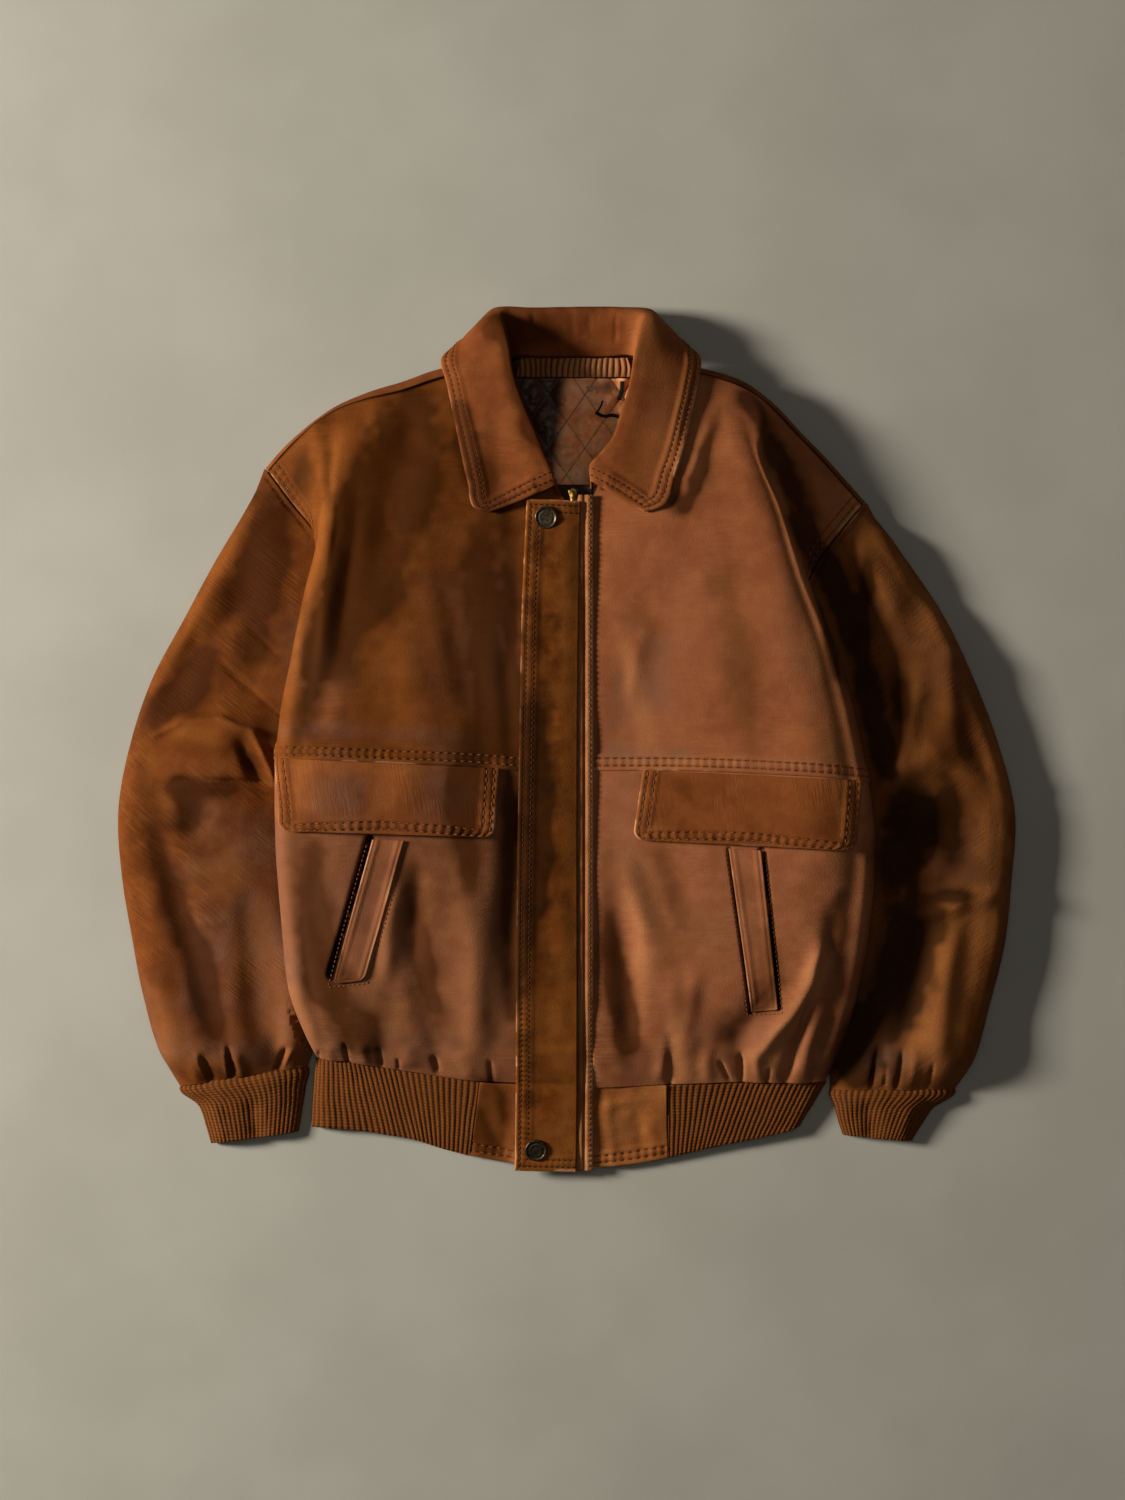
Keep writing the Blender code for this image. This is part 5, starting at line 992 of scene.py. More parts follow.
@dataclass
class Front:
    """One front from shoulder to hem: what lies on it is made from its points, moved out.

    side is 1 on the wearer's right and -1 on the left, where columns run the other way; shown
    gathers the outer grids of its pieces.
    """
    table: np.ndarray
    side: int
    creases: tuple
    slits: tuple
    seed: int
    columns: int = 181
    shown: list = field(default_factory=list)

    def __post_init__(self) -> None:
        """Make the table an array."""
        self.table = np.asarray(self.table, float)

    def fuller(self, u: np.ndarray) -> np.ndarray:
        """Height that keeps the top level as far as the fold: a bell curve between ridge and fold."""
        return (4.5 if self.side > 0 else 4.2) * np.exp(-((u - 4.5) / 0.3) ** 2)

    def relief(self, p: np.ndarray) -> np.ndarray:
        """Height of the creases and of the leather's own unevenness at each point."""
        broad = noise(p, 46.0, self.seed) * 1.1 + noise(p, 17.0, self.seed + 1) * 0.32
        return creased(p, self.creases, self.seed) + broad + noise(p, 6.0, self.seed + 2) * 0.07

    def even(self, count: int) -> np.ndarray:
        """Column parameters at equal steps of length along the middle of the panel."""
        dense = np.linspace(0, 7, 700)
        run = lengths(curve(self.table[5], dense))
        return np.interp(spaced(0, run[-1], count), run, dense)

    def grid(self, us: np.ndarray, vs: np.ndarray) -> tuple:
        """Points and outward normals of the panel with its folds and creases.

        Args: us and vs are counted in columns and rows of the table.
        Returns: two arrays, (len(vs), len(us), 3).
        """
        p = grid_surface(self.table, us, vs)
        top = np.clip((5.2 - us) / 0.9, 0, 1)[None]
        down = 1 - 0.8 * smooth(vs, 9.6, 11.0)[:, None]
        p[..., 2] += folded(p, BODY_FOLDS) * top + self.fuller(us)[None] * down
        n = normals(p) * self.side
        return p + n * (self.relief(p) * (0.15 + 0.85 * top))[..., None], n

    def place(self, x: np.ndarray, y: np.ndarray, lift: object = 0.0) -> tuple:
        """Points and normals of the upper surface over x, y, moved out by lift.

        The nearest point of a coarse net is bettered by eight Newton steps on the smooth surface.

        Args: x and y have one shape, and lift has it too or is one number.
        Returns: two arrays of that shape with three parts to each.
        """
        shape = x.shape
        x, y = x.ravel(), y.ravel()
        gu, gv = np.meshgrid(np.linspace(0, 5, 31), np.linspace(0, 11, 56))
        net = scattered(self.table, gu.ravel(), gv.ravel())
        batches = len(x) // 3000 + 1
        best = np.concatenate([((net[:, 0] - a[:, None]) ** 2 + (net[:, 1] - b[:, None]) ** 2).argmin(axis=1)
                               for a, b in zip(np.array_split(x, batches), np.array_split(y, batches))])
        u, v = gu.ravel()[best], gv.ravel()[best]
        for _ in range(8):
            p = scattered(self.table, u, v)
            pu = (scattered(self.table, u + 0.01, v) - p) / 0.01
            pv = (scattered(self.table, u, v + 0.01) - p) / 0.01
            det = pu[:, 0] * pv[:, 1] - pu[:, 1] * pv[:, 0]
            det = np.where(np.abs(det) < 1e-3, 1e-3, det)
            rx, ry = x - p[:, 0], y - p[:, 1]
            u = np.clip(u + np.clip((rx * pv[:, 1] - ry * pv[:, 0]) / det, -0.3, 0.3), 0, 5.1)
            v = np.clip(v + np.clip((ry * pu[:, 0] - rx * pu[:, 1]) / det, -0.3, 0.3), 0, 10.98)
        p[:, 2] += folded(p, BODY_FOLDS) + self.fuller(u)
        n = unit(np.cross(pu, pv) * self.side)
        p = p + n * (self.relief(p) + np.ravel(lift))[:, None]
        return p.reshape(shape + (3,)), n.reshape(shape + (3,))

    def make(self, name: str, node: str, vs: np.ndarray, trims: tuple, finish: object, flat: tuple,
             area: float) -> bpy.types.Object:
        """One leather piece of the front between two rows, with its stitched edges and its slits.

        Args: vs are its rows; flat is its size laid out, and area its own, in metres; neither is used.
        Returns: the piece.
        """
        us = self.even(self.columns)
        p, n = self.grid(us, vs)
        edge = trimmed(p, trims, self.seed)
        cut = np.zeros(p.shape[:2])
        for slit in self.slits:
            cut = cut + folded(p, (slit,)) * (us < 5)[None]
        outer = p + n * (edge[0] - cut)[..., None]
        self.shown += [outer]
        # Painted shade inside the welt slits; the top edge of an upper piece also gets a dark seam line.
        dark = np.clip(cut / 2.0, 0, 1) * 1.6
        if vs[0] == 0:
            dark = dark + 1.3 * np.exp(-(edge_field(p, Side.TOP)[1] / 1.2) ** 2)
        return stitched(name, node, (outer, outer - n * LEATHER), n, edge, trims, finish,
                        tones(outer, edge[2], self.seed, extra_deep=dark))


@dataclass
class Overlay:
    """A piece laid on a front between four corners: a flap or a welt.

    corners are x, y from the first of the top row, clockwise; radius rounds the low ones; lift is
    how far off the front it lies, crown how full its middle is, tuck how far its top sinks under
    the yoke edge, and curl how far its first low corner stands up.
    """
    name: str
    node: str
    front: Front
    corners: tuple
    radius: float
    rows: int
    columns: int
    lift: float
    thick: float
    seed: int
    flat: tuple
    crown: float = 0.0
    tuck: float = 0.0
    curl: float = 0.0

    def plan(self) -> tuple:
        """x, y over a grid, drawn in at the bottom so that the corners are round; and its s and t.

        The inset is r - sqrt(r^2 - (r - h)^2) where h, the height above the bottom edge, is under r.
        """
        tl, tr, br, bl = np.asarray(self.corners, float)
        s, t = np.meshgrid(spaced(0, 1, self.columns, 1.6, 1.6), spaced(0, 1, self.rows, 1, 2.2))
        high = np.linalg.norm(bl - tl) * (1 - t)
        wide = np.linalg.norm(br - bl)
        r = max(self.radius, 1e-6)
        inset = np.where(high < r, r - np.sqrt(np.clip(r**2 - (r - high) ** 2, 0, None)), 0)
        sx = 0.5 + (s - 0.5) * (1 - 2 * inset / wide)
        a, b = sx[..., None], t[..., None]
        return (tl * (1 - a) + tr * a) * (1 - b) + (bl * (1 - a) + br * a) * b, s, t

    def make(self, trims: tuple, finish: object) -> bpy.types.Object:
        """The piece, moved out from the front, crowned in the middle and curled at its corner.

        Args: trims are its stitched edges.
        Returns: the piece.
        """
        xy, s, t = self.plan()
        crown = self.crown * np.sin(np.pi * s) ** 0.6 * smooth(t, 0, 0.25) * (1 - smooth(t, 0.8, 1.0))
        rise = self.lift + crown - self.tuck * (1 - smooth(t, 0.0, 0.10))
        rise = rise + self.curl * (smooth(t, 0.7, 1) * (1 - smooth(s, 0, 0.2)))
        base, n = self.front.place(xy[..., 0], xy[..., 1], rise)
        edge = trimmed(base, trims, self.seed)
        outer = base + n * (edge[0] + self.thick + noise(base, 9, self.seed) * 0.12)[..., None]
        return stitched(self.name, self.node, (outer, base + n * 0.2), n, edge, trims, finish,
                        tones(outer, edge[2], self.seed))


def back_table(right: Front, left: Front) -> np.ndarray:
    """The back's control rows: shoulders and neck, armholes, then the side seams of both fronts.

    Args: right and left are the fronts that it joins.
    Returns: (15, 25, 3), its columns from the right side to the left.
    """
    neck = np.asarray(BACK_NECK, float)
    edges = []
    for front in (right, left):
        columns = np.asarray(SHOULDER_COLUMNS, float)
        u, width = columns[:, 0], columns[:, 1 if front.side > 0 else 2][:, None]
        seam = curve(front.table[0], u)
        seam[:, 2] += folded(seam, BODY_FOLDS) * np.clip((5.2 - u) / 0.9, 0, 1)
        along = np.gradient(seam[:, :2], axis=0)
        out = unit(np.stack([-along[:, 1], along[:, 0]], axis=1) * front.side)
        edges.append([np.concatenate([seam[:, :2] + out * (width * share + 0.5), seam[:, 2:] * high], axis=1)
                      for share, high in SHOULDER_ROLL])
    rows = []
    for k in range(4):
        drop = np.array([NECK_DROP[c][k] for c in NECK_COLUMN_DROP])
        middle = np.stack([neck[:, 0], neck[:, 1] - drop[:, 0], neck[:, 2] * drop[:, 1]], axis=1)
        rows.append(np.concatenate([edges[0][k], middle, edges[1][k][::-1]]))
    top = rows[3]
    share = (top[:, 0] - top[0, 0]) / (top[-1, 0] - top[0, 0])
    levels = [(ys, ym, xr, zr, xl, zl, ys) for ys, ym, xr, zr, xl, zl in BACK_ARMHOLE]
    r, q = curve(right.table[:, 7], SIDE_ROWS), curve(left.table[:, 7], SIDE_ROWS)
    levels += [(a[1], None, a[0] + 0.6, a[2] - 0.4, b[0] - 0.6, b[2] - 0.4, b[1]) for a, b in zip(r, q)]
    for y_right, y_mid, xr, zr, xl, zl, y_left in levels:
        level = np.zeros((len(top), 3))
        level[:, 0] = xr + (xl - xr) * share
        level[:, 1] = y_right + (y_left - y_right) * share
        if y_mid is not None:
            level[:, 1] += (y_mid - (y_right + y_left) / 2) * (1 - (2 * share - 1) ** 2)
        level[0, 2], level[-1, 2] = zr, zl
        rows.append(level)
    return np.asarray(rows)


@dataclass
class Back:
    """The back panel, flat where it rests, rolled up at the shoulders and the sides."""
    right: Front
    left: Front
    rows: int = 166
    columns: int = 181

    def make(self, finish: object) -> np.ndarray:
        """Build it from its control table.

        Returns: that table, whose edges the sleeves follow.
        """
        table = back_table(self.right, self.left)
        us, vs = np.linspace(0, 24, self.columns), spaced(0, 14, self.rows, 2.0, 1.0)
        outer = grid_surface(table, us, vs)
        n = facing(normals(outer), len(vs) // 2, len(us) // 2, -1)
        flat = smooth(outer[..., 2], 0.5, 3.0)
        outer = lifted(outer + n * (noise(outer, 30.0, 71) * 0.5 * flat)[..., None])
        n[0] = unit(n[0] + np.array([0, 0, 1.2]) * (outer[0, :, 2:] > 10))
        rim = np.minimum(edge_field(outer, Side.TOP)[1], 50)
        tone = tones(outer, rim, 71, 0.0, 0.9 * np.exp(-(rim / 1.0) ** 2))
        obj = cloth("back_skin", outer, outer - n * LEATHER, finish, "back_panel", tone)
        return table


@dataclass
class Sleeve:
    """A sleeve: rings from the armhole to the cuff, pressed flat, with the fronts lying on it."""
    rows_table: tuple
    front: Front
    back: np.ndarray
    creases: tuple
    seed: int
    rings: int = 271
    round_top: int = 132
    round_under: int = 48

    def make(self, name: str, node: str, roof: HeightMap, finish: object) -> bpy.types.Object:
        """The shell of the sleeve, kept under the fronts' folds.

        Args: roof is the lowest height of what lies on it.
        Returns: the piece.
        """
        s_top = np.linspace(0, 1, self.round_top + 1)[:-1]
        s_low = np.linspace(0, 1, self.round_under + 1)[:-1]
        rings = np.stack([self.ring(row, s_top, s_low) for row in self.rows_table])
        rings[0] = self.armhole(s_top, s_low)
        rings[-1] = oval_ring(oval(s_top, s_low), self.rows_table[-1], 0.0)
        rings[0] = lifted(rings[0] + np.array((-1.1 * self.front.side, -0.45, -0.5)))
        outer = curves(rings.transpose(1, 0, 2), spaced(0, 11, self.rings, 1.4, 2.2))
        above = np.clip((outer[..., 2] - 8) / 10, 0, 1)
        outer[..., 2] += folded(outer, SLEEVE_FOLDS) * above
        n = facing(normals(outer, wrap=True), 60, self.round_top // 2, 1)
        rough = noise(outer, 40.0, self.seed) * 0.8 + noise(outer, 15.0, self.seed + 1) * 0.2
        rise = creased(outer, self.creases, self.seed) + rough + stretch_lines(outer, self.seed) * 0.10
        outer = lifted(outer + n * (rise * above)[..., None])
        top = slice(0, self.round_top + 1)
        low = roof.at(outer[:, top, 0], outer[:, top, 1]) - 2.2
        pressed = np.maximum(kept_below(outer[:, top, 2], low, 1.5), 0)
        outer[3:, top, 2] = pressed[3:]
        n = facing(normals(outer, wrap=True), 60, self.round_top // 2, 1)
        rim = np.minimum(edge_field(outer, Side.TOP)[1], edge_field(outer, Side.BOTTOM)[1])
        obj = cloth(name, outer, lifted(outer - n * LEATHER), finish, node, tones(outer, rim, self.seed, 0.3),
                    wrap=True)
        return obj

    def ring(self, row: tuple, s_top: np.ndarray, s_low: np.ndarray) -> np.ndarray:
        """One ring from its outer edge over the top, then back along the underside.

        Args: row is a row of the sleeve's table; s_top and s_low are shares of the way round.
        Returns: (len(s_top) + len(s_low), 3).
        """
        ox, oy, ix, iy, crown = row
        d, z = section_of(SLEEVE_TOP, SLEEVE_UNDER, s_top, s_low, np.hypot(ix - ox, iy - oy)).T
        full = 3.0 * np.exp(-((d - 0.12) / 0.14) ** 2) if self.front.side < 0 else \
            5.0 * smooth(-oy, 120, 220) * np.exp(-((d - 0.87) / 0.09) ** 2)
        z = z + ((crown - 31) * np.exp(-((d - 0.33) / 0.26) ** 2) + full) * (np.arange(len(d)) < len(s_top))
        return np.stack([ox + (ix - ox) * d, oy + (iy - oy) * d, np.maximum(z, 0)], axis=1)

    def armhole(self, s_top: np.ndarray, s_low: np.ndarray) -> np.ndarray:
        """The first ring: under the front's armhole seam, then along the back's armhole edge."""
        v = np.interp(s_top, np.arange(10) / 9, (0, 0.5, 1, 1.5, 2, 2.5, 3, 4, 4.5, 5))
        column = 0 if self.front.side > 0 else self.back.shape[1] - 1
        low = curve(self.back[:, column], 8 * (1 - s_low))
        return np.concatenate([curve(self.front.table[:, 7], v), low])


def stretch_lines(p: np.ndarray, seed: int) -> np.ndarray:
    """Fine parallel lines where the leather is pulled: noise drawn out across the sleeve."""
    q = p.copy()
    a = np.radians(-38 if p[..., 0].mean() < 0 else 38)
    q[..., 0] = (p[..., 0] * np.cos(a) + p[..., 1] * np.sin(a)) / 14
    q[..., 1] = p[..., 1] * np.cos(a) - p[..., 0] * np.sin(a)
    q[..., 2] = 0
    return noise(q, 2.6, seed) * smooth(noise(p, 60.0, seed + 4), -0.3, 0.5)


def section_of(over: tuple, under: tuple, s_top: np.ndarray, s_low: np.ndarray, wide: float) -> np.ndarray:
    """Share of the width and height round a pressed tube, drawn at its real width to stay smooth.

    Args: over and under are the section's two halves; wide is the width in mm.
    Returns: (len(s_top) + len(s_low), 2).
    """
    top = curve([(d * wide, 0, z) for d, z in over], s_top * (len(over) - 1))
    low = curve([(d * wide, 0, z) for d, z in under], s_low * (len(under) - 1))
    ring = np.concatenate([top, low])
    return np.stack([ring[:, 0] / wide, ring[:, 2]], axis=1)


def oval(s_top: np.ndarray, s_low: np.ndarray) -> np.ndarray:
    """Section of a cuff: share of its width and height, over the top and back underneath."""
    return section_of(CUFF_TOP, CUFF_UNDER, s_top, s_low, 90.0)


def oval_ring(section: np.ndarray, row: tuple, wall: float) -> np.ndarray:
    """A ring of a tube with a cuff's section.

    Args: row is the ring's two ends and height; wall is how much smaller it is on all sides.
    Returns: (N, 3).
    """
    ox, oy, ix, iy, high = row
    wide = np.hypot(ix - ox, iy - oy)
    d = section[:, 0] * (1 - 2 * wall / wide) + wall / wide
    z = np.maximum(section[:, 1] / 14.5, 0) * (high - 2 * wall) + wall
    return np.stack([ox + (ix - ox) * d, oy + (iy - oy) * d, z], axis=1)


# ---------------------------------------------------------------- collar, strips and knit

def strip(name: str, node: str, table: object, us: np.ndarray, vs: np.ndarray, trims: tuple,
          finish: object, seed: int, bumps: float, creases: tuple,
          thread: object = None) -> np.ndarray:
    """A strip of doubled leather through a table of points, with stitched edges.

    Args: us and vs are counted in columns and rows; bumps is how uneven it is, in mm; the others
    are as stitched() has them.
    Returns: its outer grid.
    """
    p = grid_surface(table, us, vs)
    n = facing(normals(p), len(vs) // 2, len(us) // 2, 1)
    edge = trimmed(p, trims, seed)
    wild = noise(p, 24, seed) * bumps * 2.5 + noise(p, 8, seed + 1) * bumps
    outer = lifted(p + n * (edge[0] + wild + creased(p, creases, seed))[..., None], 1.0)
    inner = lifted(p - n * (DOUBLE - 0.4))
    stitched(name, node, (outer, inner), n, edge, trims, finish, tones(outer, edge[2], seed),
             thread=thread)
    return outer


@dataclass
class Collar:
    """One long leaf from the neck seam over the roll to its stitched edge, all round the neck."""
    around: int = 301
    across: int = 97

    def make(self, top: HeightMap, finish: object) -> None:
        """Its grid and its stitches, with the fall kept above the fronts.

        Args: top is the height of the fronts.
        """
        table = np.asarray(COLLAR, float)
        turn = table[:, 1] + 0.22 * (table[:, 2] - table[:, 1]) + np.array([0, 0, 1.2])
        for station, place in COLLAR_TURN.items():
            turn[station] = place
        table = np.stack([table[:, 0], table[:, 1], turn, table[:, 2], table[:, 3]], axis=1)
        us = spaced(0, 4, self.across, 1.0, 1.8)
        vs = spaced(0, 20, self.around, 2.0, 2.0)
        p = grid_surface(table, us, vs)
        fall = us > 1.9
        low = top.at(p[:, fall, 0], p[:, fall, 1]) + LEATHER + 1.4
        p[:, fall, 2] = kept_above(p[:, fall, 2], low, 1.0)
        n = facing(normals(lifted(p, 2.0)), len(vs) // 3, len(us) * 3 // 4, 1)
        sides = (Side.LAST, Side.TOP, Side.BOTTOM)
        trims = tuple(Trim(side, 5.4, True, 1.5, 0.36, FINE_PITCH) for side in sides)
        edge = faded(trimmed(p, trims, 31), us > 2.2)
        wild = noise(p, 30, 31) * 0.9 + noise(p, 11, 32) * 0.25
        gather = 0.5 * noise(p * np.array([1, 0.12, 0.12]), 5.0, 33) * np.exp(-((us - 0.9) / 0.35) ** 2)[None]
        back = np.exp(-((vs - 10) / 2.2) ** 2)[:, None]
        dents = creased(p, COLLAR_CREASES, 35)
        outer = lifted(p + n * (edge[0] + wild * 0.6 + gather * back + dents)[..., None], 1.9)
        stitched("collar_skin", "collar", (outer, lifted(p - n * SOFT_WALL)), n, edge, trims, finish,
                 tones(outer, edge[2], 31),
                 thread=THREAD_DARK)


def faded(edge: tuple, on: np.ndarray) -> tuple:
    """What trimmed() gave, fading out where on, over the columns, is false."""
    height, seam, near, fields = edge
    fade = smooth(np.cumsum(on).astype(float), 0, 6)[None]
    seam[..., 2] *= fade
    return height * fade, seam, np.where(fade > 0.3, near, 50.0), fields


def ribbed(points: np.ndarray, n: np.ndarray, run: np.ndarray, seed: int, depth: float = 0.95) -> tuple:
    """Rib knit: rounded ridges along the columns and a small stitch bump along each ridge.

    A ridge's height is depth x (|cos| of its phase raised to 0.8, less a half), so that the furrows
    are narrow and sharp.

    Args: points is a grid with normals n; run is the length across the ribs at each point.
    Returns: the outer points; and phase, rows down and furrow, for the finish.
    """
    down = edge_field(points, Side.TOP)[1]
    phase = run / RIB + 0.12 * noise(points, 20, seed)
    ridge = np.abs(np.cos(np.pi * phase)) ** 0.8
    loops = 0.10 * np.sin(2 * np.pi * down / LOOP + np.pi * np.round(phase)) * ridge
    rise = depth * (ridge - 0.5) + loops + noise(points, 12, seed + 1) * 0.3
    return lifted(points + n * rise[..., None]), np.stack([phase, down / LOOP, 1 - ridge], axis=-1)


@dataclass
class Knit:
    """Hem rib and cuffs."""

    def hem(self, finish: object) -> None:
        """The hem rib, from the right tab round the back to the left tab, flat where it rests."""
        table = np.asarray(HEM_RIB, float)
        table[:, 1:3] += np.array([2.0, -2.5]) * (table[:, 2:3] > 5)
        middle = (table[:, :3] + table[:, 3:]) / 2 + np.array([0, 0, 0.5]) * (table[:, 2:3] > 5)
        rows = np.stack([table[:, :3], middle, table[:, 3:]])
        dense = np.linspace(0, 22, 2000)
        length = lengths(curve(rows[1], dense))
        count = int(length[-1] / RIB * 7) // 3 * 3 + 1
        us = np.interp(np.linspace(0, length[-1], count), length, dense)
        p = grid_surface(rows, us, np.linspace(0, 2, 25))
        n = facing(normals(p), 12, len(us) // 2, -1)
        run = np.repeat(np.interp(us, dense, length)[None], 25, axis=0)
        outer, weave = ribbed(p, n, run, 41)
        obj = cloth("hem_knit", outer, lifted(p - n * SOFT_WALL), finish, "hem_rib",
                    knit_tones(outer, weave, 41), weave)

    def cuff(self, name: str, node: str, rows_table: tuple, seed: int, dents: tuple, finish: object) -> None:
        """A cuff: a tube of rib knit, pressed flat, with the dents that its fall has left.

        Args: rows_table is its rings from the sleeve down; the first is set into the sleeve.
        """
        s_top, s_low = np.linspace(0, 1, 183)[:-1], np.linspace(0, 1, 179)[:-1]
        section = oval(s_top, s_low)
        rings = np.stack([oval_ring(section, rows_table[0], 2.3) + np.array([0, 2.5, 0])]
                         + [oval_ring(section, row, 0.0) for row in rows_table])
        p = curves(rings.transpose(1, 0, 2), np.concatenate([[0, 0.5], np.linspace(1, len(rows_table), 32)]))
        above = smooth(p[..., 2], 4, 9)
        p[..., 2] += creased(p, dents, seed) * above
        n = facing(normals(p, wrap=True), 17, 90, 1)
        run = lengths(np.concatenate([p[10], p[10, :1]]))
        ribs = round(run[-1] / RIB)
        run = np.repeat((run[:-1] / run[-1] * ribs * RIB)[None], 34, axis=0)
        outer, weave = ribbed(p, n, run, seed)
        obj = cloth(name, outer, lifted(p - n * SOFT_WALL), finish, node, knit_tones(outer, weave, seed),
                    weave, wrap=True)


def knit_tones(p: np.ndarray, weave: np.ndarray, seed: int) -> np.ndarray:
    """Painted values of the knit, from ribbed()'s weave: a painted highlight on the ridges, uneven by noise,
    and painted shade in the furrows.
    """
    ridge = 1 - weave[..., 2]
    worn = np.clip(0.35 * ridge * (1 + noise(p, 18, seed)), 0, 1)
    return np.stack([worn, np.zeros_like(worn), np.clip(1.2 * weave[..., 2] - 0.25, 0, 1)], axis=-1)


@dataclass
class Inside:
    """What shows in the neck: the quilted lining on the back, and the gathered strip at the seam."""

    def lining(self, finish: object) -> None:
        """Satin puffed between crossing lines of stitches, QUILT apart, and crumpled all over."""
        rows = []
        for y, z_right, z_mid, z_left in LINING_ROWS:
            rows.append(((LINING_X[0], y, z_right), (LINING_X[1] - 40, y, (z_right + z_mid) / 2 - 0.6),
                         (LINING_X[1], y, z_mid), (LINING_X[1] + 40, y, (z_left + z_mid) / 2 - 0.8),
                         (LINING_X[2], y, z_left)))
        us, vs = np.linspace(0, 4, 160), np.linspace(0, 6, 136)
        p = lifted(grid_surface(rows, us, vs), 4.4)
        n = facing(normals(p), 60, 80, 1)
        a = (p[..., 0] * 0.82 + p[..., 1] * 0.57) / QUILT
        b = (p[..., 0] * 0.82 - p[..., 1] * 0.57) / QUILT
        puff = (np.abs(np.sin(np.pi * a)) * np.abs(np.sin(np.pi * b))) ** 0.45
        crumple = np.abs(noise(p, 9, 51)) * 3.4 + np.abs(noise(p, 4.5, 52)) * 1.1 + noise(p, 20, 53) * 1.8
        outer = p + n * (puff * 2.6 + crumple * puff + 0.8)[..., None]
        lines = np.minimum(np.abs(np.sin(np.pi * a)), np.abs(np.sin(np.pi * b)))
        # Painted shade along the quilting lines.
        deep = np.exp(-(lines / 0.05) ** 2)
        # The collar's painted shadow over the lining's left part.
        left = smooth(0.12 * (p[..., 1] - 240) - p[..., 0], 1, 13)
        torn = 0.9 * np.exp(-((p[..., 0] - 34) / 7) ** 2 - ((p[..., 1] - 292) / 7) ** 2)
        tone = np.stack([np.clip(0.25 + noise(p, 12, 54), 0, 1) * 0.8, np.zeros_like(a),
                         np.clip(deep + left + torn, 0, 1)], axis=-1)
        obj = cloth("lining_satin", outer, p - n * 0.2, finish, "lining_back", tone)
        self.remnants(outer)

    def remnants(self, satin: np.ndarray) -> None:
        """What is left of a torn-off label: dark tape in three bits, a pale fray, a loose thread end.

        Args: satin is the grid that they lie on.
        """
        bits = (("label_tape_long", LABEL_TAPE, ((24, 270.5), (31, 267.6), (38, 268.4), (45, 266)), 2.6),
                ("label_tape_up", LABEL_TAPE, ((25, 270.5), (28, 275), (30, 280)), 1.4),
                ("label_tape_fold", LABEL_TAPE, ((46, 296), (45.5, 289), (43, 281)), 3.2),
                ("label_fray", FRAYED, ((17, 292), (20, 289), (23.5, 291), (26, 287)), 2.2),
                ("neck_thread_end", LOOSE_THREAD, ((-13, 222), (-10.5, 219), (-11.5, 215.5), (-8, 214)), 1.0))
        for name, finish, path, wide in bits:
            t = np.linspace(0, len(path) - 1, 8 * len(path))
            xy = curve([(x, y, 0.0) for x, y in path], t)
            z = np.array([seat(satin, x, y)[0][2] for x, y in xy[:, :2]])
            along = np.gradient(xy[:, :2], axis=0)
            side = unit(np.stack([-along[:, 1], along[:, 0]], axis=1))
            across = np.linspace(-0.5, 0.5, 4) * wide
            outer = np.concatenate([xy[:, None, :2] + side[:, None] * across[None, :, None],
                                    np.broadcast_to((z + 1.3)[:, None, None], (len(t), 4, 1))], axis=-1)
            outer[..., 2] += 0.5 * noise(outer, 5, 57)
            cloth(name, outer, outer - np.array([0, 0, 0.7]), finish, "lining_back", np.zeros_like(outer),
                  skip=1, whole=False)

    def binding(self, finish: object) -> None:
        """The seam strip, drawn up into a row of narrow pleats, PLEAT apart."""
        s, t = np.meshgrid(np.linspace(0, 1, 241), np.linspace(0, 1, 25))
        y = 315.0 - 15.5 * t
        left, right = -37.5 - 4.0 * t, 50.0 + 6.0 * t
        x = left + (right - left) * s
        z = 12.4 + 1.2 * (2 * s - 1) ** 2 - 0.8 * (2 * t - 1) ** 2
        p = np.stack([x, y, z], axis=-1)
        lean = x / PLEAT + 0.5 * noise(p, 16, 61) + 0.1 * t
        pleat = np.abs(np.cos(np.pi * lean)) ** 0.7
        rise = pleat * 1.9 * np.sin(np.pi * np.clip(t, 0.03, 0.97)) ** 0.35
        outer = p + np.stack([0 * x, 0.5 * noise(p, 7, 62), rise], axis=-1)
        # Painted shade in the gaps between the pleats and over the strip's left half, where the collar's shadow
        # falls; the pleat tops get a painted highlight through the first part of the tone.
        dark = np.clip(1.25 - pleat * 1.7, 0, 1) + smooth(-x, -4, 16) * 0.5
        tone = np.stack([pleat * 0.6, 0 * x, dark], axis=-1)
        inner = p - np.array([0, 0, 1.4])
        obj = cloth("neck_strip", outer, inner, finish, "neck_binding", np.clip(tone, 0, 1))


# ---------------------------------------------------------------- zip and snaps

def capped(name: str, rings: np.ndarray, low: np.ndarray, high: np.ndarray, finish: object) -> bpy.types.Object:
    """A closed piece through rings of points, with a fan of triangles to a point at each end.

    Args: rings is (rings, points, 3); low and high are the points that close it.
    Returns: the piece.
    """
    count = rings.shape[1]
    verts = np.concatenate([rings.reshape(-1, 3), [low], [high]])
    at = np.arange(len(verts) - 2).reshape(-1, count)
    nxt = np.roll(at, -1, axis=1)
    quads = np.stack([at[:-1], nxt[:-1], nxt[1:], at[1:]], axis=-1).reshape(-1, 4)
    ends = [np.stack([nxt[0], at[0], np.full(count, len(verts) - 2)], axis=1),
            np.stack([at[-1], nxt[-1], np.full(count, len(verts) - 1)], axis=1)]
    turn = 1 if volume(verts, np.concatenate([quads[:, :3], quads[:, [0, 2, 3]]] + ends)) > 0 else -1
    return put_mesh(name, verts, [f[:, ::turn] for f in [quads] + ends], finish)


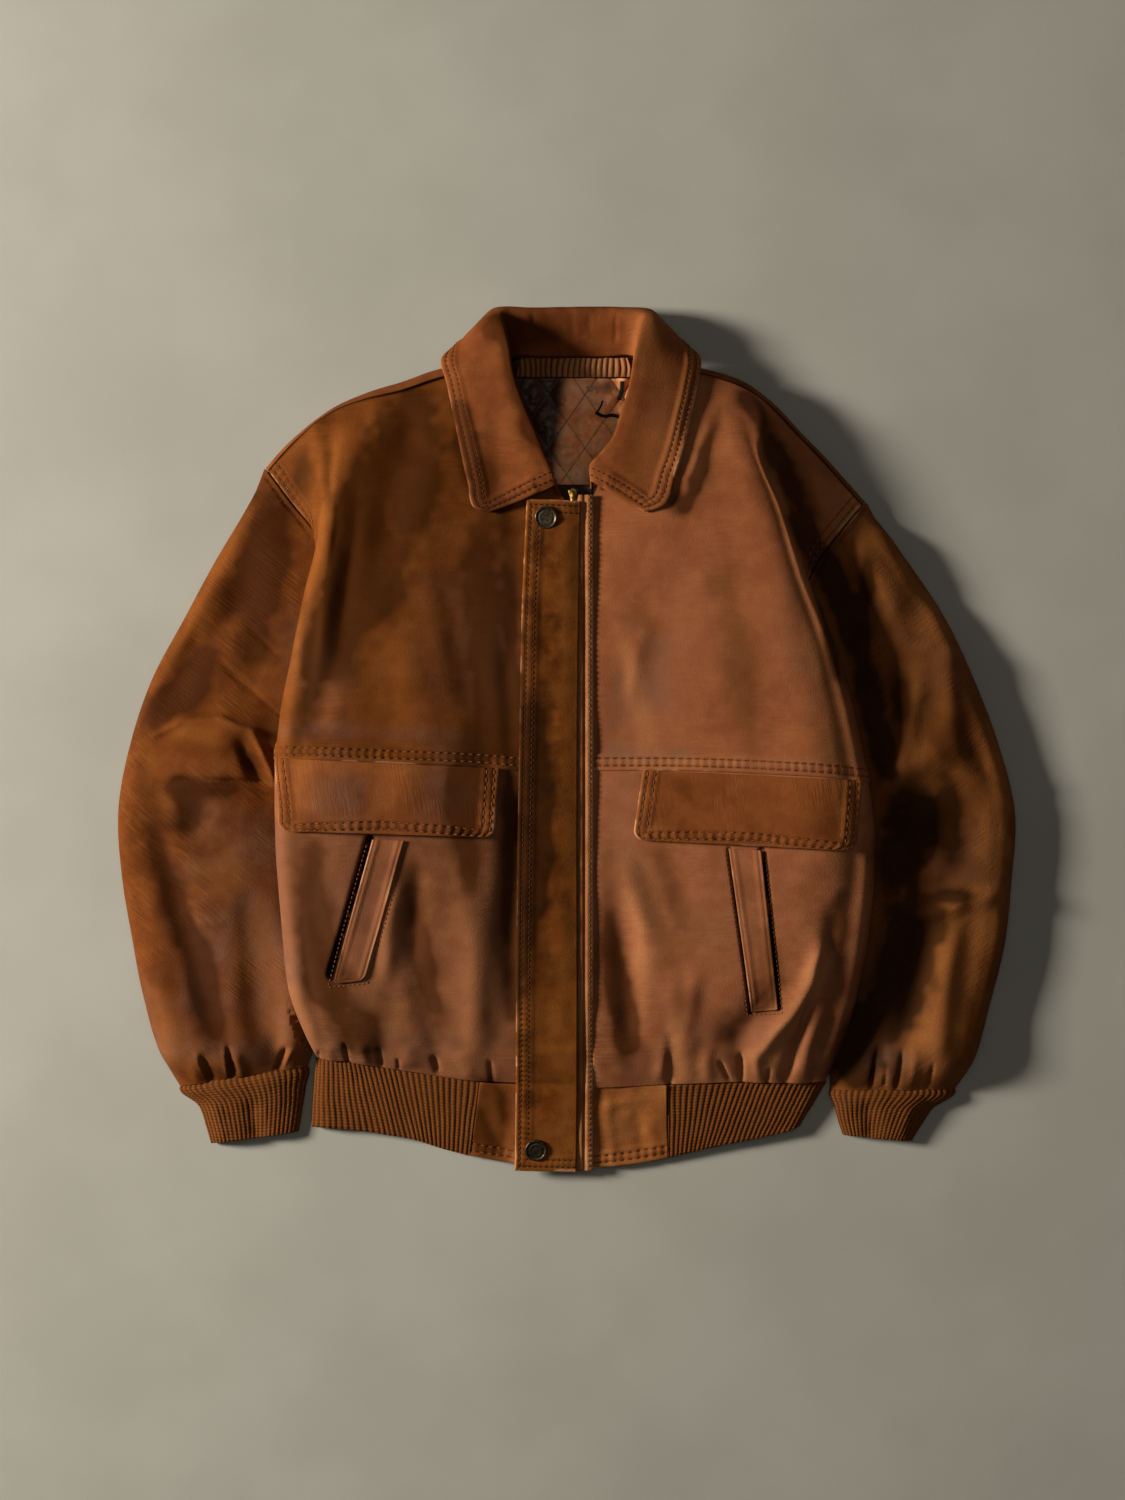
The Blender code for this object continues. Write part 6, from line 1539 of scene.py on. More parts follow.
def lathe(name: str, profile: tuple, centre: np.ndarray, normal: np.ndarray, count: int, finish: object,
          squash: float = 1.0) -> bpy.types.Object:
    """A turned piece: the radius and height of its profile, carried round a normal.

    Args: profile starts and ends on the axis; count is how many points go round; squash is how
    long the piece is down the jacket for its width.
    Returns: the piece.
    """
    n = unit(normal)
    u = unit(np.cross(n, (0, 1, 0)))
    w = np.cross(n, u)
    prof = np.asarray(profile, float)
    a = np.arange(count) * 2 * np.pi / count
    radius, height = prof[1:-1, :1], prof[1:-1, 1]
    rings = (centre + n * height[:, None, None] + u * (radius * np.cos(a))[..., None]
             + w * squash * (radius * np.sin(a))[..., None])
    return capped(name, rings, centre + n * prof[0, 1], centre + n * prof[-1, 1], finish)


@dataclass
class Fastening:
    """The zip under the fly, with its slider, and the two snaps that close the fly over it."""
    rows: int = 211
    columns: int = 13
    tape_left: float = -13
    tape_right: float = 22
    slider_y: float = 199.0

    def height(self, y: np.ndarray) -> np.ndarray:
        """Top of the zip tape at y: below the turned edge of the left front."""
        ys, zs = np.array(EDGE_STRIP).T
        return np.maximum(np.interp(y, ys[::-1], zs[::-1]) - 6.6, 1.2)

    def zip(self, tape: object, brass: object) -> None:
        """The tape, and a row of teeth down the middle, one tooth each side by turns.

        Args: tape and brass are their finishes.
        """
        shape = (self.rows, self.columns)
        xs = np.linspace(self.tape_left, self.tape_right, self.columns)
        ys = np.linspace(ZIP_TOP, ZIP_BOTTOM, self.rows)
        z = self.height(np.minimum(ys, self.slider_y))
        outer = np.stack([np.broadcast_to(xs, shape), np.broadcast_to(ys[:, None], shape),
                          np.broadcast_to(z[:, None], shape)], axis=-1)
        outer[..., 2] += 0.08 * np.sin(outer[..., 1] * 2.4)
        inner = outer - np.array([0, 0, TAPE])
        obj = cloth("zip_ribbon", outer, inner, tape, "zip_tape", np.zeros(shape + (3,)))
        places = np.arange(ZIP_FIRST_TOOTH, ZIP_BOTTOM, -TOOTH)
        side = np.where(np.arange(len(places)) % 2, 1.0, -1.0)
        plan = ((-2.4, -0.55), (0.5, -0.4), (0.5, 0.4), (-2.4, 0.55))
        box = np.array([(x, y, h) for h in (0.4, 2.4) for x, y in plan])
        c = np.stack([np.full(len(places), ZIP_X), places, self.height(places)], axis=1)
        turned = np.stack([side, np.ones_like(side), np.ones_like(side)], axis=1)
        verts = c[:, None] + box[None] * turned[:, None]
        quads = np.array([(0, 3, 2, 1), (4, 5, 6, 7), (0, 1, 5, 4), (1, 2, 6, 5), (2, 3, 7, 6), (3, 0, 4, 7)])
        shift = (np.arange(len(places)) * 8)[:, None, None]
        faces = quads[None] + shift
        flipped = np.where(side[:, None, None] < 0, faces[:, :, ::-1], faces)
        teeth = put_mesh("zip_teeth", verts.reshape(-1, 3), flipped.reshape(-1, 4), brass)
        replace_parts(teeth, "zip_chain")

    def slider(self, brass: object) -> None:
        """Its two plates joined at the front, with rounded shoulders and a bridge for the pull."""
        top = self.height(np.array([self.slider_y]))[0] + 2.6
        t = np.linspace(0, 1, 33)
        half = 2.2 + 1.9 * smooth(t, 0.25, 0.8) - 2.6 * smooth(t, 0.86, 1.0) ** 2
        y = 192.0 + 12.4 * t
        ring = np.linspace(0, 2 * np.pi, 25)[:-1]
        x = ZIP_X + half[:, None] * np.cos(ring)
        side = np.sign(np.sin(ring)) * np.abs(np.sin(ring)) ** 0.6
        z = top + 2.0 + (1.7 + 0.5 * np.sin(np.pi * t))[:, None] * side
        grid = np.stack([x, np.broadcast_to(y[:, None], x.shape), z], axis=-1)
        body = capped("slider_body", grid, grid[0].mean(axis=0), grid[-1].mean(axis=0) + (0, 0.8, 0), brass)
        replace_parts(body, "zip_slider")
        lathe("slider_bridge", ((0, 0), (1.5, 0), (1.7, 0.8), (1.2, 1.5), (0, 1.7)),
              np.array([ZIP_X, self.slider_y, top + 3.6]), np.array([0, 0.1, 1.0]), 20, brass,
              1.9)

    def snap(self, name: str, node: str, centre: np.ndarray, normal: np.ndarray, finish: object) -> None:
        """A cap with a rolled rim round a dished face and one plain raised ring on it."""
        profile = [(share * SNAP_RADIUS, high) for share, high in SNAP_PROFILE]
        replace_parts(lathe(name, profile, centre, normal, 64, finish), node)


# ---------------------------------------------------------------- finishes

def linear(code: str) -> tuple:
    """An sRGB hex colour as linear numbers with alpha: ((c + 0.055) / 1.055)^2.4 above 0.04045."""
    c = np.array([int(code[k:k + 2], 16) for k in (1, 3, 5)]) / 255
    c = np.where(c > 0.04045, ((c + 0.055) / 1.055) ** 2.4, c / 12.92)
    return tuple(float(v) for v in c) + (1.0,)


def add(tree: bpy.types.NodeTree, kind: str, inputs: dict = None, **settings: object) -> bpy.types.Node:
    """Add a node to a tree.

    Args: inputs are values, or sockets to link, by name or number; settings are the node's own.
    Returns: the node.
    """
    node = tree.nodes.new(kind)
    for key, value in settings.items():
        setattr(node, key, value)
    for key, value in (inputs or {}).items():
        if isinstance(value, bpy.types.NodeSocket):
            tree.links.new(value, node.inputs[key])
        else:
            node.inputs[key].default_value = value
    return node


@functools.cache
def made(finish: object) -> bpy.types.Material:
    """The material of a finish, built when it is first asked for."""
    return finish.build(Graph(finish.name))


class Graph:
    """One material's node tree, with short ways to write sums, mixes and patterns."""

    def __init__(self, name: str) -> None:
        """An empty tree with its shader and its output."""
        self.material = bpy.data.materials.new(name)
        self.material.use_nodes = True
        self.tree = self.material.node_tree
        self.shader = self.tree.nodes["Principled BSDF"]
        place = add(self.tree, "ShaderNodeTexCoord").outputs["Object"]
        self.mm = add(self.tree, "ShaderNodeVectorMath", {0: place, "Scale": 1 / MM},
                      operation="SCALE").outputs[0]

    def sum(self, kind: str, a: object, b: object = 0.0, clamp: bool = False) -> bpy.types.NodeSocket:
        """One arithmetic step."""
        return add(self.tree, "ShaderNodeMath", {0: a, 1: b, 2: 0.0}, operation=kind,
                   use_clamp=clamp).outputs[0]

    def times(self, a: object, b: object, clamp: bool = False) -> bpy.types.NodeSocket:
        """a x b."""
        return self.sum("MULTIPLY", a, b, clamp)

    def plus(self, a: object, b: object, clamp: bool = False) -> bpy.types.NodeSocket:
        """a + b."""
        return self.sum("ADD", a, b, clamp)

    def mix(self, by: object, a: object, b: object, how: str = "MIX") -> bpy.types.NodeSocket:
        """One colour mixed into another."""
        node = add(self.tree, "ShaderNodeMix", {0: by, 6: a, 7: b}, data_type="RGBA", blend_type=how)
        return node.outputs[2]

    def ramp(self, value: object, low: float, high: float, to_low: float = 0.0,
             to_high: float = 1.0) -> bpy.types.NodeSocket:
        """A value eased from one range to another."""
        return add(self.tree, "ShaderNodeMapRange", {"Value": value, "From Min": low, "From Max": high,
                                                      "To Min": to_low, "To Max": to_high},
                   interpolation_type="SMOOTHSTEP").outputs[0]

    def cloud(self, size: float, detail: float = 3.0, stretch: tuple = (1, 1, 1), turn: float = 0.0,
              rough: float = 0.55, shift: float = 0.0) -> bpy.types.NodeSocket:
        """Noise whose lumps are about size mm.

        Args: stretch draws it out along each axis, turn turns it about Z, and shift moves it, so
        that no two patterns agree.
        Returns: a value from 0 to 1.
        """
        scale = tuple(1.0 / (size * s) for s in stretch)
        moved = add(self.tree, "ShaderNodeVectorRotate", {0: self.mm, 1: (shift, shift, 0), 3: turn},
                    rotation_type="Z_AXIS").outputs[0] if turn else self.mm
        at = add(self.tree, "ShaderNodeMapping", {0: moved, 1: (shift, shift * 0.7, 0), 3: scale}).outputs[0]
        return add(self.tree, "ShaderNodeTexNoise", {"Vector": at, "Scale": 1.0, "Detail": detail,
                                                      "Roughness": rough}).outputs[0]

    def painted(self, name: str) -> list:
        """The three parts of a value painted on the points."""
        value = add(self.tree, "ShaderNodeAttribute", attribute_name=name).outputs["Vector"]
        return list(add(self.tree, "ShaderNodeSeparateXYZ", {0: value}).outputs)

    def bump(self, height: object, deep: float, under: object = None) -> bpy.types.NodeSocket:
        """Surface relief, deep mm from its lowest to its highest."""
        inputs = {"Height": height, "Distance": deep * MM, "Strength": 1.0}
        if under is not None:
            inputs["Normal"] = under
        return add(self.tree, "ShaderNodeBump", inputs).outputs[0]

    def finish(self, colour: object, rough: object, normal: object = None,
               **fixed: object) -> bpy.types.Material:
        """Join colour, roughness and relief to the shader.

        Args: each is a value or a socket to link; fixed are sockets that are set by value.
        Returns: the material.
        """
        for socket, value in (("Base Color", colour), ("Roughness", rough), ("Normal", normal)):
            if isinstance(value, bpy.types.NodeSocket):
                self.tree.links.new(value, self.shader.inputs[socket])
            elif value is not None:
                self.shader.inputs[socket].default_value = value
        for socket, value in fixed.items():
            self.shader.inputs[socket.replace("_", " ")].default_value = value
        return self.material


@dataclass(frozen=True)
class Leather:
    """Waxed pull-up cowhide, drummed soft: hazel where it is rubbed and where a highlight is painted, with
    painted shade in creases, hollows and cast shadows.

    base, dark and light are its hues, the light one also that of painted highlights; its grey hue is
    that of a painted grey sky sheen on worn places, and its very dark shade hue that of painted shade
    and cast shadows; rim is that of a rubbed edge, furrow that of the painted shade in the deepest
    creases, and hole that of the painted shade in the needle holes; nap is how far it is buffed to
    nubuck, which softens its shine; turn is the way that its fine lines run, lines how strong they
    are, and mottle how much of the light hue comes through.
    """
    name: str
    base: str = "#7c4319"
    dark: str = "#5c2f10"
    light: str = "#a05f2e"
    grey: str = "#644434"
    oiled: str = "#381a05"
    rim: str = "#bd8a66"
    furrow: str = "#140804"
    hole: str = "#220f06"
    rough: float = 0.62
    nap: float = 0.0
    turn: float = 0.0
    lines: float = 0.5
    mottle: float = 0.22

    def build(self, g: Graph) -> bpy.types.Material:
        """Its nodes."""
        wear_and_highlight, sheen_on_wear, deep = g.painted("tone")
        count, rows, strong = g.painted("seam")
        patches = g.ramp(g.cloud(70 - 40 * self.nap, 3.0), 0.38, 0.66)
        mottle = g.ramp(g.cloud(14, 4.0, shift=31), 0.35, 0.7)
        speck = g.cloud(1.6, 2.0, shift=77)
        lines = g.ramp(g.cloud(1.5, 2.5, (13, 1, 6), self.turn, shift=11), 0.36, 0.66)
        pulled = g.ramp(g.cloud(40, 2.0, shift=5), 0.42, 0.62)
        lined = g.times(lines, g.times(pulled, self.lines))
        colour = g.mix(g.times(patches, 0.55 + 0.4 * self.nap), linear(self.base), linear(self.dark))
        colour = g.mix(g.times(mottle, self.mottle), colour, linear(self.light))
        colour = g.mix(g.times(lined, 0.35), colour, linear(self.light))
        # Painted grey sky sheen on worn places.
        sheen_on_wear_by = g.times(sheen_on_wear, g.ramp(mottle, -0.4, 0.8, 0.55, 1.0), clamp=True)
        colour = g.mix(g.times(sheen_on_wear_by, 0.85), colour, linear(self.grey))
        # Painted highlights on lit ridges together with rubbed wear, lightened unevenly.
        scuffed = g.times(wear_and_highlight, g.ramp(speck, 0.3, 0.62, 0.55, 1.0), clamp=True)
        colour = g.mix(g.times(scuffed, 0.8), colour, linear(self.light))
        edge = g.ramp(wear_and_highlight, 0.72, 1.0)
        colour = g.mix(g.times(edge, 0.6), colour, linear(self.rim))
        colour = g.mix(g.ramp(speck, 0.55, 0.72, 0, 0.22), colour, linear(self.dark))
        # Painted shade and cast shadows, darkest in the deepest creases.
        colour = g.mix(g.times(deep, 0.88, clamp=True), colour, linear(self.oiled))
        colour = g.mix(g.ramp(deep, 0.95, 1.4), colour, linear(self.furrow))
        # Painted shade in the needle holes and along the stitch grooves.
        hole = self.holes(g, count, rows, strong)
        colour = g.mix(hole, colour, linear(self.hole))
        pebble = add(g.tree, "ShaderNodeTexVoronoi", {"Vector": g.mm, "Scale": 0.62, "Randomness": 1.0},
                     feature="DISTANCE_TO_EDGE").outputs[0]
        grain = g.times(g.ramp(pebble, 0.0, 0.25), 0.5)
        height = g.plus(grain, g.times(lined, 1.6))
        height = g.plus(height, g.times(speck, 0.5))
        height = g.sum("SUBTRACT", height, g.times(hole, 2.0))
        normal = g.bump(height, 0.16)
        rough = g.plus(g.times(mottle, 0.10), self.rough - 0.03)
        rough = g.plus(rough, g.times(wear_and_highlight, 0.12), clamp=True)
        return g.finish(colour, rough, normal, Specular_IOR_Level=0.05 - 0.02 * self.nap,
                        Specular_Tint=linear("#f0b080"), Sheen_Weight=0.1 * self.nap, Sheen_Roughness=0.5,
                        Sheen_Tint=linear("#a9653a"))

    @staticmethod
    def holes(g: Graph, count: object, rows: object, strong: object) -> object:
        """Needle holes as painted shade: dark spots where the stitch count is whole, on one row or on both,
        with a faint painted shade along each row's groove.

        Args: count, rows and strong are the parts of the seam value.
        Returns: how dark it is, from 0 to 1.
        """
        share = g.sum("SUBTRACT", g.sum("FRACT", g.plus(count, 0.5)), 0.5)
        along = g.times(g.sum("ABSOLUTE", share), PITCH)
        spots = []
        for row, gate in ((0.0, 0.2), (1.0, 0.75)):
            away = g.times(g.sum("SUBTRACT", rows, row), ROW_GAP)
            r = g.sum("SQRT", g.plus(g.times(along, along), g.times(away, away)))
            groove = g.ramp(g.sum("ABSOLUTE", away), 0.3, 1.6, 0.16, 0.0)
            spot = g.sum("MAXIMUM", g.ramp(r, 0.4, 1.2, 0.6, 0.0), groove)
            spots.append(g.times(spot, g.ramp(strong, gate, gate + 0.1)))
        return g.sum("MAXIMUM", spots[0], spots[1], clamp=True)


@dataclass(frozen=True)
class RibKnit:
    """Wool and acrylic rib, dyed to match: matt and fuzzy, with painted highlights on the ridges and painted
    shade in the furrows and between the rows of loops.
    """
    name: str = "rib_knit_wool"

    def build(self, g: Graph) -> bpy.types.Material:
        """Its nodes."""
        worn, _, deep = g.painted("tone")
        _, down, _ = g.painted("seam")
        loop = g.ramp(g.sum("ABSOLUTE", g.sum("SUBTRACT", g.sum("FRACT", down), 0.5)), 0.12, 0.5)
        fuzz = g.cloud(1.3, 3.0, rough=0.7)
        colour = g.mix(g.ramp(fuzz, 0.3, 0.7), linear("#53290c"), linear("#744012"))
        # Painted highlight on the ridges, made uneven by noise.
        colour = g.mix(g.times(worn, 0.35), colour, linear("#8f5420"))
        # Painted shade between the rows of loops.
        colour = g.mix(g.times(loop, 0.25), colour, linear("#42220c"))
        # Painted shade in the furrows.
        colour = g.mix(g.times(deep, 0.8, clamp=True), colour, linear("#26120a"))
        normal = g.bump(g.plus(g.times(loop, -0.8), fuzz), 0.4)
        return g.finish(colour, 0.92, normal, Specular_IOR_Level=0.1, Sheen_Weight=0.08,
                        Sheen_Tint=linear("#c07a40"))


@dataclass(frozen=True)
class Satin:
    """Quilted acetate satin: a soft broken shine on its crumples. Its hues are painted lighter than the
    brown-orange satin itself, as painted light in the shaded neck.
    """
    name: str = "quilted_satin"
    base: str = "#ffb674"

    def build(self, g: Graph) -> bpy.types.Material:
        """Its nodes."""
        worn, _, deep = g.painted("tone")
        crumple = g.cloud(7, 4.0, rough=0.65)
        colour = g.mix(g.ramp(crumple, 0.3, 0.7), linear("#e88444"), linear(self.base))
        colour = g.mix(worn, colour, linear("#ffc492"))
        # Painted shade on the quilting lines and the collar's painted shadow over the lining's left part, with
        # a dark spot by the torn label.
        colour = g.mix(g.times(deep, 0.95, clamp=True), colour, linear("#1c0c05"))
        normal = g.bump(crumple, 1.2)
        return g.finish(colour, 0.38, normal, Specular_IOR_Level=0.25, Sheen_Weight=0.05)


@dataclass(frozen=True)
class Metal:
    """Plated brass or darkened bronze, tarnished darker in small random patches."""
    name: str
    base: str
    dark: str
    rough: float

    def build(self, g: Graph) -> bpy.types.Material:
        """Its nodes."""
        tarnish = g.ramp(g.cloud(2.2, 4.0), 0.35, 0.68)
        colour = g.mix(tarnish, linear(self.base), linear(self.dark))
        rough = g.plus(g.times(tarnish, 0.2), self.rough)
        return g.finish(colour, rough, g.bump(g.cloud(0.7, 2.0), 0.04), Metallic=1.0)


@dataclass(frozen=True)
class Plain:
    """Thread or woven tape: one dyed yarn, matt, with its twist as a fine mottle."""
    name: str
    base: str
    dark: str
    size: float = 0.8

    def build(self, g: Graph) -> bpy.types.Material:
        """Its nodes."""
        twist = g.cloud(self.size, 2.0)
        colour = g.mix(g.ramp(twist, 0.3, 0.7), linear(self.base), linear(self.dark))
        return g.finish(colour, 0.8, g.bump(twist, 0.1), Specular_IOR_Level=0.25)


def hide(place: str, base: str, dark: str, light: str, **more: object) -> Leather:
    """The blouson's cowhide as it has worn in one place."""
    return Leather("pull_up_cowhide_" + place, base, dark, light, **more)


LOWER = {"right": hide("lower_right", "#78472c", "#5a341b", "#9e643d"),
         "left": hide("lower_left", "#8a5031", "#6c3b20", "#ae7146")}
# The wearer's right chest and right sleeve are darker copies of the hides on the left: painted shade. The very
# dark hue given to each is that of its painted shade and cast shadows, darkest on the left sleeve where the
# body's shadow falls.
CHEST = {"right": hide("chest_right_shaded", "#643310", "#482207", "#8a4e20", oiled="#2c1303"),
         "left": hide("chest_left", "#854a2a", "#6b3a1e", "#a7683c", oiled="#1c0b03")}
ARM = {"right": hide("sleeve_right", "#5c2d0e", "#401c06", "#844a1e", grey="#74503c", oiled="#2c1204",
                     lines=0.9, turn=0.66),
       "left": hide("sleeve_left", "#683917", "#512c11", "#9c5e2e", oiled="#180a02", lines=0.55, turn=-0.66,
                    mottle=0.14)}
BACK_HIDE = hide("back", "#6f3b19", "#54290f", "#935527")
COLLAR_HIDE = hide("collar", "#70391a", "#542a11", "#9c5c30")
FLAP_HIDE = hide("flap", "#703b19", "#572a0f", "#98592c", nap=0.4, turn=1.4)
# The turned edge's hues are lighter than the fronts': painted highlight on its lit folds.
EDGE_HIDE = hide("turned_edge_lit", "#834c29", "#633719", "#b27c4e")
TAB_HIDE = hide("tab", "#84481f", "#653213", "#ac6c3a")
NECK_HIDE = hide("neck", "#8a5330", "#6a3a1c", "#b98355")
NUBUCK = Leather("nubuck_fly", "#62310f", "#3e1d06", "#8a5020", oiled="#1e0e04", rough=0.8, nap=1.0,
                 lines=0.2, mottle=0.4)
THREAD = Plain("polyester_topstitch_thread", "#834820", "#573014")
THREAD_DARK = Plain("polyester_thread_dark", "#4a260d", "#2c1506")
LABEL_TAPE = Plain("woven_label_tape", "#1d211a", "#0f120e")
FRAYED = Plain("frayed_yarn", "#c2a892", "#8d7460")
LOOSE_THREAD = Plain("loose_thread_end", "#b86a24", "#8a4a16")
ZIP_COTTON = Plain("woven_cotton_tape", "#3a2519", "#21140d")
BRASS = Metal("plated_brass", "#c79a4a", "#7a5622", 0.32)
SLIDER_BRASS = Metal("plated_brass_slider", "#a07a3a", "#664618", 0.36)
BRONZE = Metal("antique_bronze_cap", "#5a4c36", "#2c2419", 0.42)


# ---------------------------------------------------------------- the whole blouson

def fly_rows() -> list:
    """Rows of the fly: its two edges, a crown between them, and a slight droop to the right."""
    rows = []
    for y, left, right, z_left, z_mid, z_right in FLY:
        middle = (left + right) / 2
        rows.append(((left, y, z_left), (left + 9, y - 0.2, z_left + 0.5), (middle, y - 0.6, z_mid + 0.4),
                     (right - 12, y - 1.0, z_mid), (right, y - 1.4, z_right)))
    return rows


@dataclass
class Placket:
    """The fly over the zip, the turned edge of the left front beside it, and the hem tabs."""

    def fly(self, finish: object) -> np.ndarray:
        """The fly: doubled leather with two rows along its free edge and its ends."""
        us, vs = spaced(0, 4, 40, 1.6, 1.2), spaced(0, 13, 463, 1.6, 1.6)
        trims = tuple(Trim(side, 4.2, True, roll, pucker, FINE_PITCH) for side, roll, pucker in (
            (Side.FIRST, 1.0, 0.30), (Side.TOP, 0.7, 0.25), (Side.BOTTOM, 0.7, 0.25)))
        return strip("fly_leaf", "fly", fly_rows(), us, vs, trims, finish, 81,
                     0.16, FLY_CREASES, THREAD_DARK)

    def edge_strip(self, finish: object) -> np.ndarray:
        """The left front's edge: two rounded folds with a dark furrow between, and one row of stitches."""
        rows = [[(x, y, z + dz) for x, dz in STRIP_SHOWN] for y, z in EDGE_STRIP]
        us, vs = np.linspace(0, 6, 43), np.linspace(0, len(EDGE_STRIP) - 1, 400)
        trims = (Trim(Side.LAST, 3.2, False, 0.5, 0.2, FINE_PITCH),)
        return strip("edge_leaf", "edge_strip_left", rows, us, vs, trims, finish, 83,
                     0.16, STRIP_CREASES)

    def tabs(self, finish: object) -> None:
        """The two tabs that close the hem below the fronts."""
        us, vs = spaced(0, 2, 52, 1.4, 1.4), spaced(0, 2, 61, 1.4, 1.4)
        for hand, table, seed, creases, under in (
                ("right", TAB_RIGHT, 85, TAB_CREASES_RIGHT, "fly"),
                ("left", TAB_LEFT, 87, TAB_CREASES_LEFT, "edge_strip_left")):
            strip("tab_" + hand, "hem_tab_" + hand, table, us, vs, (Trim(Side.BOTTOM, 5.0, True, 0.9, 0.35),),
                  finish, seed, 0.4, creases)


@dataclass
class Pockets:
    """A flap and a welt pocket on each front."""
    right: Front
    left: Front

    def make(self, flap: object, welt: object) -> None:
        """Flaps hang from under the yoke edge; each welt's opening edge is turned and pale.

        Args: flap and welt are their finishes.
        """
        right, left, sides = self.right, self.left, (Side.FIRST, Side.LAST, Side.BOTTOM)
        heavy = tuple(Trim(side, 4.4, True, roll, pucker)
                      for side, roll, pucker in zip(sides, (1.0, 1.0, 1.2), (0.42, 0.42, 0.5)))
        plain = tuple(Trim(side, 2.4, False, 0.7, 0.0, thread=False) for side in sides)
        Overlay("flap_right", "pocket_flap_right", right, FLAP_RIGHT, 9.0, 70, 145, 1.5, DOUBLE, 91,
                (0.180, 0.064), 1.6, 0.8, 1.6).make(heavy, flap)
        Overlay("flap_left", "pocket_flap_left", left, FLAP_LEFT, 9.0, 70, 145, 1.5, DOUBLE, 93,
                (0.180, 0.064), 1.4, 0.8, 0.0).make(heavy, flap)
        Overlay("welt_right", "pocket_welt_right", right, WELT_RIGHT, 6.0, 91, 40, 0.5, 1.4, 95,
                (0.12, 0.026)).make(plain, welt)
        Overlay("welt_left", "pocket_welt_left", left, WELT_LEFT, 1.5, 100, 40, 0.5, 1.4, 97,
                (0.137, 0.026)).make(plain, welt)
        self.round_welt("welt_round_right", "front_lower_right", right, WELT_RIGHT)
        self.round_welt("welt_round_left", "front_lower_left", left, WELT_LEFT)

    @staticmethod
    def round_welt(name: str, node: str, front: Front, corners: tuple) -> None:
        """Small stitches through the front, 3 mm outside the long edges and the bottom of a welt.

        Args: node is the front's piece that they are part of; corners are the welt's.
        """
        tl, tr, br, bl = (np.asarray(c, float) for c in corners)
        across, down = unit(tr - tl), unit(bl - tl)
        path = np.array((tl - across * 3.4, bl - across * 3.4 + down * 3, br + across * 3.0 + down * 3,
                         tr + across * 3.0))
        run = lengths(path)
        at = np.arange(4, run[-1] - 4, 1.3)
        p, n = front.place(np.interp(at, run, path[:, 0]), np.interp(at, run, path[:, 1]))
        sewn(name, [(p, n)], 3.9, THREAD, 0.8)


def seat(points: np.ndarray, x: float, y: float) -> tuple:
    """The nearest place of a grid to x, y, and the mean normal round it, turned up.

    Args: points is (rows, columns, 3).
    Returns: two vectors.
    """
    n = normals(points)
    flat = np.hypot(points[..., 0] - x, points[..., 1] - y)
    k = np.unravel_index(flat.argmin(), flat.shape)
    window = (slice(max(k[0] - 3, 0), k[0] + 4), slice(max(k[1] - 3, 0), k[1] + 4))
    mean = n[window].reshape(-1, 3).mean(axis=0)
    return np.array([x, y, points[window][..., 2].mean()]), unit(mean * (1 if mean[2] > 0 else -1))


# ---------------------------------------------------------------- stage

@dataclass
class Stage:
    """Pale studio floor, one large soft key from the left, a weak sky, and the camera above."""
    floor: str = "#9f998a"
    key_way: tuple = (-0.89, 0.14, 0.43)
    key_far: float = 3.0
    key_size: float = 0.6
    key_watts: float = 174.0
    sky: float = 0.05
    fill_watts: float = 8.0
    half_floor: float = 3000
    floor_level: float = -0.6
    eye: tuple = (-0.0033, -0.0083, 2.248)

    def make(self) -> None:
        """Build them all."""
        g = Graph("painted_studio_floor")
        shade = g.ramp(g.cloud(160, 3.0), 0.3, 0.7)
        colour = g.mix(shade, linear(self.floor), linear("#989283"))
        corners = ((-1, -1), (1, -1), (1, 1), (-1, 1))
        verts = np.array([(x * self.half_floor, y * self.half_floor, self.floor_level) for x, y in corners])
        mesh = bpy.data.meshes.new("studio_floor")
        mesh.from_pydata((verts * MM).tolist(), [], [(0, 1, 2, 3)])
        mesh.materials.append(g.finish(colour, 0.9, g.bump(g.cloud(2.0, 3.0), 0.05)))
        floor = bpy.data.objects.new("studio_floor", mesh)
        bpy.context.scene.collection.objects.link(floor)
        self.light()
        self.camera()

    def light(self) -> None:
        """The key, a weak soft fill from above, and a faint sky."""
        lamp = bpy.data.lights.new("key", "AREA")
        lamp.energy, lamp.size = self.key_watts, self.key_size
        lamp.color = (1.0, 0.985, 0.96)
        key = bpy.data.objects.new("key", lamp)
        way = unit(np.array(self.key_way))
        key.location = tuple(way * self.key_far)
        key.rotation_euler = Vector(tuple(way)).to_track_quat("Z", "Y").to_euler()
        bpy.context.scene.collection.objects.link(key)
        lamp = bpy.data.lights.new("fill", "AREA")
        lamp.energy, lamp.size = self.fill_watts, 1.5
        fill = bpy.data.objects.new("fill", lamp)
        fill.location = (0.1, 0.3, 3.0)
        bpy.context.scene.collection.objects.link(fill)
        world = bpy.data.worlds.new("sky")
        world.use_nodes = True
        back = world.node_tree.nodes["Background"]
        back.inputs[0].default_value = (0.96, 0.98, 1.0, 1.0)
        back.inputs[1].default_value = self.sky
        bpy.context.scene.world = world
        bpy.context.scene.view_settings.view_transform = "Standard"

    def camera(self) -> None:
        """Straight above the middle of the jacket, far enough off that its depth barely shows."""
        data = bpy.data.cameras.new("camera")
        data.sensor_fit, data.sensor_width, data.lens = "VERTICAL", 36.0, 65.0
        data.sensor_height = 36.0
        cam = bpy.data.objects.new("camera", data)
        cam.location = self.eye
        bpy.context.scene.collection.objects.link(cam)
        bpy.context.scene.camera = cam


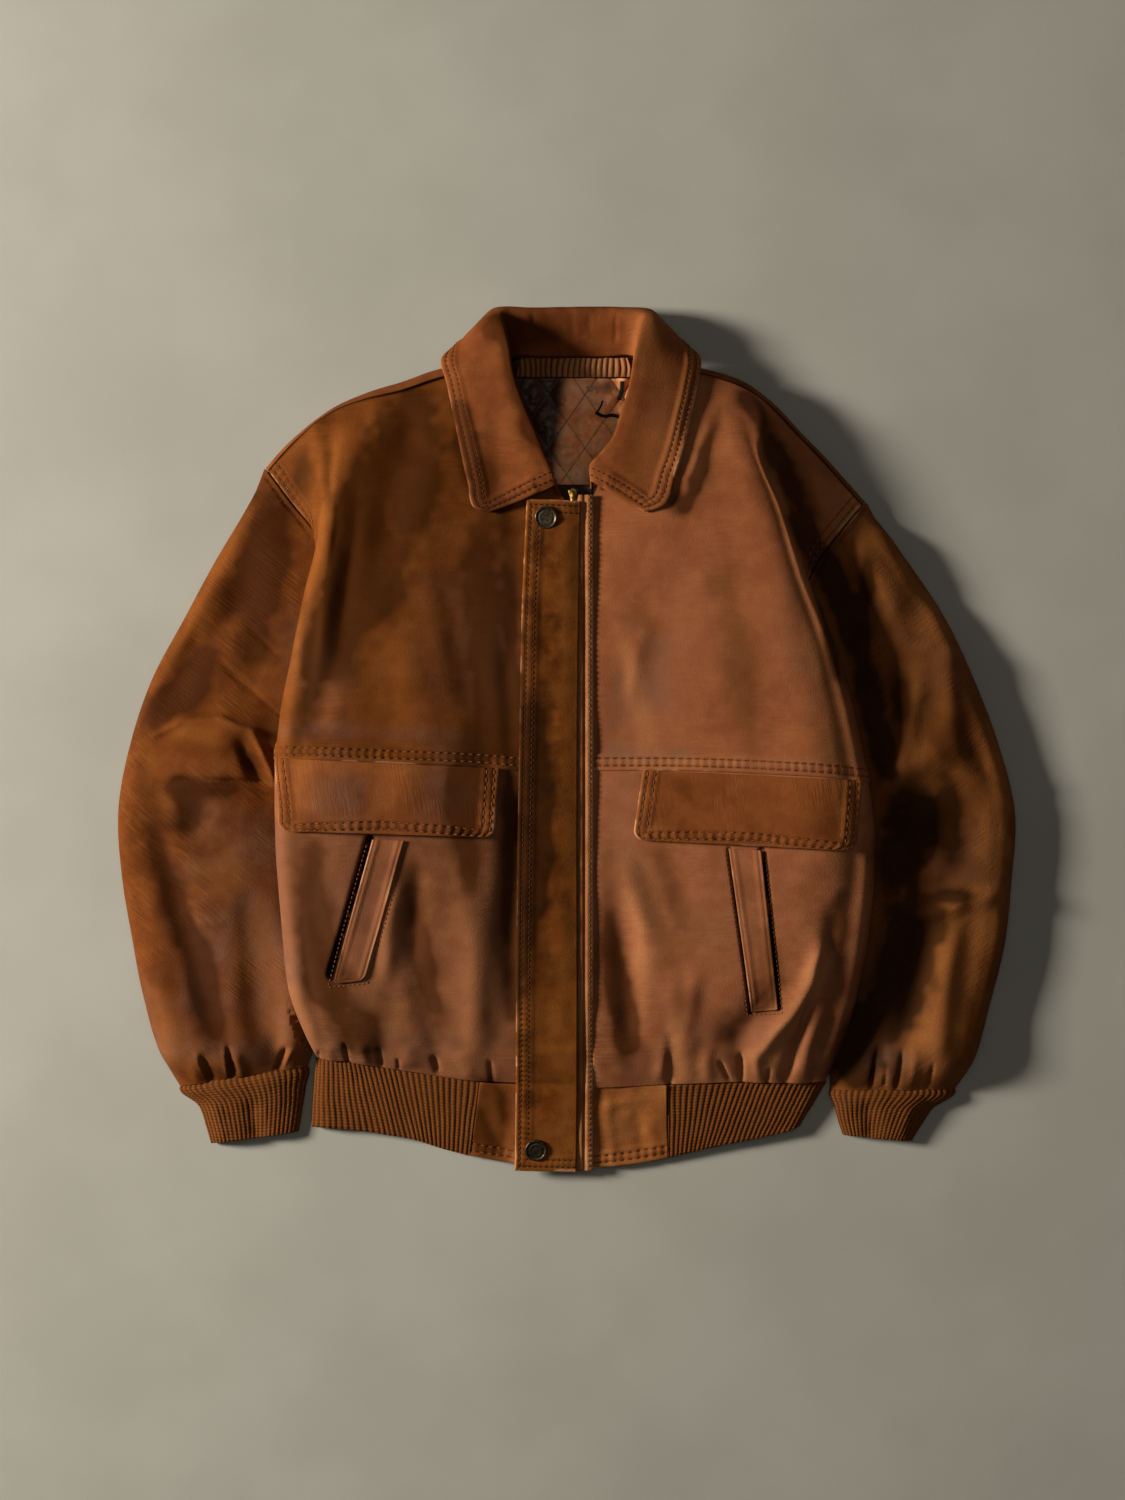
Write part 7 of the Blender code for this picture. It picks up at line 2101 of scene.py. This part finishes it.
def main() -> None:
    """Build the blouson from the body outwards, then the stage."""
    logging.basicConfig(level=logging.INFO, format="%(name)s %(message)s")
    right = Front(FRONT_RIGHT, 1, CREASES_RIGHT, SLITS_RIGHT, 3)
    left = Front(FRONT_LEFT, -1, CREASES_LEFT, SLITS_LEFT, 7)
    upper = (Trim(Side.BOTTOM, 4.4, True, 1.6, 0.45), Trim(Side.LAST, 4.4, True, 1.0, 0.35, span=(0.0, 0.83)))
    for front, hand in ((right, "right"), (left, "left")):
        front.make("upper_" + hand, "front_upper_" + hand, spaced(0, UPPER_END, 184, 1.4, 2.2), upper,
                   CHEST[hand], (0.30, 0.33), 0.085)
        front.make("lower_" + hand, "front_lower_" + hand, spaced(LOWER_START, 11, 181, 1.0, 1.4), (),
                   LOWER[hand], (0.30, 0.27), 0.075)
    table = Back(right, left).make(BACK_HIDE)
    under = HeightMap([p[:, 100:] for p in right.shown + left.shown], lowest=True)
    sleeve_right = Sleeve(SLEEVE_RIGHT, right, table, CREASES_SLEEVE_RIGHT, 11)
    sleeve_right.make("sleeve_skin_right", "sleeve_right", under, ARM["right"])
    sleeve_left = Sleeve(SLEEVE_LEFT, left, table, CREASES_SLEEVE_LEFT, 13)
    sleeve_left.make("sleeve_skin_left", "sleeve_left", under, ARM["left"])
    over = HeightMap([p[:, :130] for p in right.shown + left.shown])
    Collar().make(over, COLLAR_HIDE)
    placket = Placket()
    fly = placket.fly(NUBUCK)
    placket.edge_strip(EDGE_HIDE)
    placket.tabs(TAB_HIDE)
    Pockets(right, left).make(FLAP_HIDE, LOWER["left"])
    knit, wool = Knit(), RibKnit()
    knit.hem(wool)
    knit.cuff("cuff_knit_right", "cuff_right", CUFF_RIGHT, 43, CUFF_DENTS_RIGHT, wool)
    knit.cuff("cuff_knit_left", "cuff_left", CUFF_LEFT, 45, CUFF_DENTS_LEFT, wool)
    inside = Inside()
    inside.lining(Satin())
    inside.binding(NECK_HIDE)
    closing = Fastening()
    closing.zip(ZIP_COTTON, BRASS)
    closing.slider(SLIDER_BRASS)
    for name, node, x, y in SNAPS:
        closing.snap(name, node, *seat(fly, x, y), BRONZE)
    Stage().make()


if __name__ == "__main__":
    main()
